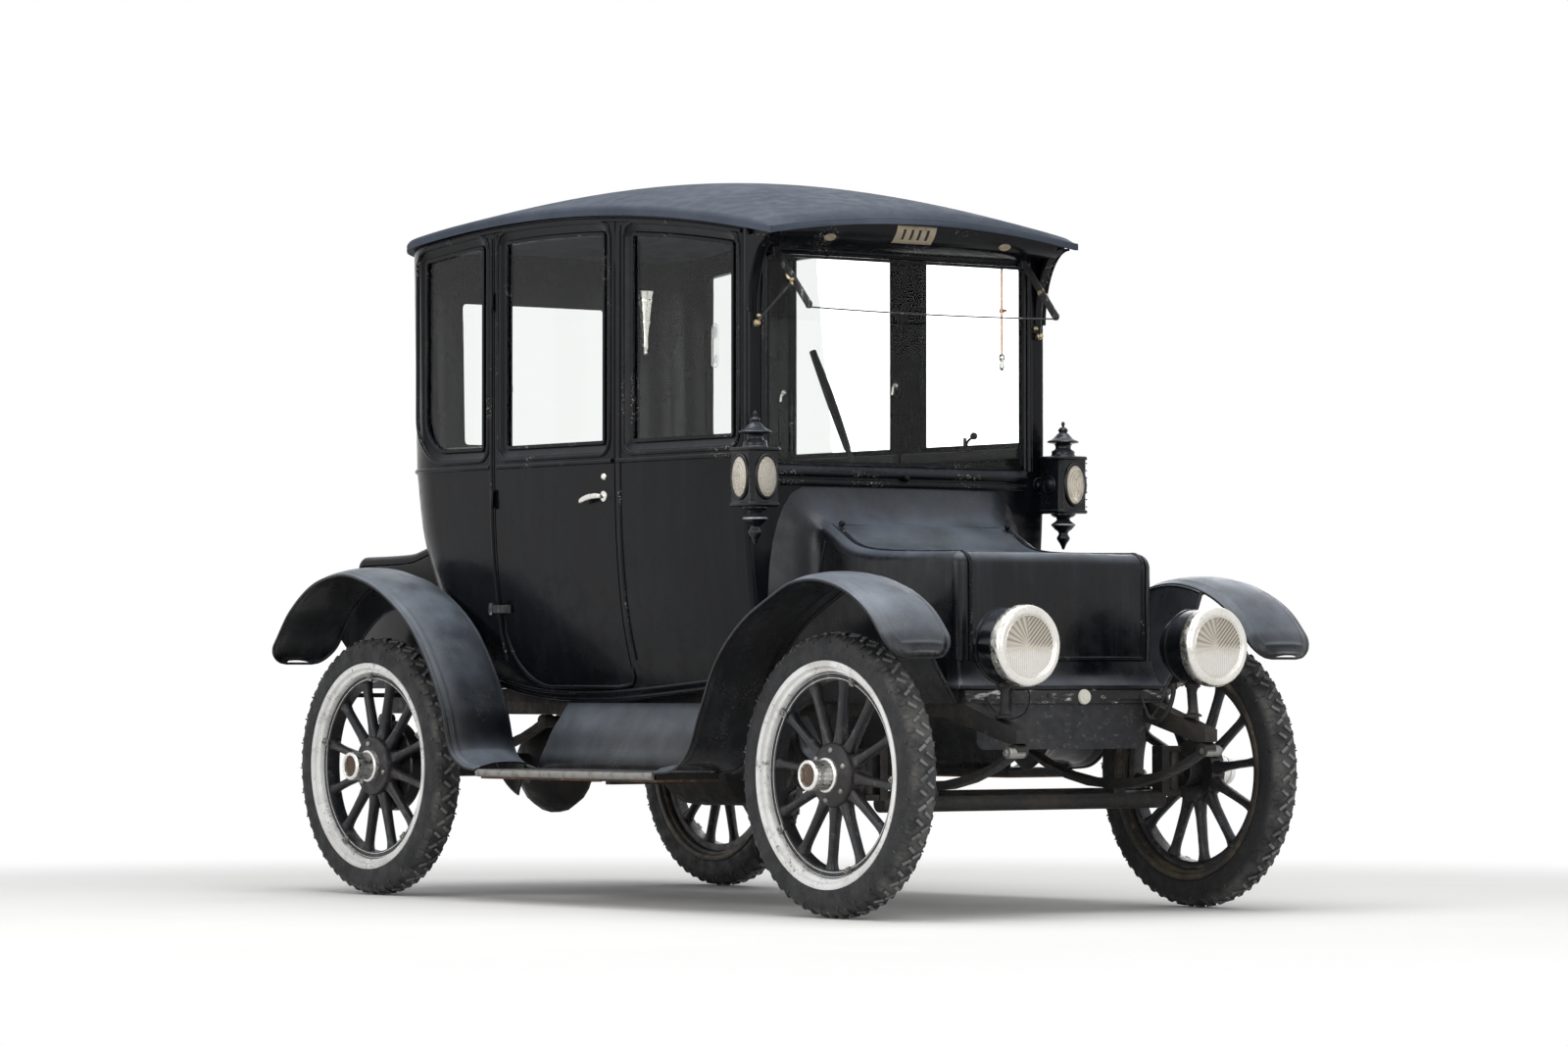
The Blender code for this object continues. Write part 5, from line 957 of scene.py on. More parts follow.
    def mesh(self, name: str, weld: float = 0.00001) -> bpy.types.Mesh:
        """One mesh with doubles merged and faces outwards.

        Args:
            name: Name of the object.
            weld: Whether doubles are merged.

        Returns:
            The mesh.
        """
        mesh = bpy.data.meshes.new(name)
        mesh.from_pydata([tuple(point) for point in self.points], [], self.faces)
        if any(self.lay):
            mesh.attributes.new("lay", "FLOAT", "POINT").data.foreach_set("value", self.lay)
        work = bmesh.new()
        work.from_mesh(mesh)
        bmesh.ops.remove_doubles(work, verts=work.verts, dist=weld)
        bmesh.ops.dissolve_degenerate(work, edges=work.edges, dist=weld / 2)
        bmesh.ops.recalc_face_normals(work, faces=work.faces)
        work.to_mesh(mesh)
        work.free()
        return mesh


def loose_object(name: str, mesh: bpy.types.Mesh) -> bpy.types.Object:
    """An object for a mesh, in the scene.

    Args:
        name: Name of the object.
        mesh: Its mesh.

    Returns:
        The object.
    """
    made = bpy.data.objects.new(name, mesh)
    bpy.context.scene.collection.objects.link(made)
    return made


def baked(obj: bpy.types.Object) -> bpy.types.Object:
    """The object with its modifiers applied and removed.

    Args:
        obj: The object.

    Returns:
        The object.
    """
    bpy.context.view_layer.update()
    graph = bpy.context.evaluated_depsgraph_get()
    mesh = bpy.data.meshes.new_from_object(obj.evaluated_get(graph))
    obj.modifiers.clear()
    obj.data = mesh
    return obj


def carved(obj: bpy.types.Object, tools: Iterable[Shape], operation: str = "DIFFERENCE") -> bpy.types.Object:
    """Cut or join shapes with an object, one after another.

    Args:
        obj: The object that is cut.
        tools: Shapes to cut with.
        operation: DIFFERENCE or INTERSECT.

    Returns:
        The object.
    """
    helpers = []
    for index, tool in enumerate(tools):
        helper = loose_object(f"tool_{index}", tool.mesh(f"tool_{index}"))
        step = obj.modifiers.new(helper.name, "BOOLEAN")
        step.operation, step.object, step.solver = operation, helper, "EXACT"
        helpers.append(helper)
    baked(obj)
    for helper in helpers:
        bpy.data.objects.remove(helper)
    return obj


def finished(obj: bpy.types.Object, look: Look, body: str, replaces: Sequence[str] = (),
        angle: float = 35.0, bevel: float = 0.0) -> bpy.types.Object:
    """Round, shade, dress and seat an object, and log it.

    Args:
        obj: The piece.
        look: Its finish.
        body: The CAD body that it rides on.
        replaces: CAD nodes that it stands for.
        angle: Edges sharper than this stay sharp, in degrees.
        bevel: Width of the rounding on its edges.

    Returns:
        The finished piece.
    """
    if bevel:
        step = obj.modifiers.new("rounded", "BEVEL")
        step.width, step.segments, step.limit_method, step.angle_limit = bevel, 2, "ANGLE", radians(40)
        baked(obj)
    obj.data.shade_smooth()
    obj.data.set_sharp_from_angle(angle=radians(angle))
    obj.data.materials.clear()
    obj.data.materials.append(look.material())
    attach(obj, body)
    if replaces:
        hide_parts(*replaces)
    LOG.info("%s: %d faces, on %s", obj.name, len(obj.data.polygons), body)
    return obj


def piece(name: str, shape: Shape, look: Look, body: str = "car",
        replaces: Sequence[str] = (), angle: float = 35.0, bevel: float = 0.0) -> bpy.types.Object:
    """A finished piece straight from a shape."""
    return finished(loose_object(name, shape.mesh(name)), look, body, replaces, angle, bevel)


class RingArray:
    """Copies of one mesh in a ring about X, made by geometry nodes."""

    INPUTS = (("Count", "NodeSocketInt"), ("Radius", "NodeSocketFloat"), ("Offset", "NodeSocketFloat"),
        ("Start", "NodeSocketFloat"), ("Lean", "NodeSocketFloat"), ("Roll", "NodeSocketFloat"),
        ("Look", "NodeSocketMaterial"))

    def __init__(self) -> None:
        """Build the tree once."""
        tree = bpy.data.node_groups.new("ring_array", "GeometryNodeTree")
        tree.is_modifier = True
        tree.interface.new_socket("Geometry", in_out="INPUT", socket_type="NodeSocketGeometry")
        for name, kind in self.INPUTS:
            tree.interface.new_socket(name, in_out="INPUT", socket_type=kind)
        tree.interface.new_socket("Geometry", in_out="OUTPUT", socket_type="NodeSocketGeometry")
        self.tree = tree
        given = tree.nodes.new("NodeGroupInput").outputs
        index = tree.nodes.new("GeometryNodeInputIndex").outputs[0]
        step = self.calc("DIVIDE", 2 * pi, given["Count"])
        angle = self.calc("ADD", self.calc("MULTIPLY", index, step), given["Start"])
        place = self.vector(given["Offset"], self.calc("MULTIPLY", given["Radius"], self.calc("SINE", angle)),
            self.calc("MULTIPLY", given["Radius"], self.calc("COSINE", angle)))
        points = self.node("GeometryNodePoints", Count=given["Count"], Position=place)
        turn = self.vector(self.calc("MULTIPLY", angle, -1.0), 0.0, 0.0)
        copies = self.node("GeometryNodeInstanceOnPoints", Points=points, Instance=given["Geometry"],
            Rotation=turn)
        lean = self.node("GeometryNodeRotateInstances", Instances=copies,
            Rotation=self.vector(0.0, given["Lean"], 0.0))
        even = self.calc("SUBTRACT", 1.0, self.calc("MULTIPLY", self.calc("MODULO", index, 2.0), 2.0))
        roll = self.vector(0.0, 0.0, self.calc("MULTIPLY", given["Roll"], even))
        rolled = self.node("GeometryNodeRotateInstances", Instances=lean, Rotation=roll)
        real = self.node("GeometryNodeRealizeInstances", Geometry=rolled)
        dressed = self.node("GeometryNodeSetMaterial", Geometry=real, Material=given["Look"])
        tree.links.new(dressed, tree.nodes.new("NodeGroupOutput").inputs[0])

    def node(self, kind: str, **inputs: object) -> bpy.types.NodeSocket:
        """Add a node, feed its inputs and give its first output.

        Args:
            kind: Type of the node.
            inputs: Inputs in order.

        Returns:
            The node's output.
        """
        made = self.tree.nodes.new(kind)
        for key, value in inputs.items():
            if isinstance(value, bpy.types.NodeSocket):
                self.tree.links.new(value, made.inputs[key])
            else:
                made.inputs[key].default_value = value
        return made.outputs[0]

    def calc(self, operation: str, first: object, second: object = 0.0) -> bpy.types.NodeSocket:
        """Add a math node.

        Args:
            operation: The operation's name.
            first: First value.
            second: Second value.

        Returns:
            The node's output.
        """
        made = self.tree.nodes.new("ShaderNodeMath")
        made.operation = operation
        for socket, value in zip(made.inputs, (first, second)):
            if isinstance(value, bpy.types.NodeSocket):
                self.tree.links.new(value, socket)
            else:
                socket.default_value = value
        return made.outputs[0]

    def vector(self, x: object, y: object, z: object) -> bpy.types.NodeSocket:
        """Join three values to a vector."""
        return self.node("ShaderNodeCombineXYZ", X=x, Y=y, Z=z)

    def spread(self, item: Shape, look: Look, **sizes: float) -> Shape:
        """Set copies of an item in a ring.

        Args:
            item: The copied shape; +Z is its outward side.
            look: Its finish.
            sizes: Count, Radius, Offset, Start, Lean and Roll, as needed.

        Returns:
            The copies as one shape.
        """
        holder = loose_object("ring_item", item.mesh("ring_item"))
        step = holder.modifiers.new("ring", "NODES")
        step.node_group = self.tree
        for socket in self.tree.interface.items_tree:
            if socket.in_out == "INPUT" and socket.name in sizes:
                step[socket.identifier] = sizes[socket.name]
            elif socket.in_out == "INPUT" and socket.name == "Look":
                step[socket.identifier] = look.material()
        baked(holder)
        made = Shape().add([v.co for v in holder.data.vertices],
            [tuple(f.vertices) for f in holder.data.polygons])
        bpy.data.objects.remove(holder)
        return made


# Places shared by several sub-assemblies


@dataclass
class CarPlan:
    """The coach body's lines, on the same numbers as the solids."""

    tail: float = 1.765
    dash: float = -0.665
    length: float = 2.03
    half: float = 0.606
    bottom: float = 0.64
    belt: float = 1.417
    top: float = 2.348
    wall: float = 0.036
    rear_corner: float = 0.28
    front_corner: float = 0.02
    roof_half: float = 0.622
    roof_front: float = -0.81
    roof_rear: float = 1.415
    edge_front: float = 2.125
    edge_top: float = 2.243
    edge_rear: float = 2.165
    crown_front: float = 0.052
    crown: float = 0.105
    window_drop: float = 0.085
    sill_height: float = 1.475
    door_front: float = 0.025
    door_rear: float = 0.715
    door_low: float = 0.682
    door_high: float = 2.192
    sections: tuple[tuple[float, float, float], ...] = ((0.0, 0.79, 0.78), (0.08, 0.845, 0.835),
        (0.2, 0.895, 0.885), (0.34, 0.938, 0.925), (0.52, 0.97, 0.955), (0.72, 0.99, 0.983), (1.0, 1.0, 1.0))
    sill: tuple[tuple[float, float], ...] = ((0.0, 0.085), (0.17, 0.05), (0.34, 0.02), (0.48, 0.004),
        (0.62, 0.016), (0.72, 0.062), (0.785, 0.125), (0.83, 0.2))

    def __post_init__(self) -> None:
        """Smooth the section table once."""
        rise = self.belt - self.bottom
        rows = [(self.bottom + rise * up, self.half * wide, self.dash + self.length * long) for up, wide,
            long in self.sections]
        rows = [tuple(row) for row in smooth_line(rows, 6)]
        rows.append((self.top, self.half, self.dash + self.length * 1.012))
        self.table = np.array(rows)

    def section(self, z: float) -> tuple[float, float]:
        """Half width and back wall place at a height."""
        return (float(np.interp(z, self.table[:, 0], self.table[:, 1])), float(np.interp(z, self.table[:, 0],
            self.table[:, 2])))

    def ring(self, z: float, inset: float = 0.0) -> list[tuple[float, float, float]]:
        """Plan outline at a height, drawn in by an inset, anticlockwise from above.

        Args:
            z: Height above the floor.
            inset: How far it is drawn in.

        Returns:
            The points of the line.
        """
        half, back = self.section(z)
        half, back, front = half - inset, back - inset, self.dash + inset
        small, large = max(self.front_corner - inset / 2, 0.005), self.rear_corner - inset
        points = arc((half - small, front + small), (small, small), -90, 0, 5)
        points += arc((half - large, back - large), (large, large), 0, 90, 22)
        points += arc((large - half, back - large), (large, large), 90, 180, 22)
        points += arc((small - half, front + small), (small, small), 180, 270, 5)
        return [(x, y, z) for x, y in points]

    def roof_edge(self, y: float) -> float:
        """Height of the roof's side edge.

        Args:
            y: Place along the car.

        Returns:
            The value.
        """
        share = (y - self.roof_front) / (self.roof_rear - self.roof_front)
        straight = self.edge_front + (self.edge_rear - self.edge_front) * share
        return straight + (self.edge_top - (self.edge_front + self.edge_rear) / 2) * 4 * share * (1 - share)

    def roof_height(self, x: float, y: float) -> float:
        """Height of the roof's skin.

        Args:
            x: Place across the car.
            y: Place along the car.

        Returns:
            The value.
        """
        share = min(max((y - self.roof_front) / (self.roof_rear - self.roof_front), 0.0), 1.0)
        low = self.crown_front * (1 - share) + self.crown * 0.1 * share
        swell = low + (self.crown - low) * sin(pi * share ** 0.9) ** 0.6 if 0 < share < 1 else low
        return self.roof_edge(y) + swell * (1 - (x / self.roof_half) ** 2)

    def window_top(self, y: float) -> float:
        """Height of the side windows' upper edge."""
        return self.roof_edge(y) - self.window_drop

    def sill_line(self, grow: float = 0.0) -> list[tuple[float, float]]:
        """The curved lower edge of the body side, as (y, z).

        Args:
            grow: How far it is moved outwards.

        Returns:
            The points of the line.
        """
        rise = self.belt - self.bottom
        rows = [(self.dash + self.length * along, self.bottom + rise * up + grow) for along, up in self.sill]
        return [(p.x, p.y) for p in smooth_line(rows, 8)]

    def door_line(self, grow: float, high: float) -> list[tuple[float, float]]:
        """The door seen from the side, as (y, z).

        Args:
            grow: How far it is moved outwards.
            high: Height of the upper edge.

        Returns:
            The points of the line.
        """
        front, rear, low, radius = self.door_front - grow, self.door_rear + grow, self.door_low - grow, 0.2 + grow
        foot = [(front, low + 0.05), (front + 0.004, low + 0.028), (front + 0.02, low + 0.011),
            (front + 0.1, low)]
        foot = [(p.x, p.y) for p in smooth_line(foot, 4)]
        return [(front, high), *foot, *arc((rear - radius, low + radius), (radius, radius), -90, 0, 14),
            (rear, high)]

    def windows(self) -> dict[str, tuple[float, float, float]]:
        """Start, end and lower rear corner radius of each side window."""
        return {"front_quarter": (-0.59, -0.05, 0.012), "door": (0.1, 0.65875, 0.012),
            "rear_quarter": (0.785, 1.13, 0.12)}

    def window_line(self, name: str, grow: float = 0.0) -> list[tuple[float, float]]:
        """A side window grown by an amount, anticlockwise from its upper front corner, as (y, z).

        Args:
            name: Name of the window.
            grow: How far it is moved outwards.

        Returns:
            The points of the line.
        """
        start, end, round_rear = self.windows()[name]
        low, soft = self.sill_height - grow, 0.012 + grow
        start, end, big = start - grow, end + grow, round_rear + grow
        line = arc((start + soft, low + soft), (soft, soft), 180, 270, 5)
        line += arc((end - big, low + big), (big, big), -90, 0, 14 if round_rear > 0.02 else 5)
        top = [(y, self.window_top(y) + grow) for y in np.linspace(end - soft, start + soft, 14)]
        line += [(end, top[0][1] - soft), (end - soft * 0.3, top[0][1] - soft * 0.3), *top,
            (start + soft * 0.3, top[-1][1] - soft * 0.3), (start, top[-1][1] - soft)]
        return line


def block_x(rings: Sequence[tuple[float, Sequence[tuple[float, float]]]]) -> Shape:
    """A solid through (y, z) outlines at places along X."""
    return Shape().skin([[(x, y, z) for y, z in outline] for x, outline in rings])


@dataclass
class Coach:
    """The cabin, its doors, mouldings, glass and small hardware."""

    plan: CarPlan
    screen_half: float = 0.52
    screen_low: float = 1.392
    screen_high: float = 2.046
    light_half: float = 0.3
    light_low: float = 1.52
    light_high: float = 2.0
    gap: float = 0.0055
    splay: tuple[tuple[float, float], ...] = ((0.06, 0.03), (0.001, 0.03), (-0.004, 0.021), (-0.009, 0.0085),
        (-0.0125, 0.001), (-0.05, 0.0))

    def shell(self) -> bpy.types.Object:
        """The coach body before anything is cut.

        Returns:
            The object.
        """
        plan = self.plan
        levels = [*np.linspace(plan.bottom, plan.belt, 26), 1.7, 2.0, plan.top]
        rows = [plan.ring(z) for z in levels] + [plan.ring(z, plan.wall) for z in reversed(levels)]
        shape = Shape().skin(rows, looped=True)
        return loose_object("shell", shape.mesh("shell"))

    def roof_block(self, drop: float) -> Shape:
        """Everything above the roof's underside.

        Args:
            drop: Distance below the roof's skin.

        Returns:
            The shape.
        """
        plan, columns = self.plan, 24
        rows = []
        for y in np.linspace(plan.roof_front - 0.05, plan.roof_rear + 0.05, 60):
            under = [(x, y, plan.roof_height(x, y) - drop) for x in np.linspace(-0.68, 0.68, columns)]
            rows.append(under + [(0.68, y, 2.55), (-0.68, y, 2.55)])
        return Shape().skin(rows)

    def window_tool(self, name: str, sign: int) -> Shape:
        """The splayed cut of a side window; it widens towards the outside.

        Args:
            name: Name of the window.
            sign: 1 on the left and -1 on the right.

        Returns:
            The shape.
        """
        plan = self.plan
        rings = [(sign * (plan.half + out), plan.window_line(name, grow)) for out, grow in self.splay]
        return block_x(rings)

    def door_tool(self, sign: int, grow: float) -> Shape:
        """A block over the door, its front edge raked for the swing.

        Args:
            sign: 1 on the left and -1 on the right.
            grow: How far it is moved outwards.

        Returns:
            The shape.
        """
        outline = self.plan.door_line(grow, self.plan.door_high + (0.0055 if not grow else 0.2))
        middle = (self.plan.door_front + self.plan.door_rear) / 2
        raked = [(y + 0.036 if y < middle - 0.17 else y, z) for y, z in outline]
        return block_x(((sign * 0.656, outline), (sign * 0.384, raked)))

    def build_body(self) -> None:
        """Cut the fixed body."""
        plan = self.plan
        line = plan.sill_line()
        under = [(plan.dash - 0.05, 0.55), (plan.tail, 0.55), (plan.tail, line[-1][1]), *reversed(line),
            (plan.dash - 0.05, line[0][1])]
        tools = [block_x(((-0.66, under), (0.66, under)))]
        tools += [self.door_tool(sign, 0.0) for _, sign in SIDES]
        tools += [self.window_tool(name, sign) for name in ("front_quarter", "rear_quarter") for _,
            sign in SIDES]
        tools.append(self.face_cut(plan.dash, -1, self.screen_half, self.screen_low, self.screen_high))
        tools.append(self.face_cut(plan.section(1.8)[1], 1, self.light_half, self.light_low, self.light_high))
        tools.append(self.roof_block(0.0303))
        body = carved(self.shell(), tools)
        body.name = "coach_body"
        finished(body, Look.BODY, "car", ["cabin_body"], 28)

    def face_cut(self, y: float, sign: int, half: float, low: float, high: float) -> Shape:
        """The splayed cut of an end window.

        Args:
            y: Place of the outer face.
            sign: 1 at the back and -1 at the front.
            half: Half width.
            low: Lower edge of the window.
            high: Upper edge of the window.

        Returns:
            The shape.
        """
        rows = []
        for out, grow in ((0.08, 0.022), (0.001, 0.022), (-0.006, 0.012), (-0.012, 0.001), (-0.09, 0.0)):
            soft = 0.014 + grow
            outline = [*arc((half + grow - soft, low - grow + soft), (soft, soft), -90, 0, 5),
                *arc((half + grow - soft, high + grow - soft), (soft, soft), 0, 90, 5)]
            outline += [(-x, z) for x, z in reversed(outline)]
            rows.append([(x, y + sign * out, z) for x, z in outline])
        return Shape().skin(rows)

    def build_doors(self) -> None:
        """Both doors, cut from the same shell."""
        for side, sign in SIDES:
            door = carved(self.shell(), [self.door_tool(sign, -self.gap)], "INTERSECT")
            above = Shape().box((-0.7, -0.05, self.plan.door_high), (0.7, 0.8, 2.6))
            door = carved(door, [self.window_tool("door", sign), above])
            door.name = f"door_{side}_panel"
            finished(door, Look.BODY, f"door_{side}", [f"door_{side}"], 28)

    def build(self) -> None:
        """Make every piece of the coach body."""
        self.build_body()
        self.build_doors()
        self.build_mouldings()
        self.build_glass()
        self.build_hardware()

    def bead(self, line: Sequence[tuple[float, float]], width: float, rise: float, lift: float = 0.0,
            looped: bool = False, sign: int = 1) -> Shape:
        """A half-round moulding laid on the body side along (y, z) points."""
        path = [(sign * (self.plan.section(z)[0] + lift), y, z) for y, z in line]
        return Shape().sweep(path, half_round(width, rise), (sign, 0, 0), looped)

    def build_mouldings(self) -> None:
        """Window frames, belt line, door edges and sill mouldings."""
        plan = self.plan
        fixed = Shape()
        for name in ("front_quarter", "rear_quarter"):
            fixed.joined(self.bead(plan.window_line(name, 0.037), 0.015, 0.0062, looped=True))
        fixed.joined(self.bead([(plan.dash + 0.012, plan.belt), (plan.door_front - 0.003, plan.belt)], 0.017,
            0.0075))
        for grow in (0.01, 0.031):
            fixed.joined(self.bead(plan.sill_line(grow), 0.013, 0.0065))
        for y in (plan.door_front - 0.016, plan.door_rear + 0.016):
            fixed.joined(self.bead([(y, z) for z in np.linspace(0.78, 2.17, 30)], 0.013, 0.006))
        rail = [(y, plan.roof_edge(y) - 0.043) for y in np.linspace(plan.dash + 0.02, 1.1, 40)]
        fixed.joined(self.bead(rail, 0.014, 0.009))
        around = [p for p in plan.ring(plan.belt) if p[1] > 1.05]
        start = (plan.section(plan.belt)[0], plan.door_rear + 0.022, plan.belt)
        path = [start, *around, (-start[0], start[1], start[2])]
        ups = [(1, 0, 0), *[Vector((p[0], p[1] - 1.09, 0)) if p[1] > 1.09 else Vector((p[0], 0,
            0)) for p in around], (-1, 0, 0)]
        whole = fixed.both().joined(Shape().sweep(path, half_round(0.017, 0.0075), ups))
        piece("body_mouldings", whole, Look.TRIM, angle=50)
        for side, sign in SIDES:
            line = plan.door_line(-self.gap - 0.007, 2.183)
            shape = self.bead(line, 0.012, 0.006, sign=sign)
            shape.joined(self.bead(plan.window_line("door", 0.037), 0.015, 0.0062, looped=True, sign=sign))
            shape.joined(self.bead([(0.047, plan.belt), (0.693, plan.belt)], 0.017, 0.0075, sign=sign))
            piece(f"door_{side}_mouldings", shape, Look.TRIM, f"door_{side}", angle=50)

    def build_glass(self) -> None:
        """Dress the panes and set a thin channel round each."""
        for name in [n for n in FRAME["nodes"] if n != "windshield_glass" and (n.endswith("_glass") or "_glass_"
                in n)]:
            dress(name, Look.GLASS)
        pane = Shape().box((-self.screen_half - 0.01, -0.65, self.screen_low - 0.008),
            (self.screen_half + 0.01, -0.644, self.screen_high + 0.008))
        piece("screen_pane", pane, Look.GLASS, replaces=["windshield_glass"], angle=30)
        back, rear = self.plan.section(1.8)[1], Shape()
        for grow, width, rise in ((0.034, 0.02, 0.008), (0.006, 0.01, 0.004)):
            half, low, high, soft = self.light_half + grow, self.light_low - grow, self.light_high + grow, 0.014 + grow
            line = [*arc((half - soft, low + soft), (soft, soft), -90, 0, 6), *arc((half - soft, high - soft),
                (soft, soft), 0, 90, 6)]
            line += [(-x, z) for x, z in reversed(line)]
            depth = back if grow > 0.02 else back - 0.01
            rear.sweep([(x, depth, z) for x, z in line], half_round(width, rise), (0, 1, 0), True)
        piece("rear_light_frame", rear, Look.TRIM, angle=50)
        plan = self.plan
        channel = [(-0.0055, -0.004), (0.0055, -0.004), (0.0055, 0.004), (-0.0055, 0.004)]
        for side, sign in SIDES:
            x = sign * (plan.half - plan.wall / 2)
            for name in plan.windows():
                line = plan.window_line(name, -0.0035)
                path = [(x, y, z) for y, z in line]
                shape = Shape()
                for off in (-0.0085, 0.0085):
                    shape.sweep([(px + off, y, z) for px, y, z in path], channel, (1, 0, 0), True)
                body = f"door_{side}" if name == "door" else "car"
                piece(f"{name}_channel_{side}", shape, Look.TRIM, body, angle=40)

    def build_hardware(self) -> None:
        """Door handles, locks, hinges and etched finger pulls."""
        plan = self.plan
        for side, sign in SIDES:
            at = Matrix.Diagonal((sign, 1, 1, 1))
            x = plan.section(1.35)[0]
            plate = Shape().turned([(0, 0.006), (0.01, 0.006), (0.017, 0.003), (0.018, -0.004), (0, -0.004)],
                (x, 0.095, 1.305), (1, 0, 0), 28)
            neck = Shape().rod([(x, 0.095, 1.305), (x + 0.02, 0.095, 1.305)], 0.007, 14)
            grip = smooth_line([(x + 0.02, 0.088, 1.305), (x + 0.025, 0.11, 1.306), (x + 0.026, 0.15, 1.302),
                (x + 0.024, 0.19, 1.292), (x + 0.018, 0.204, 1.286)], 8)
            handle = Shape().sweep(grip, [(0.0085 * cos(a), 0.0055 * sin(a)) for a in np.linspace(0, 2 * pi,
                15)[:-1]], (1, 0, 0), sizes=lambda t: 0.72 + 0.5 * sin(pi * t))
            lock = Shape().turned([(0, 0.009), (0.006, 0.009), (0.0105, 0.0055), (0.012, 0.0), (0.012, -0.004),
                (0, -0.004)], (x, 0.093, 1.368), (1, 0, 0), 28)
            for z in (1.31, 1.96):
                at_z = self.plan.section(z)[0]
                hinge = Shape().turned([(0.0, -0.032), (0.0055, -0.032), (0.0062, -0.029), (0.0062, 0.029),
                    (0.0055, 0.032), (0.0, 0.032)], (at_z + 0.01, plan.door_rear, z), (0, 0, 1), 18)
                hinge.box((at_z - 0.002, plan.door_rear + 0.003, z - 0.026),
                    (at_z + 0.0075, plan.door_rear + 0.012, z + 0.026))
                piece(f"door_{side}_hinge_{int(z * 1000)}", hinge.moved(at), Look.TRIM, angle=40)
            self.build_strap(side, sign)
            self.build_catches(side, sign)
            shape = plate.joined(neck).joined(handle).joined(lock)
            piece(f"door_{side}_handle", shape.moved(at), Look.NICKEL, f"door_{side}", angle=40)

    def build_strap(self, side: str, sign: int) -> None:
        """The worn strap hinge low on the door's rear edge: an arm on the body and a leaf on the door.

        Args:
            side: Left or right.
            sign: 1 on the left and -1 on the right.
        """
        y, z, pin = self.plan.door_rear, 0.95, 0.616
        skin = self.plan.section(z)[0]
        flat = [(-0.013, -0.0024), (0.013, -0.0024), (0.013, 0.0024), (-0.013, 0.0024)]
        arm = [(skin + 0.0005, y + 0.072, z), (skin + 0.004, y + 0.04, z), (skin + 0.016, y + 0.018, z),
            (pin, y + 0.006, z)]
        leaf = [(pin, y - 0.008, z), (skin + 0.022, y - 0.016, z), (skin + 0.009, y - 0.028, z),
            (skin + 0.006, y - 0.062, z)]
        on_body = Shape().sweep(smooth_line(arm, 5), flat, (1, 0, 0))
        on_body.turned([(0.0, -0.019), (0.006, -0.019), (0.0075, -0.017), (0.0075, 0.017), (0.006, 0.019),
            (0.0, 0.019)], (pin, y, z), (0, 0, 1), 20)
        on_door = Shape().sweep(smooth_line(leaf, 5), flat, (1, 0, 0))
        on_body.turned([(0.0, 0.004), (0.004, 0.003), (0.006, 0.0), (0.0, -0.001)],
            (skin + 0.0035, y + 0.06, z), (1, 0, 0), 14)
        turn = Matrix.Diagonal((sign, 1, 1, 1))
        piece(f"strap_arm_{side}", on_body.moved(turn), Look.STAY, angle=40)
        piece(f"strap_leaf_{side}", on_door.moved(turn), Look.STAY, f"door_{side}", angle=40)

    def build_catches(self, side: str, sign: int) -> None:
        """Nickel window catches inside the door posts, padded sills and the etched finger pull.

        Args:
            side: Left or right.
            sign: 1 on the left and -1 on the right.
        """
        inner = self.plan.half - self.plan.wall
        turn = Matrix.Diagonal((sign, 1, 1, 1))
        catch = Shape()
        for y in (0.07, 0.682):
            catch.turned([(0.0, 0.006), (0.009, 0.005), (0.012, 0.0), (0.012, -0.003), (0.0, -0.003)],
                (inner, y, 1.695), (-1, 0, 0), 22)
            catch.rod([(inner - 0.004, y, 1.695), (inner - 0.012, y, 1.69), (inner - 0.014, y, 1.664)], 0.0038,
                10, sizes=lambda t: 0.8 + 0.6 * t)
        piece(f"door_{side}_catches", catch.moved(turn), Look.NICKEL, f"door_{side}", angle=45)
        soft = [(0.0, 0.0), (0.0, 0.026), (0.01, 0.032), (0.022, 0.03), (0.026, 0.022), (0.026, 0.006),
            (0.02, 0.0)]
        for name, start, end, body in (("door", 0.052, 0.695, f"door_{side}"), ("front", -0.585, 0.012, "car")):
            rows = [[(inner + 0.001 - across, y, 1.433 + rise) for across,
                rise in soft] for y in np.linspace(start, end, 12)]
            piece(f"{name}_inner_sill_{side}", Shape().skin(rows).moved(turn), Look.LINING, body,
                angle=50)
        pill = [*arc((-0.485, 1.814), (0.0165, 0.0165), 0, 180, 14), *arc((-0.485, 1.71), (0.0165, 0.0165), 180,
            360, 14)]
        ring = Shape().sweep([(0.5914, y, z) for y, z in pill],
            [(0.0011 * cos(a), 0.0008 * sin(a)) for a in np.linspace(0, 2 * pi, 9)[:-1]], (1, 0, 0), True)
        small = [(-0.485 + (y + 0.485) * 0.72, 1.762 + (z - 1.762) * 0.93) for y, z in pill]
        ring.skin([[(x, y, z) for y, z in small] for x in (0.5908, 0.5913)])
        piece(f"finger_pull_{side}", ring.moved(turn), Look.ETCHED, angle=60)


def dress(node: str, look: Look) -> None:
    """Give a CAD node's own object a finish.

    Args:
        node: Name of the CAD node.
        look: The finish.
    """
    obj = FRAME["nodes"][node]
    obj.data.materials.clear()
    obj.data.materials.append(look.material())


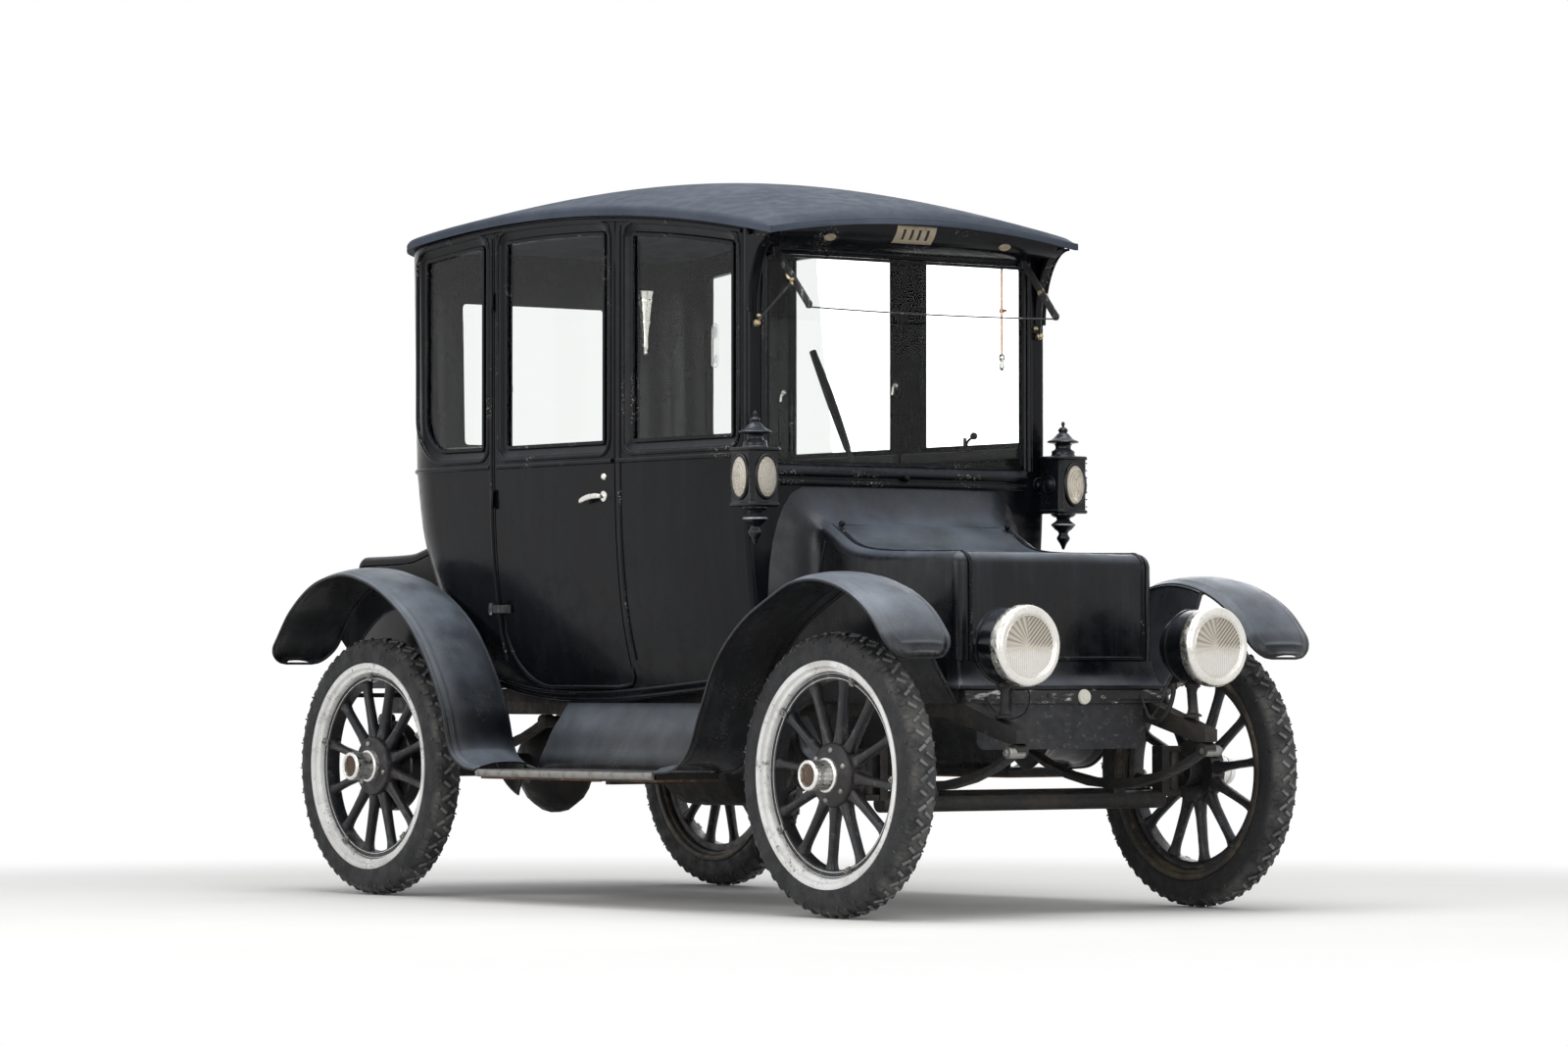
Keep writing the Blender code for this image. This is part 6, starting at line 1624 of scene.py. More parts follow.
def refined(node: str, look: Look, body: str, bevel: float = 0.002, angle: float = 35.0,
        name: str = "") -> bpy.types.Object:
    """A welded, rounded and smooth-shaded copy that stands for a CAD node.

    Args:
        node: Name of the CAD node.
        look: The finish.
        body: CAD body that it rides on.
        bevel: Width of the rounding.
        angle: Edges sharper than this stay sharp, in degrees.
        name: Name of the object.

    Returns:
        The object.
    """
    mesh = FRAME["nodes"][node].data.copy()
    work = bmesh.new()
    work.from_mesh(mesh)
    bmesh.ops.remove_doubles(work, verts=work.verts, dist=0.00002)
    bmesh.ops.dissolve_limit(work, angle_limit=radians(1.0), verts=work.verts, edges=work.edges)
    work.to_mesh(mesh)
    work.free()
    return finished(loose_object(name or f"{node}_dressed", mesh), look, body, [node], angle, bevel)


@dataclass
class Roof:
    """Fabric roof with its edge roll, front cove and brackets; the vent on the cove is made with the screen."""

    plan: CarPlan
    thick: float = 0.03
    edge: float = 0.013

    def stations(self) -> list[tuple[float, float]]:
        """Place along the car and half width of each row.

        Returns:
            The points of the line.
        """
        plan, radius = self.plan, 0.294
        rows = [(y, plan.roof_half) for y in np.linspace(plan.roof_front, plan.roof_rear - radius, 46)]
        for angle in np.linspace(0, pi / 2, 26)[1:]:
            rows.append((plan.roof_rear - radius + radius * sin(angle),
                plan.roof_half - radius + radius * cos(angle)))
        return rows

    def build(self) -> None:
        """Make the skin, the edge rolls and the front."""
        plan, rows = self.plan, []
        spread = np.sin(np.linspace(-pi / 2, pi / 2, 41))
        for y, half in self.stations():
            top, under = [], []
            for t in spread:
                x = half * t
                near = min((half - abs(x)), y - plan.roof_front, plan.roof_rear - y)
                dip = self.edge * (1 - sqrt(max(1 - (1 - min(near / self.edge, 1.0)) ** 2, 0)))
                z = plan.roof_height(x, y)
                top.append((x, y, z - dip))
                under.append((x, y, z - self.thick))
            rows.append(top + under[::-1])
        piece("roof_skin", Shape().skin(rows), Look.ROOF, replaces=["roof"], angle=60)
        self.build_rolls()
        self.build_front()

    def edge_path(self, inset: float, drop: float) -> list[tuple[float, float, float]]:
        """Line round the roof, from the front left corner back and round to the front right one.

        Args:
            inset: How far it is drawn in.
            drop: Distance below the roof's skin.

        Returns:
            The points of the line.
        """
        side = [(half - inset, min(y, self.plan.roof_rear - inset)) for y, half in self.stations()]
        left = [(x, y) for x, y in side if x > 0.01]
        whole = left + [(-x, y) for x, y in reversed(left)]
        return [(x, y, self.plan.roof_height(x, y) - drop) for x, y in whole]

    def build_rolls(self) -> None:
        """Piping and a rolled lower edge all round."""
        shape = Shape().rod(self.edge_path(0.0045, 0.013), 0.0045, 10)
        lower = self.edge_path(0.006, 0.0245)
        shape.rod(lower, 0.006, 12)
        front = [(x, self.plan.roof_front + 0.006,
            self.plan.roof_height(x, self.plan.roof_front) - 0.0245) for x in np.linspace(-0.616, 0.616, 40)]
        shape.rod(front, 0.006, 12)
        shape.rod([(x, y - 0.0015, z + 0.0115) for x, y, z in front], 0.0045, 10)
        piece("roof_edge_roll", shape, Look.ROOF, angle=60)

    def build_front(self) -> None:
        """The concave header under the front of the roof, with its brackets."""
        plan = self.plan
        start, end = plan.dash + 0.002, plan.roof_front + 0.022
        rows = []
        for x in np.linspace(-0.585, 0.585, 41):
            high = plan.roof_height(x, end) - self.thick + 0.004
            low = 2.062
            curve = [(x, end + (start - end) * (1 - cos(t)),
                low + (high - low) * (1 - sin(t))) for t in np.linspace(0, pi / 2, 12)]
            rows.append([(x, start + 0.02, high + 0.015), (x, end, high + 0.01), *curve,
                (x, start + 0.02, low - 0.004)])
        piece("roof_header", Shape().skin(rows), Look.TRIM, angle=50)
        shape = Shape()
        inner_x, outer_x = 0.56, 0.604
        line = []
        for t in np.linspace(0, pi / 2, 26):
            line.append((plan.dash - 0.001 - 0.122 * (1 - cos(t)), 1.86 + 0.238 * sin(t)))
        rows = []
        for y, z in line:
            rows.append([(inner_x, y, z), (outer_x, y, z), (outer_x, y + 0.01, z + 0.004),
                (inner_x, y + 0.01, z + 0.004)])
        shape.skin(rows)
        for x in (inner_x + 0.004, outer_x - 0.004):
            shape.rod([(x, y - 0.001, z) for y, z in line], 0.0042, 8)
        web, root = (0.602, 0.596), plan.dash + 0.003
        shape.skin([[(web[0], y, z), (web[0], root, z), (web[1], root, z), (web[1], y, z)] for y, z in line])
        piece("roof_brackets", shape.both(), Look.TRIM, angle=50)


@dataclass
class Nose:
    """Hood lid, its fixed shoulders, the cowl and the flared apron."""

    plan: CarPlan
    half: float = 0.39
    lid_half: float = 0.35
    hinge: tuple[float, float] = (-0.775, 1.2)
    front: float = -1.445
    top: float = 1.105
    low: float = 0.774
    sheet: float = 0.014
    corner: float = 0.045
    base: float = 0.688

    def line(self, start: float = 0.0) -> list[tuple[float, float]]:
        """Side view of the hood: along its top, round the nose and down its face, as (y, z).

        Args:
            start: Where the line starts.

        Returns:
            The points of the line.
        """
        shares = ((0.0, 0.0), (0.045, 0.17), (0.1, 0.38), (0.155, 0.6), (0.22, 0.76), (0.32, 0.87),
            (0.45, 0.93), (0.68, 0.975), (0.88, 1.0))
        (y0, z0), y1, z1 = self.hinge, self.front, self.top
        known = [(y0 + (y1 - y0) * along + (start if not along else 0), z0 + (z1 - z0) * down) for along,
            down in shares]
        points = [(p.x, p.y) for p in smooth_line(known, 5)]
        points += [(y1 + self.corner - self.corner * sin(t),
            z1 - self.corner + self.corner * cos(t)) for t in np.linspace(0.1, pi / 2, 12)]
        points += [(y1, z) for z in np.linspace(z1 - self.corner, self.low, 12)[1:]]
        return points

    def frames(self) -> list[tuple[Vector, Vector]]:
        """Each point of the line with its outward direction, in (x, y, z).

        Returns:
            The stations.
        """
        line = self.line()
        found = []
        for index, (y, z) in enumerate(line):
            before, after = line[max(index - 1, 0)], line[min(index + 1, len(line) - 1)]
            way = Vector((0, after[0] - before[0], after[1] - before[1])).normalized()
            found.append((Vector((0, y, z)), Vector((0, way.z, -way.y))))
        return found

    def build(self) -> None:
        """Make the lid and the fixed panels."""
        frames = self.frames()
        half, sheet = self.lid_half, self.sheet
        rows = []
        for spot, out in frames:
            across = [(-half, -sheet), (-half, 0.0), *[(x,
                0.0035 * (1 - (x / half) ** 2) - 0.0035) for x in np.linspace(-half, half, 15)][1:-1],
                (half, 0.0), (half, -sheet)]
            rows.append([spot + Vector((x, 0, 0)) + out * rise for x, rise in across])
        lid = Shape().skin(rows)
        piece("hood_lid_panel", lid, Look.HOOD, "hood_lid", replaces=["hood_lid"], angle=40)
        bead = Shape()
        for sign in (-1, 1):
            path = [spot + Vector((sign * (half - 0.008), 0, 0)) + out * -0.0015 for spot, out in frames[4:]]
            bead.sweep(path, half_round(0.013, 0.0062), [out for _, out in frames[4:]])
        low = frames[-1][0] + frames[-1][1] * -0.0015 + Vector((0, 0, 0.007))
        bead.sweep([low + Vector((x, 0, 0)) for x in np.linspace(-half + 0.008, half - 0.008, 9)],
            half_round(0.013, 0.0062), frames[-1][1])
        knob_y, knob_z = frames[3][0].y, frames[3][0].z
        piece("hood_lid_beads", bead, Look.TRIM, "hood_lid", angle=50)
        knobs = Shape()
        for sign in (-1, 1):
            knobs.turned([(0, 0.026), (0.007, 0.025), (0.0105, 0.019), (0.009, 0.013), (0.0055, 0.01),
                (0.0055, 0.006), (0.013, 0.004), (0.013, -0.004), (0, -0.004)], (sign * (half - 0.016), knob_y,
                knob_z - 0.005), (0, -0.45, 1), 24)
        piece("hood_lid_knobs", knobs, Look.TRIM, "hood_lid", angle=50)
        self.build_sides(frames)
        self.build_cowl()

    def build_sides(self, frames: list[tuple[Vector, Vector]]) -> None:
        """Rounded shoulders outside the lid, walls and apron.

        Args:
            frames: Stations along the strip.
        """
        inner, outer = self.lid_half + 0.0055, self.half
        reach = outer - inner
        shape = Shape()
        rows = []
        for spot, out in frames:
            bend = [(inner + reach * sin(t), -reach * (1 - cos(t))) for t in np.linspace(0, pi / 2, 10)]
            back = [(inner + (reach - 0.008) * sin(t),
                -0.008 - (reach - 0.008) * (1 - cos(t))) for t in np.linspace(pi / 2, 0, 10)]
            rows.append([spot + Vector((x, 0, 0)) + out * rise for x, rise in [*bend, *back]])
        shape.skin(rows)
        edge = [spot - out * (reach - 0.001) for spot, out in frames]
        outline = [(p.y, max(p.z, self.base + 0.002)) for p in edge]
        outline += [(outline[-1][0], self.base), (outline[0][0], self.base)]
        shape.joined(block_x(((outer - 0.008, outline), (outer, outline))))
        strip = [(self.hinge[0] - 0.015, self.hinge[1] - 0.055), (self.hinge[0] + 0.1, self.base + 0.12)]
        shape.sweep([(outer, y, z) for y, z in strip], half_round(0.011, 0.005), (1, 0, 0))
        whole = shape.both()
        whole.box((-outer + 0.004, self.front + 0.036, self.base), (outer - 0.004, self.hinge[0] + 0.016,
            self.base + 0.014))
        rows = []
        for z, flare in ((self.low - 0.002, 0.0), (0.758, 0.001), (0.735, 0.005), (0.718, 0.011), (0.704, 0.02),
                (0.697, 0.027), (0.688, 0.03)):
            half = outer + flare * 0.6
            front = self.front - flare
            ring = [(half, self.front + 0.05, z), (half, front + 0.012, z), (half - 0.004, front + 0.004, z),
                (half - 0.012, front, z)]
            rows.append(ring + [(-x, y, z) for x, y, _ in reversed(ring)])
        whole.skin(rows)
        whole.sweep([(x, self.front - 0.027, 0.6945) for x in (-0.405, -0.2, 0.2, 0.405)],
            half_round(0.011, 0.003), (0, -1, 0))
        piece("hood_sides", whole, Look.HOOD, replaces=["hood_body"], angle=42)

    def build_cowl(self) -> None:
        """The hollow cowl that opens out to the dash, with its crease and screen ledge."""
        front = [(1.0, 0.0), (1.0, 0.3), (1.0, 0.6), (1.0, 0.8), (0.995, 0.9), (0.975, 0.955), (0.945, 0.985),
            (0.9, 0.998), (0.8, 1.0), (0.5, 1.0), (0.2, 1.0)]
        back = [(1.0, 0.0), (1.0, 0.22), (0.997, 0.44), (0.985, 0.6), (0.96, 0.72), (0.925, 0.815),
            (0.88, 0.895), (0.82, 0.958), (0.735, 0.992), (0.5, 1.0), (0.2, 1.0)]
        rows = []
        (y0, z0), y1, z1 = self.hinge, self.plan.dash - 0.0003, 1.325
        for t in np.linspace(0, 1, 22):
            ease = t ** 1.9
            half = self.half + (0.523 - self.half) * ease
            high = z0 + (z1 - z0) * (0.12 * t + 0.88 * ease)
            y = y0 + 0.0055 + (y1 - y0 - 0.0055) * t
            right = []
            for (out_a, up_a), (out_b, up_b) in zip(front, back):
                out, up = out_a + (out_b - out_a) * ease, up_a + (up_b - up_a) * ease
                right.append((half * out, y, self.base + (high - self.base) * up))
            rows.append(right + [(-x, y, z) for x, _, z in reversed(right)])
        shape = Shape().skin(rows)
        shape.box((-0.348, y0 + 0.004, z0 - 0.016), (0.348, y0 + 0.016, z0 - 0.001))
        piece("cowl", shape, Look.HOOD, replaces=["hood_body"], angle=46)
        rail = Shape()
        for z, rise in ((1.333, 0.0085), (1.362, 0.0125)):
            rail.sweep([(x, self.plan.dash - 0.001, z) for x in (-0.52, 0.0, 0.52)], half_round(0.022, rise),
                (0, -1, 0))
        rail.turned([(0, 0.017), (0.006, 0.017), (0.01, 0.012), (0.01, 0.0), (0, 0.0)],
            (0.02, self.plan.dash - 0.006, 1.352), (0, -1, 0.2), 20)
        piece("screen_sill", rail, Look.TRIM, angle=50)


@dataclass
class Tail:
    """Rear deck: lid and body with rounded edges."""

    half: float = 0.46
    hinge: tuple[float, float] = (1.33, 1.17)
    rear: float = 1.765
    top: float = 1.14
    corner: float = 0.045
    low: float = 0.774
    base: float = 0.688

    def line(self) -> list[tuple[float, float]]:
        """Side view of the deck lid, as (y, z).

        Returns:
            The points of the line.
        """
        (y0, z0), fall = self.hinge, self.hinge[1] - self.top
        shares = ((0.0, 0.0), (0.1, 0.38), (0.22, 0.76), (0.45, 0.93), (0.88, 1.0))
        points = [(p.x, p.y) for p in smooth_line([(y0 + (self.rear - y0) * a, z0 - fall * d) for a,
            d in shares], 7)]
        points += [(self.rear - self.corner + self.corner * sin(t),
            self.top - self.corner + self.corner * cos(t)) for t in np.linspace(0.1, pi / 2, 12)]
        return points + [(self.rear, z) for z in np.linspace(self.top - self.corner, self.low, 10)[1:]]

    def build(self) -> None:
        """Make the lid with its rounded sides and a handle; the body keeps its solid, refined."""
        line, rows = self.line(), []
        round_side = 0.02
        for index, (y, z) in enumerate(line):
            before, after = line[max(index - 1, 0)], line[min(index + 1, len(line) - 1)]
            way = Vector((0, after[0] - before[0], after[1] - before[1])).normalized()
            out = Vector((0, -way.z, way.y))
            half = self.half
            bend = [(half - round_side + round_side * sin(t),
                -round_side * (1 - cos(t))) for t in np.linspace(0, pi / 2, 7)]
            right = [*bend, (half, -0.029), (half - 0.01, -0.029), (half - 0.012, -0.014)]
            top = [(-x, r) for x, r in reversed(bend)]
            under = [(-half + 0.012, -0.014), (-half + 0.01, -0.029), (-half, -0.029)]
            rows.append([Vector((x, y, z)) + out * r for x, r in [*top, *right, *under]])
        piece("deck_lid_panel", Shape().skin(rows), Look.BODY, "deck_lid", replaces=["deck_lid"], angle=45)
        knob = Shape()
        for x in (-0.05, 0.05):
            knob.turned([(0, 0.0), (0.009, 0.0), (0.009, -0.004), (0, -0.004)], (x, self.rear - 0.001, 0.83),
                (0, 1, 0), 20)
        piece("deck_lid_studs", knob, Look.TRIM, "deck_lid", angle=50)
        refined("deck_body", Look.BODY, "car", 0.003)


@dataclass
class Fenders:
    """Crowned fenders with rolled beads, their splash aprons and the running boards."""

    plan: CarPlan
    track: float = 0.7175
    wide: float = 0.262
    sheet: float = 0.006
    crown: float = 0.026
    board: float = 0.43
    columns: int = 45
    front: tuple[tuple[float, float], ...] = ((-1.0, 0.6), (-0.965, 0.655), (-0.9, 0.725), (-0.72, 0.85),
        (-0.45, 0.95), (-0.12, 1.0), (0.09, 0.985), (0.2, 0.93), (0.415, 0.783), (0.577, 0.586), (0.693, 0.303),
        (0.765, 0.116), (0.86, 0.022), (1.0, 0.0))
    rear: tuple[tuple[float, float], ...] = ((-1.0, 0.0), (-0.9, 0.018), (-0.812, 0.085), (-0.745, 0.305),
        (-0.63, 0.541), (-0.483, 0.74), (-0.26, 0.908), (-0.046, 0.99), (0.16, 1.0), (0.45, 0.947),
        (0.72, 0.812), (0.89, 0.66), (0.965, 0.59), (1.0, 0.54))

    def frames(self, shares: Sequence[Spot], axle: float, fore: float, aft: float,
            top: float) -> list[tuple[Vector, Vector, float]]:
        """Each point of a fender's side line, its upward direction and its distance from the free tip.

        Args:
            shares: Places along the strip, from 0 to 1.
            axle: Place of the axle.
            fore: Reach to the front.
            aft: Reach to the back.
            top: Height of the crown.

        Returns:
            The points of the line.
        """
        rise = top - self.crown - self.board
        known = [(axle + a * (fore if a < 0 else aft), self.board + rise * u) for a, u in shares]
        line = smooth_line(known, 9)
        tip_first = known[0][1] > known[-1][1]
        run = [0.0]
        for one, two in zip(line, line[1:]):
            run.append(run[-1] + (two - one).length)
        found = []
        for index, spot in enumerate(line):
            way = (line[min(index + 1, len(line) - 1)] - line[max(index - 1, 0)]).normalized()
            far = run[index] if tip_first else run[-1] - run[index]
            found.append((Vector((0, spot.x, spot.y)), Vector((0, -way.y, way.x)), far))
        return found

    def half_width(self, far: float) -> float:
        """Half the fender's width at a distance from its rounded tip.

        Args:
            far: Distance from the crown.

        Returns:
            The value.
        """
        reach = 0.085
        share = min(far / reach, 1.0)
        return self.wide / 2 * (0.42 + 0.58 * sqrt(1 - (1 - share) ** 2))

    def strip(self, frames: list[tuple[Vector, Vector, float]], inset_line: bool) -> Shape:
        """The crowned sheet with a rolled edge and a raised line inside it.

        Args:
            frames: Stations along the strip.
            inset_line: Whether the inset line is pressed in.

        Returns:
            The shape.
        """
        rows = []
        for spot, up, far in frames:
            half = self.half_width(far)
            outer, inner = [], []
            for t in np.sin(np.linspace(-pi / 2, pi / 2, self.columns)):
                side = half * (1 - abs(t))
                near = min(side, far + 0.002)
                lift = self.crown * (1 - abs(t) ** 2.6)
                lift += 0.0032 * math.exp(-((near - 0.006) / 0.0045) ** 2)
                line = 0.036 if inset_line else 0.024
                seen = near if inset_line else half * (1 - t)
                lift += 0.0026 * math.exp(-((seen - line) / 0.005) ** 2) * (1.0 if inset_line or t > 0 else 0.0)
                x = self.track + half * t
                drop = 0.0036
                outer.append(spot + Vector((x, 0, 0)) + up * (lift - drop))
                inner.append(spot + Vector((x, 0, 0)) + up * (lift - drop - self.sheet + 0.002))
            rows.append(outer + inner[::-1])
        return Shape().skin(rows)

    def edge_roll(self, frames: list[tuple[Vector, Vector, float]]) -> Shape:
        """The wired edge: a thin roll round both sides and the tip.

        Args:
            frames: Stations along the strip.

        Returns:
            The shape.
        """
        right = [spot + Vector((self.track + self.half_width(far) - 0.004, 0, 0)) - up * 0.003 for spot, up,
            far in frames]
        left = [spot + Vector((self.track - self.half_width(far) + 0.004, 0, 0)) - up * 0.003 for spot, up,
            far in frames]
        path = right[::-1] + left if frames[0][2] < frames[-1][2] else right + left[::-1]
        return Shape().rod(path, 0.0042, 10)

    def build(self) -> None:
        """Make all four fenders, the aprons and the boards."""
        front = self.frames(self.front, -1.275, 0.405, 0.775, 1.044)
        rear = self.frames(self.rear, 1.225, 0.755, 0.505, 1.095)
        for end, frames in (("front", front), ("rear", rear)):
            shape = self.strip(frames, end == "front").joined(self.edge_roll(frames))
            for side, sign in SIDES:
                made = shape if sign > 0 else shape.mirrored()
                piece(f"fender_{end}_{side}_skin", made, Look.FENDER, replaces=[f"fender_{end}_{side}"],
                    angle=60)
        self.build_aprons(front, rear)
        self.build_boards()

    def build_aprons(self, front: list, rear: list) -> None:
        """The splash panels between fenders and frame.

        Args:
            front: Stations of the front fender.
            rear: Stations of the rear fender.
        """
        for side, sign in SIDES:
            foot = Vector((0.4018, 0, 0.645))
            rows = []
            for spot, up, _ in front:
                if spot.y < -1.445 or (spot.z < self.board + 0.004):
                    continue
                top = Vector((0.5875, spot.y, spot.z - 0.008))
                way = Vector((top.x - foot.x, 0, top.z - foot.z))
                bow = Vector((-way.z, 0, way.x)).normalized()
                line = [Vector((foot.x, spot.y, foot.z)) + way * t - bow * 0.018 * sin(pi * t) *
                    min(way.length / 0.3, 1) for t in np.linspace(0, 1, 10)]
                rows.append([p + bow * 0.0035 for p in line] + [p - bow * 0.0035 for p in reversed(line)])
            shape = Shape().skin(rows)
            edge = [row[9] for row in rows]
            shape.rod([rows[0][t] for t in range(10)], 0.0065, 10)
            shape.rod([p + Vector((0, 0, -0.003)) for p in edge], 0.0045, 8)
            made = shape if sign > 0 else shape.mirrored()
            piece(f"splash_apron_{side}", made, Look.FENDER, replaces=[f"fender_front_{side}"], angle=50)
            rows = []
            for spot, up, far in rear:
                if spot.z <= self.board + 0.012 or far < 0.1:
                    continue
                rows.append([spot + Vector((x, 0, 0)) - up * d for x, d in ((0.587, 0.11), (0.5935, 0.11),
                    (0.5935, 0.004), (0.587, 0.004))])
            shape = Shape().skin(rows)
            shape.rod([row[0] + Vector((0.003, 0, 0)) for row in rows], 0.0045, 8)
            made = shape if sign > 0 else shape.mirrored()
            piece(f"fender_skirt_{side}", made, Look.FENDER, replaces=[f"fender_rear_{side}"], angle=50)

    def build_boards(self) -> None:
        """Running boards: ribbed mat, metal edge, curved valance and a rusty tray."""
        start, end = -0.4985, 0.4685
        inner, outer, top = 0.5865, 0.8485, self.board
        deck, edge, valance, tray = Shape(), Shape(), Shape(), Shape()
        deck.box((inner, start, top - 0.024), (outer - 0.012, end, top - 0.003))
        for x in np.arange(inner + 0.03, outer - 0.022, 0.0125):
            deck.sweep([(x, start + 0.008, top - 0.003), (x, end - 0.008, top - 0.003)],
                half_round(0.0065, 0.0026), (0, 0, 1))
        nosing = [(outer - 0.014, top - 0.005), (outer - 0.014, top - 0.0003),
            *arc((outer - 0.0125, top - 0.0128), (0.0125, 0.0125), 90, -90, 12), (outer - 0.02, top - 0.0253),
            (outer - 0.02, top - 0.02)]
        edge.skin([[(x, y, z) for x, z in nosing] for y in (start, end)])
        edge.skin([[(x, y, z) for x, z in ((inner + 0.01, top - 0.004), (inner + 0.01, top - 0.0005),
            (inner + 0.022, top - 0.0005), (inner + 0.022, top - 0.004))] for y in (start, end)])
        curve = [(inner + 0.008, top - 0.004), (inner + 0.0075, top + 0.025), (0.572, 0.5), (0.543, 0.555),
            (0.507, 0.603), (0.4785, 0.642)]
        line = [(p.x, p.y) for p in smooth_line(curve, 7)]
        back = [(x - 0.0065, z - 0.002) for x, z in reversed(line)]
        valance.skin([[(x, y, z) for x, z in line + back] for y in (start, end)])
        tray.box((inner + 0.004, start + 0.002, top - 0.0316), (outer - 0.022, end - 0.002, top - 0.0242))
        for x in (inner + 0.012, outer - 0.034):
            tray.box((x, start + 0.02, top - 0.0318), (x + 0.01, end - 0.02, top - 0.027))
        for side, sign in SIDES:
            for name, shape, look in (("mat", deck, Look.BOARD), ("edge", edge, Look.STEEL),
                    ("valance", valance, Look.FENDER), ("tray", tray, Look.RUST)):
                made = shape if sign > 0 else shape.mirrored()
                piece(f"running_board_{name}_{side}", made, look, replaces=[f"running_board_{side}"], angle=40)


@dataclass
class Wheels:
    """Tyres with their tread, rims, spokes, hubs and caps, built about X and set in place."""

    rings: RingArray
    tyre_radius: float = 0.4226
    half_tyre: float = 0.054
    bead: float = 0.344
    blocks: int = 60
    spokes: int = 12

    def tyre(self) -> Shape:
        """Carcass with zigzag bars and shoulder blocks; its value `lay` rises to the tread.

        Returns:
            The shape.
        """
        side = [(0.3315, 0.0305), (0.344, 0.049), (0.35, 0.0522), (0.362, 0.0538), (0.378, 0.054),
            (0.3935, 0.0528), (0.4055, 0.0485), (0.415, 0.04), (0.42, 0.03), (0.4222, 0.016), (0.4226, 0.0)]
        line = [(p.x, p.y) for p in smooth_line(side, 4)]
        profile = line + [(r, -x) for r, x in reversed(line[:-1])]
        lay = [0.86 * min(max((r - 0.35) / (0.4226 - 0.35), 0), 1) for r, _ in profile]
        shape = Shape().turned(profile, axis=(1, 0, 0), segments=120, looped=True, lay=lay)
        bar = Shape().skin([[(x, y, 0.0) for x, y in ((-0.0155, -0.0055), (0.0155, -0.0055), (0.0155, 0.0055),
            (-0.0155, 0.0055))], [(x, y, 0.0065) for x, y in ((-0.0145, -0.0045), (0.0145, -0.0045),
            (0.0145, 0.0045), (-0.0145, 0.0045))]])
        block = Shape().skin([[(x, y, -0.003) for x, y in ((-0.0105, -0.0072), (0.0105, -0.0072),
            (0.0105, 0.0072), (-0.0105, 0.0072))], [(x, y, 0.0042) for x, y in ((-0.0092, -0.006),
            (0.0092, -0.006), (0.0092, 0.006), (-0.0092, 0.006))]])
        rib = Shape().box((-0.0012, -0.0022, -0.01), (0.0014, 0.0022, 0.01))
        step = 2 * pi / self.blocks
        extras = []
        for sign in (-1, 1):
            extras.append(self.rings.spread(bar, Look.TYRE, Count=self.blocks, Radius=0.4222,
                Offset=sign * 0.0125, Start=step * (0.5 if sign > 0 else 0), Lean=sign * 0.1, Roll=0.62))
            extras.append(self.rings.spread(block, Look.TYRE, Count=self.blocks, Radius=0.4146,
                Offset=sign * 0.0385, Start=step * 0.25, Lean=sign * 0.8, Roll=0.0))
        for sign in (-1, 1):
            extras.append(self.rings.spread(rib, Look.TYRE, Count=self.blocks // 2, Radius=0.3965,
                Offset=sign * 0.052, Start=0.0, Lean=sign * 0.22, Roll=0.0))
        # a lay of 1 marks the bar tops for their pale rubbed colour and painted highlight
        bar_top, carcass_lay = 0.426, 0.86
        for extra in extras:
            shape.add(extra.points, extra.faces, [1.0 if math.hypot(p[1],
                p[2]) > bar_top else carcass_lay for p in extra.points])
        return shape

    def rim(self) -> tuple[Shape, Shape]:
        """Pale outer half with its flange and rolled step, and the dark inner half.

        Returns:
            The two shapes, in that order.
        """
        side = [(0.344, 0.049), (0.3438, 0.0524), (0.3415, 0.0536), (0.33, 0.053), (0.3265, 0.0518),
            (0.3245, 0.0478), (0.3228, 0.042), (0.3205, 0.0396), (0.316, 0.0398), (0.3125, 0.0376),
            (0.3108, 0.033), (0.3108, 0.024)]
        turn = {"axis": (1, 0, 0), "segments": 120, "looped": True}
        outer = Shape().turned([*side, (0.3108, 0.018), (0.3302, 0.018), (0.3302, 0.031)], **turn)
        back = [(r, -x) for r, x in reversed(side)]
        inner = Shape().turned([(0.3108, 0.0177), *back, (0.3302, -0.031), (0.3302, 0.0177)], **turn)
        return outer, inner

    def felloe(self) -> Shape:
        """The dark wooden ring; its two fine pale lines are made by lines()."""
        half = [(0.311, 0.0215), (0.3085, 0.0242), (0.2895, 0.0242), (0.2862, 0.022), (0.285, 0.017)]
        return Shape().turned([*half, *[(r, -x) for r, x in reversed(half)]], axis=(1, 0, 0), segments=96,
            looped=True)

    def lines(self) -> Shape:
        """Fine painted lines on the felloe.

        Returns:
            The shape.
        """
        shape = Shape()
        for radius in (0.3062, 0.2918):
            ring = [(radius - 0.0009, 0.0241), (radius - 0.0009, 0.0247), (radius + 0.0009, 0.0247),
                (radius + 0.0009, 0.0241)]
            shape.turned(ring, axis=(1, 0, 0), segments=96, looped=True)
        return shape

    def spoke(self) -> Shape:
        """One oval spoke with a wedge root and a flared foot.

        Returns:
            The shape.
        """
        rows = []
        for reach, wide, deep, power in ((0.06, 0.015, 0.0215, 3.5), (0.085, 0.0212, 0.0215, 3.5),
                (0.1, 0.0218, 0.0212, 2.8), (0.116, 0.0182, 0.0204, 2.3), (0.145, 0.015, 0.0192, 2.0),
                (0.2, 0.0134, 0.018, 2.0), (0.245, 0.0136, 0.0174, 2.0), (0.264, 0.0156, 0.0176, 2.0),
                (0.276, 0.0185, 0.019, 2.1), (0.289, 0.0235, 0.0205, 2.4)):
            ring = []
            for turn in np.linspace(0, 2 * pi, 21)[:-1]:
                c, s = cos(turn), sin(turn)
                ring.append((deep * math.copysign(abs(c) ** (2 / power), c),
                    wide * math.copysign(abs(s) ** (2 / power), s), reach))
            rows.append(ring)
        return Shape().skin(rows)

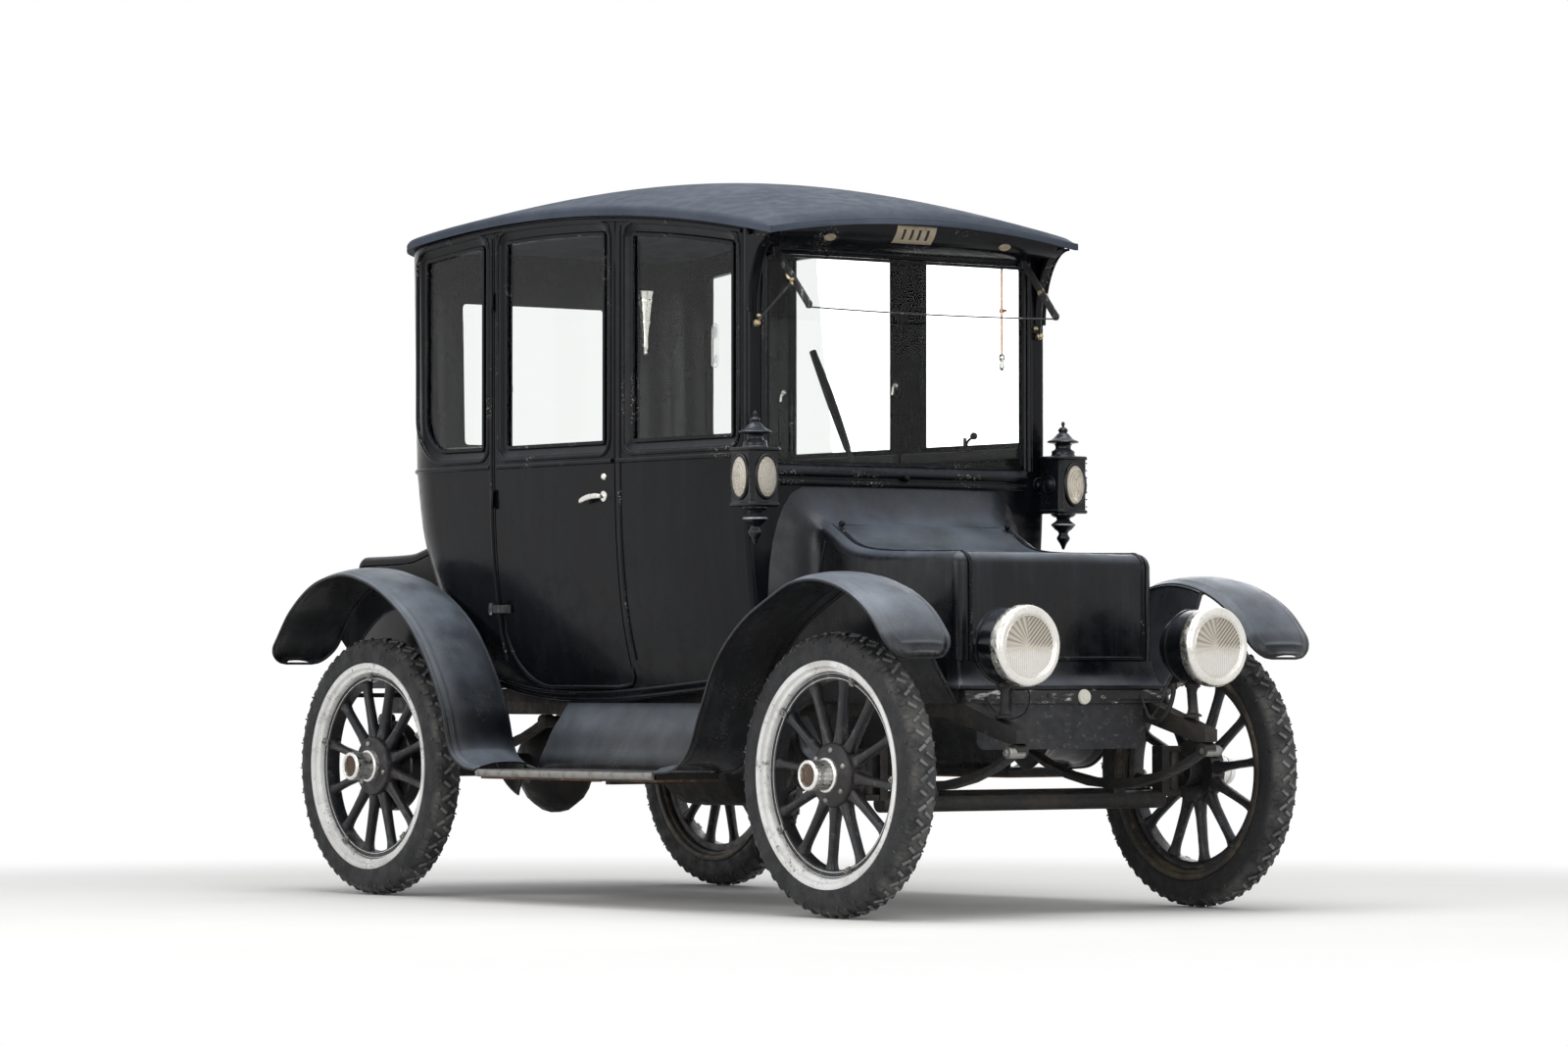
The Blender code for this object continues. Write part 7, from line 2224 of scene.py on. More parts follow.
    def hub(self, driven: bool) -> tuple[Shape, Shape, Shape]:
        """Flanges and barrel, nickel cap, and the cap's dull centre.

        Args:
            driven: Whether it is a rear wheel.

        Returns:
            The three shapes, in that order.
        """
        flange = [(0.0, 0.046), (0.054, 0.046), (0.059, 0.045), (0.068, 0.0425), (0.08, 0.0385), (0.09, 0.0335),
            (0.096, 0.0285), (0.0975, 0.024), (0.0975, -0.026)]
        if driven:
            flange = [(0.0, 0.0385), (0.048, 0.0385), (0.053, 0.037), (0.064, 0.0335), (0.082, 0.0325),
                (0.09, 0.0345), (0.095, 0.033), (0.0975, 0.029), (0.0975, -0.026), (0.145, -0.026),
                (0.15, -0.031), (0.15, -0.074), (0.147, -0.076), (0.0215, -0.076)]
        else:
            flange += [(0.052, -0.027), (0.052, -0.072), (0.049, -0.075), (0.0215, -0.075)]
        body = Shape().turned([*flange, (0.0215, 0.0), (0.0, 0.0)], axis=(1, 0, 0), segments=64)
        cap = [(0.0, 0.036), (0.053, 0.036), (0.053, 0.049), (0.0518, 0.052), (0.0485, 0.0535), (0.0462, 0.055),
            (0.0452, 0.059), (0.045, 0.08), (0.0442, 0.098), (0.045, 0.1), (0.0466, 0.1015), (0.047, 0.105),
            (0.047, 0.113), (0.0462, 0.118), (0.043, 0.1215), (0.0385, 0.1222), (0.0355, 0.1205),
            (0.0342, 0.116), (0.0338, 0.108), (0.0, 0.108)]
        centre = [(0.0, 0.1078), (0.0339, 0.1078), (0.0339, 0.109), (0.03, 0.1104), (0.0, 0.1112)]
        return (body, Shape().turned(cap, axis=(1, 0, 0), segments=64), Shape().turned(centre, axis=(1, 0, 0),
            segments=48))

    def bolts(self, driven: bool) -> Shape:
        """Hub bolts and the five rim clamps with their nuts.

        Args:
            driven: Whether it is a rear wheel.

        Returns:
            The shape.
        """
        dome = Shape().turned([(0.0092, -0.006), (0.0092, 0.001), (0.0076, 0.0046), (0.004, 0.0068),
            (0.0, 0.0074)], axis=(1, 0, 0), segments=16)
        nut = Shape().turned([(0.0, -0.002), (0.0085, -0.002), (0.0085, 0.0065), (0.007, 0.0078),
            (0.004, 0.008), (0.0038, 0.0125), (0.0, 0.0128)], axis=(1, 0, 0), segments=6)
        lug = Shape().skin([[(x, y, z) for x, y, z in ((0.0, -0.0115 * w, h), (0.0, 0.0115 * w, h),
            (d, 0.0105 * w, h), (d, -0.0105 * w, h))] for h, w, d in ((-0.017, 0.8, 0.006), (-0.01, 1.0, 0.008),
            (0.008, 1.0, 0.009), (0.014, 0.75, 0.015), (0.019, 0.7, 0.016))])
        shape = self.rings.spread(dome, Look.STEEL, Count=3 if driven else 6, Radius=0.076,
            Offset=0.0345 if driven else 0.0385, Start=0.3)
        shape.joined(self.rings.spread(nut, Look.STEEL, Count=5, Radius=0.2985, Offset=0.031, Start=0.5))
        return shape.joined(self.rings.spread(lug, Look.STEEL, Count=5, Radius=0.3015, Offset=0.0238,
            Start=0.5))

    def build(self) -> None:
        """Make one wheel of each kind and set it at its places."""
        tyre, (rim, rim_back), felloe, lines = self.tyre(), self.rim(), self.felloe(), self.lines()
        spokes = self.rings.spread(self.spoke(), Look.SPOKE, Count=self.spokes, Start=pi / self.spokes)
        for end in ("front", "rear"):
            driven = end == "rear"
            hub, cap, centre = self.hub(driven)
            bolts = self.bolts(driven)
            parts = (("tread_tyre", tyre, Look.TYRE, "tyre"), ("rim", rim, Look.RIM, "wheel_black"),
                ("rim_back", rim_back, Look.RIM_BACK, "wheel_black"), ("felloe", felloe, Look.SPOKE,
                "wheel_black"), ("rim_lines", lines, Look.RIM, "wheel_black"), ("spokes", spokes, Look.SPOKE,
                "wheel_black"), ("hub", hub, Look.HUB, "wheel_black"), ("hub_cap", cap, Look.CAP, ""),
                ("hub_centre", centre, Look.BELLY, ""), ("bolts", bolts, Look.STEEL, ""))
            for side, sign in SIDES:
                low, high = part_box(f"tyre_{end}_{side}")
                spot = (low + high) / 2
                at = Matrix.Translation(spot) @ Matrix.Rotation(0 if sign > 0 else pi, 4, "Z")
                for name, shape, look, slot in parts:
                    node = f"tyre_{end}_{side}" if name == "tread_tyre" else f"wheel_{end}_{side}"
                    turn = at @ Matrix.Rotation(0.55 if end == "rear" else 0.15, 4, "X")
                    piece(f"{name}_{end}_{side}", shape.moved(turn), look, f"wheel_{end}_{side}", [node],
                        40)


@dataclass
class Headlamps:
    """Drum lamps: shell, nickel rim, fluted lens, reflector, bulb, post and conduit."""

    x: float = 0.374
    front: float = -1.765
    z: float = 0.816
    radius: float = 0.123

    def build(self) -> None:
        """Make both lamps."""
        drum = [(0.113, 0.01), (0.114, 0.016), (0.1145, 0.03), (0.1145, 0.105), (0.113, 0.118), (0.1095, 0.128),
            (0.11, 0.132), (0.108, 0.14), (0.1, 0.158), (0.086, 0.18), (0.066, 0.2), (0.042, 0.2145),
            (0.02, 0.2215), (0.0, 0.224)]
        inside = [(0.0, 0.22), (0.04, 0.2105), (0.064, 0.196), (0.084, 0.176), (0.098, 0.154), (0.1105, 0.116),
            (0.111, 0.02)]
        rim = [(0.0935, 0.01), (0.0938, 0.0062), (0.0962, 0.003), (0.1008, 0.001), (0.106, 0.0002),
            (0.1112, 0.001), (0.116, 0.0036), (0.12, 0.0084), (0.1224, 0.015), (0.123, 0.025), (0.1228, 0.039),
            (0.1212, 0.0458), (0.1185, 0.049), (0.115, 0.0485), (0.1149, 0.03), (0.1149, 0.02), (0.105, 0.013)]
        bezel = [(0.0898, 0.0085), (0.09, 0.0056), (0.0916, 0.0044), (0.0934, 0.0048), (0.0944, 0.0064),
            (0.0944, 0.009)]
        bowl = [(0.1095, 0.012), (0.109, 0.03), (0.098, 0.07), (0.08, 0.105), (0.056, 0.13), (0.03, 0.143),
            (0.012, 0.146)]
        shell = [(r - 0.0012, d + 0.001) for r, d in bowl[::-1]]
        band = [(0.1165, 0.122), (0.1165, 0.1275), (0.112, 0.129), (0.112, 0.1205)]
        for side, sign in SIDES:
            spot = (sign * self.x, self.front, self.z)
            turn = {"at": spot, "axis": (0, 1, 0), "segments": 96}
            shape = Shape().turned(drum + inside, **turn)
            shape.turned(band, looped=True, **turn)
            piece(f"headlamp_{side}_drum", shape, Look.LAMP, replaces=[f"headlamp_{side}"], angle=40)
            ring = Shape().turned(rim, looped=True, **turn).turned(bezel, looped=True, **turn)
            piece(f"headlamp_{side}_rim", ring, Look.NICKEL, angle=50)
            mirror = Shape().turned([*bowl, *shell], looped=True, **turn)
            piece(f"headlamp_{side}_reflector", mirror, Look.REFLECTOR, angle=60)
            bulb = Shape().turned([(0.0, 0.085), (0.01, 0.087), (0.0165, 0.096), (0.017, 0.108), (0.012, 0.122),
                (0.0085, 0.13), (0.0085, 0.148), (0.0, 0.148)], **turn)
            piece(f"headlamp_{side}_bulb", bulb, Look.IVORY, angle=60)
            piece(f"headlamp_{side}_lens", self.lens(spot), Look.HEAD_LENS, angle=60)
            self.build_post(side, sign)

    def lens(self, spot: Spot) -> Shape:
        """Domed glass with slanted flutes at the upper right, rays at the left and a frosted foot.

        Args:
            spot: Its place.

        Returns:
            The shape.
        """
        reach, steps = 0.0942, 220
        points, lay = [], []
        radii = [*np.linspace(0.0006, reach, 56), *np.linspace(reach, 0.0006, 4)]
        for row, radius in enumerate(radii):
            dome = 0.0092 - 0.0036 * (1 - (radius / reach) ** 2)
            for turn in np.arange(steps) * 2 * pi / steps:
                u, v = radius * cos(turn), radius * sin(turn)
                slanted = min(max((u + 0.012) / 0.016, 0), 1) * min(max((v + 0.016) / 0.016, 0), 1)
                rays = (1 - slanted) * min(max((v + 0.035) / 0.03, 0), 1) * min(radius / 0.03, 1)
                flute = slanted * 0.0013 * (0.5 + 0.5 * cos(2 * pi * (u - v) * 0.7071 / 0.0105))
                flute += rays * 0.0008 * (0.5 + 0.5 * cos(30 * turn))
                depth = dome - flute if row < 56 else dome + 0.004
                points.append((spot[0] + u, spot[1] + depth, spot[2] + v))
                # ridge sets lay for the flute bands of painted shade and highlight
                ridge = slanted * (0.5 + 0.5 * cos(2 * pi * (u - v) * 0.7071 / 0.0105)) + 0.6 * rays * (0.5 +
                    0.5 * cos(26 * turn))
                foot = min(max((0.01 - v) / 0.04, 0.0), 1.0)
                lay.append(0.5 * (1 - ridge) * (1 - foot) + foot * (0.85 + 0.15 * cos(2 * pi * u / 0.0075)))
        count = len(radii)
        faces = [(row * steps + i, row * steps + (i + 1) % steps, (row + 1) * steps + (i + 1) % steps,
            (row + 1) * steps + i) for row in range(count - 1) for i in range(steps)]
        faces += [tuple(reversed(range(steps))), tuple(range((count - 1) * steps, count * steps))]
        return Shape().add(points, faces, lay)

    def build_post(self, side: str, sign: int) -> None:
        """The forked bracket under the drum, the wire and its bent conduit.

        Args:
            side: Left or right.
            sign: 1 on the left and -1 on the right.
        """
        x, y = sign * self.x, self.front + 0.124
        shape = Shape().turned([(0.0, 0.0), (0.028, 0.0), (0.028, 0.006), (0.017, 0.012), (0.0135, 0.03),
            (0.0125, 0.075), (0.016, 0.086), (0.024, 0.092), (0.024, 0.104), (0.0, 0.104)],
            (x, y, self.z - 0.214), (0, 0, 1), 28)
        shape.sweep([(x, y + 0.055 * sin(t), self.z - 0.117 * cos(t) + 0.0005) for t in (-0.42, -0.2, 0, 0.2,
            0.42)], [(-0.017, -0.006), (0.017, -0.006), (0.017, 0.004), (-0.017, 0.004)], (0, 0, 1))
        inner = x - sign * 0.052
        conduit = smooth_line([(inner, y + 0.03, self.z - 0.112), (inner, y + 0.03, self.z - 0.14),
            (inner - sign * 0.006, y + 0.045, self.z - 0.19), (inner - sign * 0.01, y + 0.085, self.z - 0.225),
            (inner - sign * 0.004, y + 0.14, self.z - 0.215), (inner + sign * 0.018, y + 0.185,
            self.z - 0.185)], 8)
        shape.rod(conduit, 0.0075, 12)
        shape.turned([(0.0, 0.0), (0.0115, 0.0), (0.0115, 0.018), (0.0, 0.018)],
            (inner, y + 0.03, self.z - 0.13), (0, 0, 1), 20)
        piece(f"headlamp_{side}_bracket", shape, Look.IRON, replaces=[f"headlamp_{side}"], angle=45)
        loop = smooth_line([(inner - sign * 0.03, y + 0.02, self.z - 0.098), (inner - sign * 0.055, y + 0.01,
            self.z - 0.15), (inner - sign * 0.062, y + 0.05, self.z - 0.205), (inner - sign * 0.03, y + 0.11,
            self.z - 0.215), (inner - sign * 0.01, y + 0.17, self.z - 0.15), (inner - sign * 0.006, y + 0.19,
            self.z - 0.128)], 8)
        piece(f"headlamp_{side}_wire", Shape().rod(loop, 0.0028, 8), Look.GRIP, angle=60)


@dataclass
class Lanterns:
    """Carriage lanterns with bulged lenses, a tiered crown and a drop."""

    x: float = 0.622
    y: float = -0.733
    half: float = 0.062
    low: float = 1.25
    high: float = 1.435

    def build(self) -> None:
        """Make both lanterns."""
        half, cut = self.half, 0.014
        for side, sign in SIDES:
            at = Vector((sign * self.x, self.y, 0))
            rows = []
            for z, size in ((self.low, half - 0.004), (self.low + 0.004, half), (self.low + 0.01, half),
                    (self.low + 0.013, half - 0.004), (self.high - 0.013, half - 0.004),
                    (self.high - 0.01, half), (self.high - 0.003, half), (self.high, half - 0.004)):
                inner = size - cut
                rows.append([at + Vector((x, y, z)) for x, y in ((inner, -size), (size, -inner), (size, inner),
                    (inner, size), (-inner, size), (-size, inner), (-size, -inner), (-inner, -size))])
            box = loose_object("box", Shape().skin(rows).mesh("box"))
            level = (self.low + self.high) / 2
            cuts = [self.oval(at, level, way, 0.04, 0.066,
                ((0.05, 1.0), (-0.0535, 1.0))) for way in self.faces(sign)]
            box = carved(box, cuts)
            box.name = f"lantern_{side}_body"
            finished(box, Look.LAMP, "car", [f"lantern_{side}"], 30, 0.0012)
            self.build_turned(side, at, sign, level)
            self.build_faces(side, at, sign, level)

    def faces(self, sign: int) -> tuple[Vector, Vector]:
        """Outward directions of the two glazed faces."""
        return Vector((0, -1, 0)), Vector((sign, 0, 0))

    def oval(self, at: Vector, level: float, way: Vector, wide: float, tall: float, rows: Sequence[Spot],
            lay: Sequence[float] = ()) -> Shape:
        """Rings of an oval that face one way; each row is an offset outwards from the face and a scale.

        Args:
            at: Middle of the lantern.
            level: Height of the lenses.
            way: Direction that it faces.
            wide: Half width of the oval.
            tall: Half height of the oval.
            rows: Offset and scale of each ring.
            lay: Value of each vertex.

        Returns:
            The shape.
        """
        across = Vector((-way.y, way.x, 0))
        rings = []
        for out, scale in rows:
            rings.append([at + Vector((0, 0, level)) + way * (self.half - 0.004 + out) + across *
                (wide * scale * cos(t)) + Vector((0, 0, tall * scale * sin(t))) for t in np.linspace(0, 2 * pi,
                49)[:-1]])
        return Shape().skin(rings, lay=lay)

    def build_faces(self, side: str, at: Vector, sign: int, level: float) -> None:
        """Bezels, bulged lenses and rivets.

        Args:
            side: Left or right.
            at: Middle of the lantern.
            sign: 1 on the left and -1 on the right.
            level: Height of the lenses.
        """
        bezel, lens, rivets = Shape(), Shape(), Shape()
        for way in self.faces(sign):
            across = Vector((-way.y, way.x, 0))
            path = [at + Vector((0, 0, level + 0.066 * sin(t))) + way * (self.half - 0.003) + across *
                (0.04 * cos(t)) for t in np.linspace(0, 2 * pi, 49)[:-1]]
            bezel.sweep(path, [(0.0058 * cos(a), 0.0052 * sin(a)) for a in np.linspace(0, 2 * pi, 11)[:-1]],
                way, True)
            steps = np.linspace(0, pi / 2, 12)
            rows = [(0.0005 + 0.0125 * sin(t), max(cos(t), 0.02)) for t in steps]
            lens.joined(self.oval(at, level, way, 0.0385, 0.064, [(-0.004, 1.0), *rows],
                [0.0, *[1 - cos(t) for t in steps]]))
            for x in (-0.049, 0.049):
                for z in np.linspace(-0.07, 0.07, 7):
                    spot = at + Vector((0, 0, level + z)) + way * (self.half - 0.0042) + across * x
                    rivets.turned([(0.0, 0.0017), (0.0014, 0.0013), (0.002, 0.0), (0.002, -0.002), (0, -0.002)],
                        spot, way, 10)
        inner = Vector((-sign, 0, 0))
        bezel.joined(Shape().turned([(0.0, 0.012), (0.012, 0.01), (0.021, 0.004), (0.024, 0.0035),
            (0.027, 0.005), (0.03, 0.0035), (0.031, -0.002), (0, -0.002)],
            at + Vector((0, 0, level)) + inner * (self.half - 0.006), inner, 32))
        piece(f"lantern_{side}_bezels", bezel.joined(rivets), Look.LAMP, angle=50)
        piece(f"lantern_{side}_lenses", lens, Look.LENS, angle=70)
        glow = Shape()
        for way in self.faces(sign):
            glow.joined(self.oval(at, level, way, 0.038, 0.063, ((-0.0485, 1.0), (-0.048, 0.5),
                (-0.047, 0.02))))
        piece(f"lantern_{side}_backs", glow, Look.REFLECTOR, angle=60)

    def build_turned(self, side: str, at: Vector, sign: int, level: float) -> None:
        """Crown, drop and the arm with its disc and ball nut.

        Args:
            side: Left or right.
            at: Middle of the lantern.
            sign: 1 on the left and -1 on the right.
            level: Height of the lenses.
        """
        crown = [(0.0, 0.113), (0.0035, 0.1115), (0.006, 0.107), (0.0062, 0.103), (0.004, 0.0985),
            (0.0038, 0.0955), (0.0095, 0.093), (0.015, 0.088), (0.0165, 0.083), (0.0135, 0.079), (0.014, 0.076),
            (0.02, 0.072), (0.027, 0.064), (0.0345, 0.0575), (0.044, 0.0525), (0.05, 0.0495), (0.052, 0.0465),
            (0.05, 0.044), (0.044, 0.0425), (0.03, 0.04), (0.026, 0.035), (0.025, 0.027), (0.028, 0.022),
            (0.035, 0.019), (0.038, 0.015), (0.037, 0.008), (0.04, 0.003), (0.044, -0.002), (0.0, -0.002)]
        drop = [(0.0, 0.004), (0.04, 0.004), (0.04, -0.004), (0.033, -0.01), (0.024, -0.0125), (0.0215, -0.017),
            (0.0235, -0.0215), (0.03, -0.026), (0.0375, -0.032), (0.0388, -0.0365), (0.037, -0.04),
            (0.033, -0.044), (0.028, -0.05), (0.019, -0.056), (0.015, -0.062), (0.016, -0.068),
            (0.0205, -0.074), (0.0215, -0.08), (0.018, -0.087), (0.012, -0.095), (0.0075, -0.104),
            (0.005, -0.111), (0.003, -0.1145), (0.0, -0.115)]
        shape = Shape().turned(crown, at + Vector((0, 0, self.high)), segments=56)
        shape.turned(drop, at + Vector((0, 0, self.low)), segments=56)
        piece(f"lantern_{side}_crown", shape, Look.LAMP, replaces=[f"lantern_{side}"], angle=40)
        edge = Shape().turned([(0.0384, -0.0325), (0.0392, -0.035), (0.039, -0.038), (0.0384, -0.0385)],
            at + Vector((0, 0, self.low)), segments=56, looped=True)
        piece(f"lantern_{side}_edge", edge, Look.STEEL, angle=50)
        inboard = at.x - sign * self.half * 0.75
        arm = Shape().turned([(0.0, 0.0), (0.0155, 0.0), (0.0155, 0.006), (0.01, 0.01), (0.0095, 0.055),
            (0.015, 0.058), (0.0155, 0.0677), (0.0, 0.0677)], (inboard, self.y, level), (0, 1, 0), 28)
        arm.turned([(0.0, 0.0), (0.024, 0.0), (0.026, 0.002), (0.026, 0.005), (0.0, 0.005)],
            (inboard, self.y + 0.0625, level), (0, 1, 0), 32)
        piece(f"lantern_{side}_arm", arm, Look.TRIM, replaces=[f"lantern_{side}"], angle=45)


@dataclass
class Screen:
    """Windshield frame, its stays and rods, the vent plate and the small handles above."""

    plan: CarPlan
    half: float = 0.52
    low: float = 1.392
    high: float = 2.046

    def build(self) -> None:
        """Make the frame and its fittings."""
        y, half = self.plan.dash, self.half
        corners = [(half + 0.018, self.low - 0.006), (half + 0.018, self.high + 0.018),
            (-half - 0.018, self.high + 0.018), (-half - 0.018, self.low - 0.006)]
        frame = Shape()
        for one, two in zip(corners[:3], corners[1:]):
            frame.sweep([(one[0], y, one[1]), (two[0], y, two[1])], half_round(0.02, 0.0085), (0, -1, 0))
        inner = Shape()
        edge = 0.01
        for low_x, high_x, low_z, high_z in ((-half, -half + edge, self.low, self.high),
                (half - edge, half, self.low, self.high), (-half, half, self.low, self.low + edge),
                (-half, half, self.high - edge, self.high)):
            inner.box((low_x + 0.0004, y + 0.006, low_z + 0.0004), (high_x - 0.0004, y + 0.0142,
                high_z - 0.0004))
        piece("screen_frame", frame.joined(inner), Look.TRIM, angle=45)
        piece("screen_stays", self.stays(), Look.STAY, angle=45, bevel=0.0006)
        brass = Shape()
        for sign in (-1, 1):
            nut = (sign * 0.503, y - 0.105, 1.956)
            brass.turned([(0.0, -0.012), (0.008, -0.012), (0.009, -0.004), (0.006, 0.01), (0.0, 0.012)], nut,
                (sign, 0, 0), 20)
            for lift in (-1, 1):
                wing = [(nut[0] + sign * 0.006, nut[1], nut[2]), (nut[0] + sign * 0.012, nut[1] + lift * 0.008,
                    nut[2] + lift * 0.007), (nut[0] + sign * 0.013, nut[1] + lift * 0.016,
                    nut[2] + lift * 0.017)]
                brass.rod(wing, 0.0038, 8, sizes=lambda t: 0.7 + 0.7 * sin(pi * t * 0.9))
        for sign in (-1, 1):
            for spot, size in (((0.572, y - 0.01, 1.824), 0.9), ((0.56, y - 0.004, 1.848), 0.6)):
                x, depth, z = spot
                brass.turned([(r * size, h * size) for r, h in ((0.0, 0.016), (0.006, 0.0155), (0.0095, 0.011),
                    (0.0085, 0.006), (0.012, 0.003), (0.012, -0.006), (0.0, -0.006))], (sign * x, depth, z),
                    (0, -1, 0), 24)
        piece("screen_knobs", brass, Look.BRASS, angle=45)
        self.build_vent()

    def stays(self) -> Shape:
        """Flat arms, a thin rod below each and the wire between them.

        Returns:
            The shape.
        """
        y = self.plan.dash
        flat = [(-0.013, -0.0028), (0.013, -0.0028), (0.013, 0.0028), (-0.013, 0.0028)]
        one = Shape()
        one.sweep([(0.502, y - 0.014, 2.058), (0.5, y - 0.098, 1.966), (0.498, y - 0.18, 1.876)], flat,
            (1, 0, 0))
        one.turned([(0.0, -0.005), (0.0125, -0.005), (0.0125, 0.005), (0.0, 0.005)], (0.498, y - 0.18, 1.876),
            (1, 0, 0), 24)
        one.turned([(0.0, -0.005), (0.014, -0.005), (0.014, 0.005), (0.0, 0.005)], (0.502, y - 0.015, 2.056),
            (1, 0, 0), 24)
        one.rod([(0.505, y - 0.105, 1.95), (0.54, y - 0.055, 1.886), (0.572, y - 0.01, 1.824)], 0.0036, 10)
        one.box((0.492, y - 0.018, 2.04), (0.512, y + 0.002, 2.072))
        one.box((0.563, y - 0.01, 1.812), (0.581, y + 0.002, 1.834))
        whole = one.both()
        sag = [(x, y - 0.181, 1.868 - 0.006 * (1 - (x / 0.49) ** 2)) for x in np.linspace(-0.494, 0.494, 25)]
        return whole.rod(sag, 0.0026, 8)

    def build_vent(self) -> None:
        """The tan slotted plate, two oval escutcheons and two thin handles on the header."""
        plan = self.plan
        start, end = plan.dash + 0.002, plan.roof_front + 0.022

        def on_cove(x: float, height: float) -> tuple[Vector, Vector]:
            """Point of the concave header at a height, and its outward direction.

            Args:
                x: Place across the car.
                height: Height on the header.

            Returns:
                The point and the direction.
            """
            high, low = plan.roof_height(x, end) - 0.026, 2.062
            t = math.asin(max(min(1 - (height - low) / (high - low), 1.0), 0.0))
            spot = Vector((x, end + (start - end) * (1 - cos(t)), height))
            way = Vector((0, (start - end) * sin(t), -(high - low) * cos(t))).normalized()
            return spot, Vector((0, way.z, -way.y))

        slots = [-0.068 + 0.032 * k for k in range(4)]
        dark = Shape()
        for middle in slots:
            faces = [[on_cove(x, height) for x in (middle - 0.0058,
                middle + 0.0058)] for height in np.linspace(2.102, 2.133, 8)]
            dark.skin([[spot + out * 0.0014 for spot, out in row] + [spot + out * 0.0004 for spot,
                out in row[::-1]] for row in faces])
        piece("roof_vent_slots", dark, Look.GRIP, angle=40)
        rows = []
        for height in np.linspace(2.091, 2.144, 19):
            row = []
            for x in np.linspace(-0.099, 0.059, 65):
                spot, out = on_cove(x, height)
                edge = min(x + 0.099, 0.059 - x, height - 2.091, 2.144 - height)
                slot = any(abs(x - middle) < 0.0062 for middle in slots) and 2.1 < height < 2.135
                rise = 0.004 - 0.003 * math.exp(-edge / 0.003) - (0.0032 if slot else 0.0)
                row.append(spot + out * rise)
            rows.append(row)
        back = [[p + Vector((0, 0.012, 0.004)) for p in row] for row in rows]
        piece("roof_vent", Shape().skin([row + other[::-1] for row, other in zip(rows, back)]), Look.VENT,
            angle=40)
        shape = Shape()
        for sign in (-1, 1):
            spot, out = on_cove(sign * 0.353, 2.096)
            across, up = Vector((1, 0, 0)), out.cross(Vector((1, 0, 0)))
            rings = [[spot + out * h + across * (0.023 * s * cos(t)) + up * (0.014 * s * sin(t)) for t in
                np.linspace(0, 2 * pi, 29)[:-1]] for h, s in ((-0.004, 1.0), (0.002, 1.0), (0.004, 0.9),
                (0.004, 0.55), (0.002, 0.5), (0.002, 0.02))]
            shape.skin(rings)
        piece("roof_escutcheons", shape, Look.VENT, angle=50)
        grips = Shape()
        for x0, x1 in ((-0.46, -0.27), (0.27, 0.46)):
            line = [(x, plan.dash - 0.01, 2.0735) for x in np.linspace(x0, x1, 9)]
            grips.sweep(line, [(0.0035 * cos(a), 0.005 * sin(a)) for a in np.linspace(0, 2 * pi, 11)[:-1]],
                (0, 0, 1), sizes=lambda t: 0.6 + 0.9 * sin(pi * t))
            for x in (x0 + 0.03, x1 - 0.03):
                grips.rod([(x, plan.dash - 0.011, 2.0735), (x, plan.dash + 0.004, 2.0735)], 0.0035, 8)
        piece("header_grips", grips, Look.TRIM, angle=50)


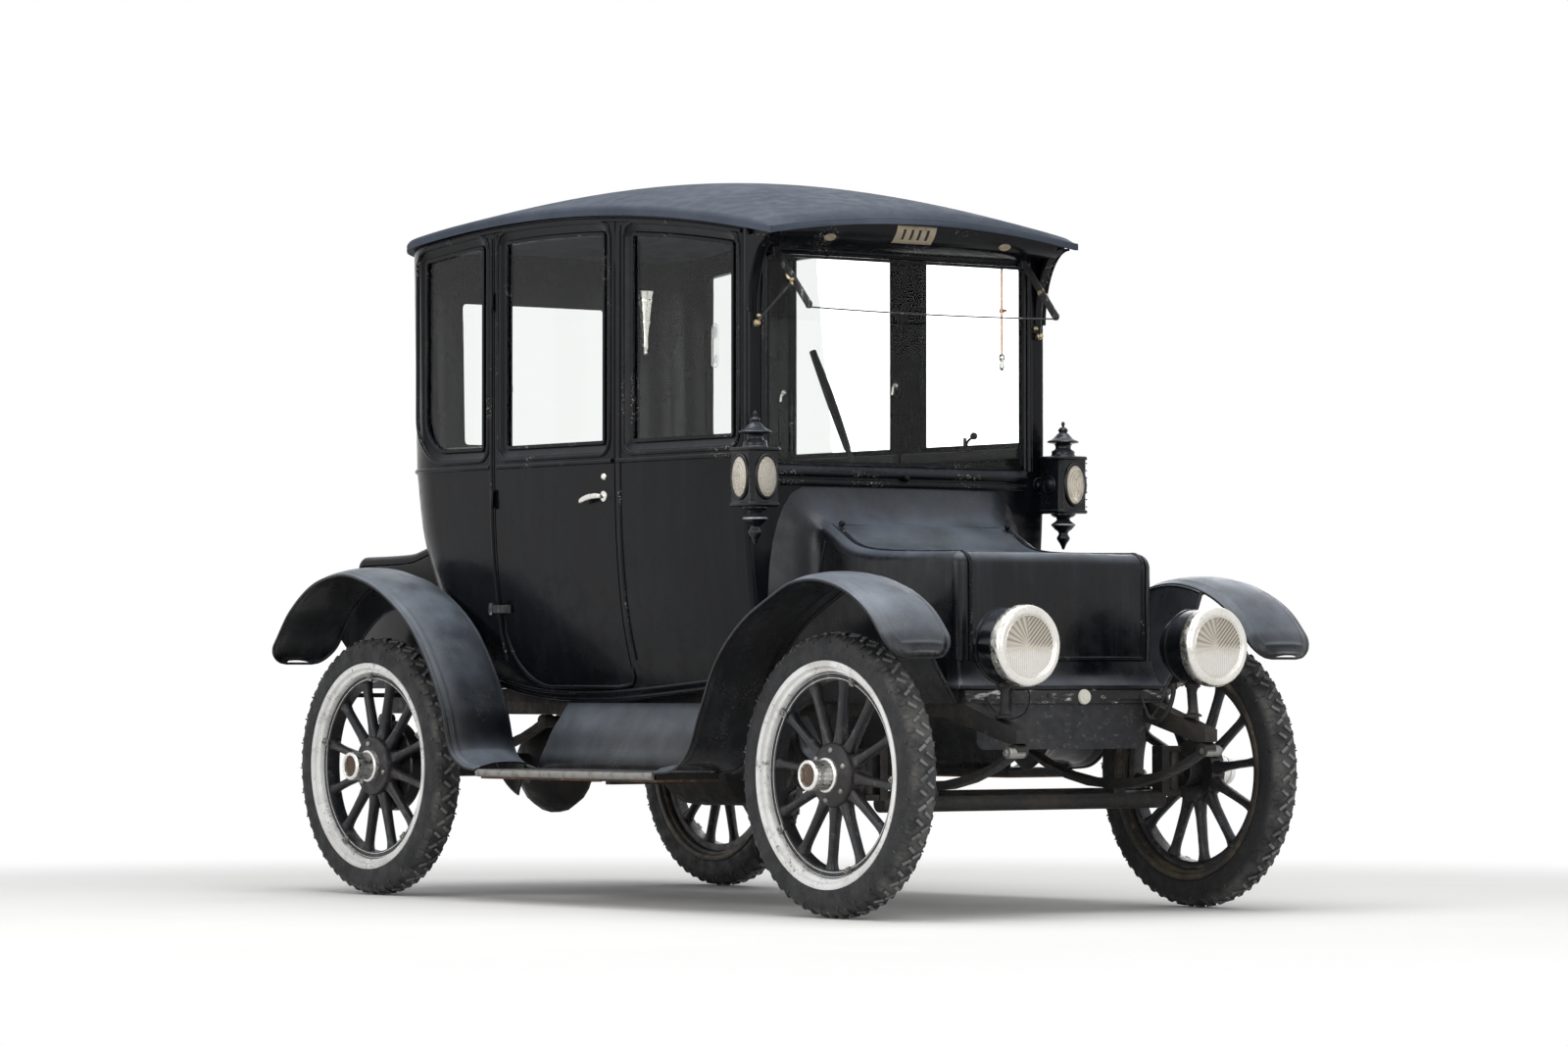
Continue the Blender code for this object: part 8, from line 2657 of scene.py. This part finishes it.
@dataclass
class Inside:
    """Seats, swivel chair with its pedestal, tiller, carpeted floor, batteries and small fittings."""

    plan: CarPlan

    def build(self) -> None:
        """Dress the inside."""
        for node, cap in (("rear_cushion", 0.026), ("rear_backrest", 0.026)):
            self.cushion(node, cap)
        self.build_chair()
        refined("chair_pedestal", Look.IRON, "car", 0.003)
        refined("cabin_floor", Look.CARPET, "car", 0.004)
        for node in ("front_battery", "rear_battery"):
            refined(node, Look.LEAD, "car", 0.006)
        self.build_tiller()
        self.build_fittings()

    def build_fittings(self) -> None:
        """Bud vase on the right door post, copper latch rod and lever with its ball."""
        x, y, top = -0.548, -0.056, 1.957
        vase = [(0.0, -0.205), (0.004, -0.203), (0.0065, -0.197), (0.005, -0.19), (0.0075, -0.184),
            (0.0085, -0.178), (0.0075, -0.15), (0.0125, -0.105), (0.0175, -0.05), (0.0215, -0.012),
            (0.0245, 0.0), (0.0235, 0.0), (0.0195, -0.013), (0.015, -0.052), (0.009, -0.11), (0.0, -0.15)]
        shape = Shape().turned(vase, (x, y, top), (0, 0, 1), 32)
        for drop in (0.03, 0.1):
            band = [(0.0225, -0.005), (0.0235, 0.0), (0.0225, 0.005), (0.012, 0.005), (0.012, -0.005)]
            shape.turned([(r - drop * 0.085, h) for r, h in band], (x, y, top - drop), (0, 0, 1), 28,
                looped=True)
        shape.rod([(x, y, top - 0.06), (x - 0.01, y + 0.03, top - 0.06), (x - 0.021, y + 0.04, top - 0.06)],
            0.004, 10)
        piece("bud_vase", shape, Look.NICKEL, angle=50)
        spot = Vector((0.467, -0.61, 0))
        rod = Shape().rod([spot + Vector((0, 0, 2.064)), spot + Vector((0, 0, 1.76))], 0.0036, 12)
        for z in (2.05, 1.905):
            rod.turned([(0.0, -0.006), (0.008, -0.006), (0.008, 0.006), (0.0, 0.006)], spot + Vector((0, 0, z)),
                (0, 0, 1), 16)
            rod.box(spot + Vector((-0.004, -0.022, z - 0.004)), spot + Vector((0.004, 0.0, z + 0.004)))
        piece("latch_rod", rod, Look.COPPER, angle=45)
        knob = Shape().turned([(0.0, 0.014), (0.007, 0.012), (0.0105, 0.005), (0.0095, -0.003), (0.005, -0.01),
            (0.0065, -0.018), (0.0085, -0.028), (0.006, -0.037), (0.0, -0.041)], spot + Vector((0, 0, 1.752)),
            (0, 0, 1), 22)
        piece("latch_rod_knob", knob, Look.NICKEL, angle=50)
        low = Vector((0.545, -0.33, 1.462))
        lever = Shape().box(low + Vector((-0.012, -0.022, 0.0)), low + Vector((0.012, 0.022, 0.014)))
        lever.rod(smooth_line([low, low + Vector((-0.01, -0.02, 0.03)), low + Vector((-0.02, -0.06, 0.045))],
            6), 0.0042, 10)
        lever.rod([low + Vector((0.004, 0.01, 0.0)), low + Vector((0.004, 0.01, 0.045))], 0.0055, 10)
        lever.turned([(0.0, 0.013), (0.008, 0.01), (0.0125, 0.002), (0.0105, -0.007), (0.0, -0.012)],
            low + Vector((-0.022, -0.068, 0.048)), (0, -1, 0.4), 20)
        piece("dash_lever", lever, Look.IRON, angle=50)

    def swell(self, name: str, mesh: bpy.types.Mesh, limit: float) -> bpy.types.Object:
        """Puff a closed shape up as cloth, with every point's move capped.

        Args:
            name: The pad's name.
            mesh: The closed shape that it starts from.
            limit: The furthest that a point may move, in metres.

        Returns:
            The pad, its simulation applied.
        """
        pad = loose_object(name, mesh)
        step = pad.modifiers.new("even", "REMESH")
        step.mode, step.voxel_size = "VOXEL", 0.006
        baked(pad)
        before = [v.co.copy() for v in pad.data.vertices]
        cloth = pad.modifiers.new("cloth", "CLOTH")
        cloth.settings.use_pressure, cloth.settings.uniform_pressure_force = True, 4.0
        cloth.settings.effector_weights.gravity = 0.0
        cloth.point_cache.frame_start, cloth.point_cache.frame_end = 1, 20
        for frame in range(1, 21):
            bpy.context.scene.frame_set(frame)
        baked(pad)
        bpy.context.scene.frame_set(1)
        for vertex, old in zip(pad.data.vertices, before):
            move = vertex.co - old
            if move.length > limit:
                vertex.co = old + move.normalized() * limit
        step = pad.modifiers.new("soft", "SMOOTH")
        step.factor, step.iterations = 0.5, 8
        step = pad.modifiers.new("fine", "SUBSURF")
        step.levels = step.render_levels = 1
        return baked(pad)

    def cushion(self, node: str, limit: float) -> None:
        """A padded piece in the space of a CAD node.

        Args:
            node: Name of the CAD node.
            limit: How far a point may move.
        """
        mesh = FRAME["nodes"][node].data.copy()
        work = bmesh.new()
        work.from_mesh(mesh)
        bmesh.ops.remove_doubles(work, verts=work.verts, dist=0.00002)
        low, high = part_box(node)
        middle = (low + high) / 2
        shrink = Vector([(high[i] - low[i] - 0.028) / (high[i] - low[i]) for i in range(3)])
        for vertex in work.verts:
            vertex.co = middle + Vector([(vertex.co[i] - middle[i]) * shrink[i] for i in range(3)])
        work.to_mesh(mesh)
        work.free()
        pad = self.swell(f"{node}_pad", mesh, limit)
        self.fit(pad, low, high)
        finished(pad, Look.CLOTH, "car", [node], 80)

    def fit(self, pad: bpy.types.Object, low: Vector, high: Vector) -> None:
        """Keep every point of a pad inside a box.

        Args:
            pad: The cushion.
            low: Lowest corner of its room.
            high: Highest corner of its room.
        """
        for vertex in pad.data.vertices:
            for i in range(3):
                vertex.co[i] = min(max(vertex.co[i], low[i] + 0.0005), high[i] - 0.0005)

    def build_chair(self) -> None:
        """The driver's chair: a crowned cushion and a rounded, padded back."""
        low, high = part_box("chair_cushion")
        seat_top = 1.06
        x, half = (low.x + high.x) / 2, (high.x - low.x) / 2
        outline = [(low.y + 0.01, 0.951), (high.y - 0.11, 0.951), (high.y - 0.11, seat_top - 0.018),
            (low.y + 0.01, seat_top - 0.018)]
        rows = [[(px, y, z) for y, z in outline] for px in (x - half + 0.014, x + half - 0.014)]
        seat = self.swell("chair_seat_pad", Shape().skin(rows).mesh("chair_seat"), 0.022)
        self.fit(seat, Vector((low.x, low.y, 0.9403)), Vector((high.x, high.y - 0.096, seat_top + 0.002)))
        finished(seat, Look.CLOTH, "car", ["chair_cushion"], 80)
        back = []
        for t in np.linspace(0, pi, 25):
            back.append((x + (half - 0.014) * cos(t), 1.33 + (high.z - 0.014 - 1.33) * sin(t) ** 0.8))
        ring = [(x - half + 0.014, 1.02), (x + half - 0.014, 1.02), *back]
        rows = [[(px, y, z) for px, z in ring] for y in (high.y - 0.084, high.y - 0.014)]
        rest = self.swell("chair_back_pad", Shape().skin(rows).mesh("chair_back"), 0.022)
        self.fit(rest, Vector((low.x, high.y - 0.098, 0.98)), Vector((high.x, high.y, high.z)))
        finished(rest, Look.CLOTH, "car", ["chair_cushion"], 80)

    def build_tiller(self) -> None:
        """Steering bar with its grip, foot socket and a small lever with a ball."""
        low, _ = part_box("tiller")
        foot = Vector((0.4, 0.03, low.z))
        known = [foot, foot + Vector((0, 0, 0.3)), foot + Vector((0, 0, 0.58)), foot + Vector((-0.018, 0.035,
            0.72)), foot + Vector((-0.03, 0.125, 0.915)), foot + Vector((-0.04, 0.22, 1.1))]
        line = smooth_line(known, 8)
        bar = Shape().rod(line, 0.0095, 16)
        bar.turned([(0.0, 0.0), (0.034, 0.0), (0.034, 0.006), (0.018, 0.012), (0.015, 0.06), (0.0, 0.06)], foot,
            (0, 0, 1), 28)
        lever = smooth_line([foot + Vector((-0.004, 0.0, 0.4)), foot + Vector((-0.06, 0.01, 0.46)),
            foot + Vector((-0.085, 0.02, 0.56))], 8)
        bar.rod(lever, 0.0055, 10)
        piece("tiller_bar", bar, Look.IRON, replaces=["tiller"], angle=50)
        grip = Shape().sweep(line[-15:], [(0.015 * cos(a), 0.015 * sin(a)) for a in np.linspace(0, 2 * pi,
            17)[:-1]], (1, 0, 0), sizes=lambda t: 0.8 + 0.24 * sin(pi * min(t * 1.02, 1.0)))
        grip.turned([(0.0, -0.016), (0.009, -0.013), (0.0155, -0.005), (0.0155, 0.005), (0.009, 0.013),
            (0.0, 0.016)], foot + Vector((-0.085, 0.02, 0.56)), (0, 0, 1), 20)
        piece("tiller_grip", grip, Look.GRIP, replaces=["tiller"], angle=50)


@dataclass
class Chassis:
    """Axles, springs, motor, frame and the front plate."""

    def build(self) -> None:
        """Dress the running gear."""
        eyes = Shape()
        for sign in (-1, 1):
            x, y, z = sign * 0.39, -1.7085, 0.498
            eyes.turned([(0.0, -0.03), (0.0165, -0.03), (0.0175, -0.028), (0.0175, 0.028), (0.0165, 0.03),
                (0.0, 0.03)], (x, y, z), (1, 0, 0), 28)
            for end in (-1, 1):
                eyes.turned([(0.0, -0.001), (0.0115, -0.001), (0.0115, 0.008), (0.0095, 0.01), (0.0, 0.01)],
                    (x + end * 0.03, y, z), (end, 0, 0), 6)
        piece("spring_eyes", eyes, Look.STEEL, angle=40)
        for node, body in (("front_axle", "car"), ("rear_axle", "car"), ("chassis_frame", "car"),
                ("drive_motor", "car"), ("knuckle_left", "knuckle_left"), ("knuckle_right", "knuckle_right"),
                ("tie_rod", "tie_rod")):
            refined(node, Look.IRON, body, 0.0022, 42)
        self.build_plate()

    def build_plate(self) -> None:
        """White chipped bar with its round cap, and the blank dark plate with rounded feet."""
        low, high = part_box("front_plate")
        front = low.y
        bar = Shape()
        section = [(front + 0.03, 0.6457), (front + 0.03, 0.6872), (front + 0.006, 0.6872),
            (front + 0.0008, 0.682), (front, 0.672), (front, 0.661), (front + 0.0008, 0.651),
            (front + 0.006, 0.6457)]
        bar.skin([[(x, y, z) for y, z in section] for x in (low.x, high.x)])
        bar.sweep([(x, front + 0.0015, 0.6475) for x in (low.x + 0.002, 0.0, high.x - 0.002)],
            half_round(0.008, 0.0012), (0, -1, 0))
        for x, z in ((-0.3, 0.664), (-0.06, 0.668), (0.31, 0.664)):
            bar.turned([(0.0, 0.0), (0.008, 0.0), (0.008, -0.0035), (0.0, -0.0035)], (x, front + 0.0002, z),
                (0, 1, 0), 6)
        piece("front_bar", bar, Look.BAR, replaces=["front_plate"], angle=50)
        clamp = Shape().box((0.03, front + 0.0003, 0.65), (0.052, front + 0.01, 0.684))
        clamp.box((0.05, front + 0.0005, 0.657), (0.064, front + 0.008, 0.67))
        piece("front_bar_clamp", clamp, Look.IRON, angle=40, bevel=0.0012)
        half = high.x - 0.054
        outline = [(half, 0.6457), *arc((half - 0.03, low.z + 0.03), (0.03, 0.03), 0, -90, 8)]
        outline += [(-x, z) for x, z in reversed(outline)]
        rows = [[(x, y, z) for x, z in outline] for y in (front + 0.0105, front + 0.0195)]
        piece("front_plate_panel", Shape().skin(rows), Look.PLATE, replaces=["front_plate"], angle=40,
            bevel=0.0015)
        cap = Shape().turned([(0.0, 0.0), (0.021, 0.0), (0.023, -0.004), (0.023, -0.01), (0.0, -0.01)],
            (0.078, front - 0.008, 0.6635), (0, -1, 0), 32)
        cap.turned([(0.0, 0.012), (0.012, 0.012), (0.012, -0.003), (0.0, -0.003)],
            (0.078, front - 0.008, 0.6635), (0, 1, 0), 20)
        piece("front_bar_cap", cap, Look.IVORY, angle=40)


@dataclass
class Studio:
    """Camera at the photograph's angle, soft lamps, pale floor and white ground behind."""

    place: tuple[float, float, float] = (-11.349, -14.939, 0.704)
    yaw: float = radians(37.344)
    pitch: float = radians(1.597)
    roll: float = radians(-0.027)
    lens: float = 132.29

    def build_camera(self) -> None:
        """Create the camera and make it the scene's."""
        data = bpy.data.cameras.new("photo_view")
        data.lens, data.sensor_width, data.clip_end = self.lens, 36.0, 200.0
        camera = bpy.data.objects.new("photo_view", data)
        bpy.context.scene.collection.objects.link(camera)
        camera.matrix_world = (Matrix.Translation(self.place) @ Matrix.Rotation(-self.yaw, 4,
            "Z") @ Matrix.Rotation(pi / 2 + self.pitch, 4, "X") @ Matrix.Rotation(self.roll, 4, "Z"))
        bpy.context.scene.camera = camera

    def build_world(self) -> None:
        """White to camera, glossy and transmitted rays; a plain soft light otherwise."""
        world = bpy.data.worlds.new("studio")
        world.use_nodes = True
        tree = world.node_tree
        tree.nodes.clear()
        path = tree.nodes.new("ShaderNodeLightPath")
        seen = tree.nodes.new("ShaderNodeMath")
        seen.operation, seen.use_clamp = "ADD", True
        through = tree.nodes.new("ShaderNodeMath")
        through.operation, through.use_clamp = "ADD", True
        tree.links.new(path.outputs["Is Glossy Ray"], through.inputs[0])
        tree.links.new(path.outputs["Is Transmission Ray"], through.inputs[1])
        tree.links.new(path.outputs["Is Camera Ray"], seen.inputs[0])
        tree.links.new(through.outputs[0], seen.inputs[1])
        soft, white = tree.nodes.new("ShaderNodeBackground"), tree.nodes.new("ShaderNodeBackground")
        soft.inputs[0].default_value, soft.inputs[1].default_value = (0.93, 0.96, 1.0, 1.0), 0.42
        white.inputs[0].default_value, white.inputs[1].default_value = (1.0, 1.0, 1.0, 1.0), 1.0
        mix = tree.nodes.new("ShaderNodeMixShader")
        out = tree.nodes.new("ShaderNodeOutputWorld")
        tree.links.new(seen.outputs[0], mix.inputs[0])
        tree.links.new(soft.outputs[0], mix.inputs[1])
        tree.links.new(white.outputs[0], mix.inputs[2])
        tree.links.new(mix.outputs[0], out.inputs[0])
        bpy.context.scene.world = world

    def lamp(self, name: str, spot: Spot, aim: Spot, size: tuple[float, float], power: float) -> None:
        """Add a soft area lamp that looks at a point.

        Args:
            name: Name of the lamp.
            spot: Its place.
            aim: Point that it lights.
            size: Width and height.
            power: Power, in watts.
        """
        data = bpy.data.lights.new(name, "AREA")
        data.shape, data.size, data.size_y, data.energy = "RECTANGLE", size[0], size[1], power
        lamp = bpy.data.objects.new(name, data)
        bpy.context.scene.collection.objects.link(lamp)
        way = Vector(aim) - Vector(spot)
        lamp.matrix_world = Matrix.Translation(spot) @ way.to_track_quat("-Z", "Y").to_matrix().to_4x4()

    def build(self) -> None:
        """Set the stage."""
        self.build_world()
        self.lamp("sky_panel", (-0.6, -0.6, 6.0), (0, 0, 0.8), (5.5, 5.5), 300)
        self.lamp("side_panel", (-7.0, -1.5, 3.2), (0, 0, 1.0), (5.0, 4.0), 150)
        self.lamp("front_panel", (-1.5, -7.5, 3.0), (0, 0, 1.0), (5.0, 3.5), 110)
        self.lamp("far_panel", (6.0, 4.5, 3.5), (0, 0, 1.0), (4.0, 4.0), 90)
        shape = Shape().skin([[(x, y, 0.0) for x in np.linspace(-40, 40, 9)] for y in np.linspace(-40, 40, 9)],
            closed=False)
        floor = loose_object("pale_floor", shape.mesh("pale_floor"))
        floor.data.materials.append(Look.FLOOR.material())


def main() -> None:
    """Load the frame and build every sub-assembly in order."""
    logging.basicConfig(level=logging.INFO, format="%(message)s")
    FRAME.update(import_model())
    bpy.context.scene.view_settings.view_transform = "Standard"
    studio = Studio()
    studio.build_camera()
    plan = CarPlan()
    rings = RingArray()
    for part in (Coach(plan), Roof(plan), Screen(plan), Nose(plan), Tail(), Fenders(plan), Wheels(rings),
            Headlamps(), Lanterns(), Inside(plan), Chassis()):
        LOG.info("building %s", type(part).__name__)
        part.build()
    studio.build()


if __name__ == "__main__":
    main()
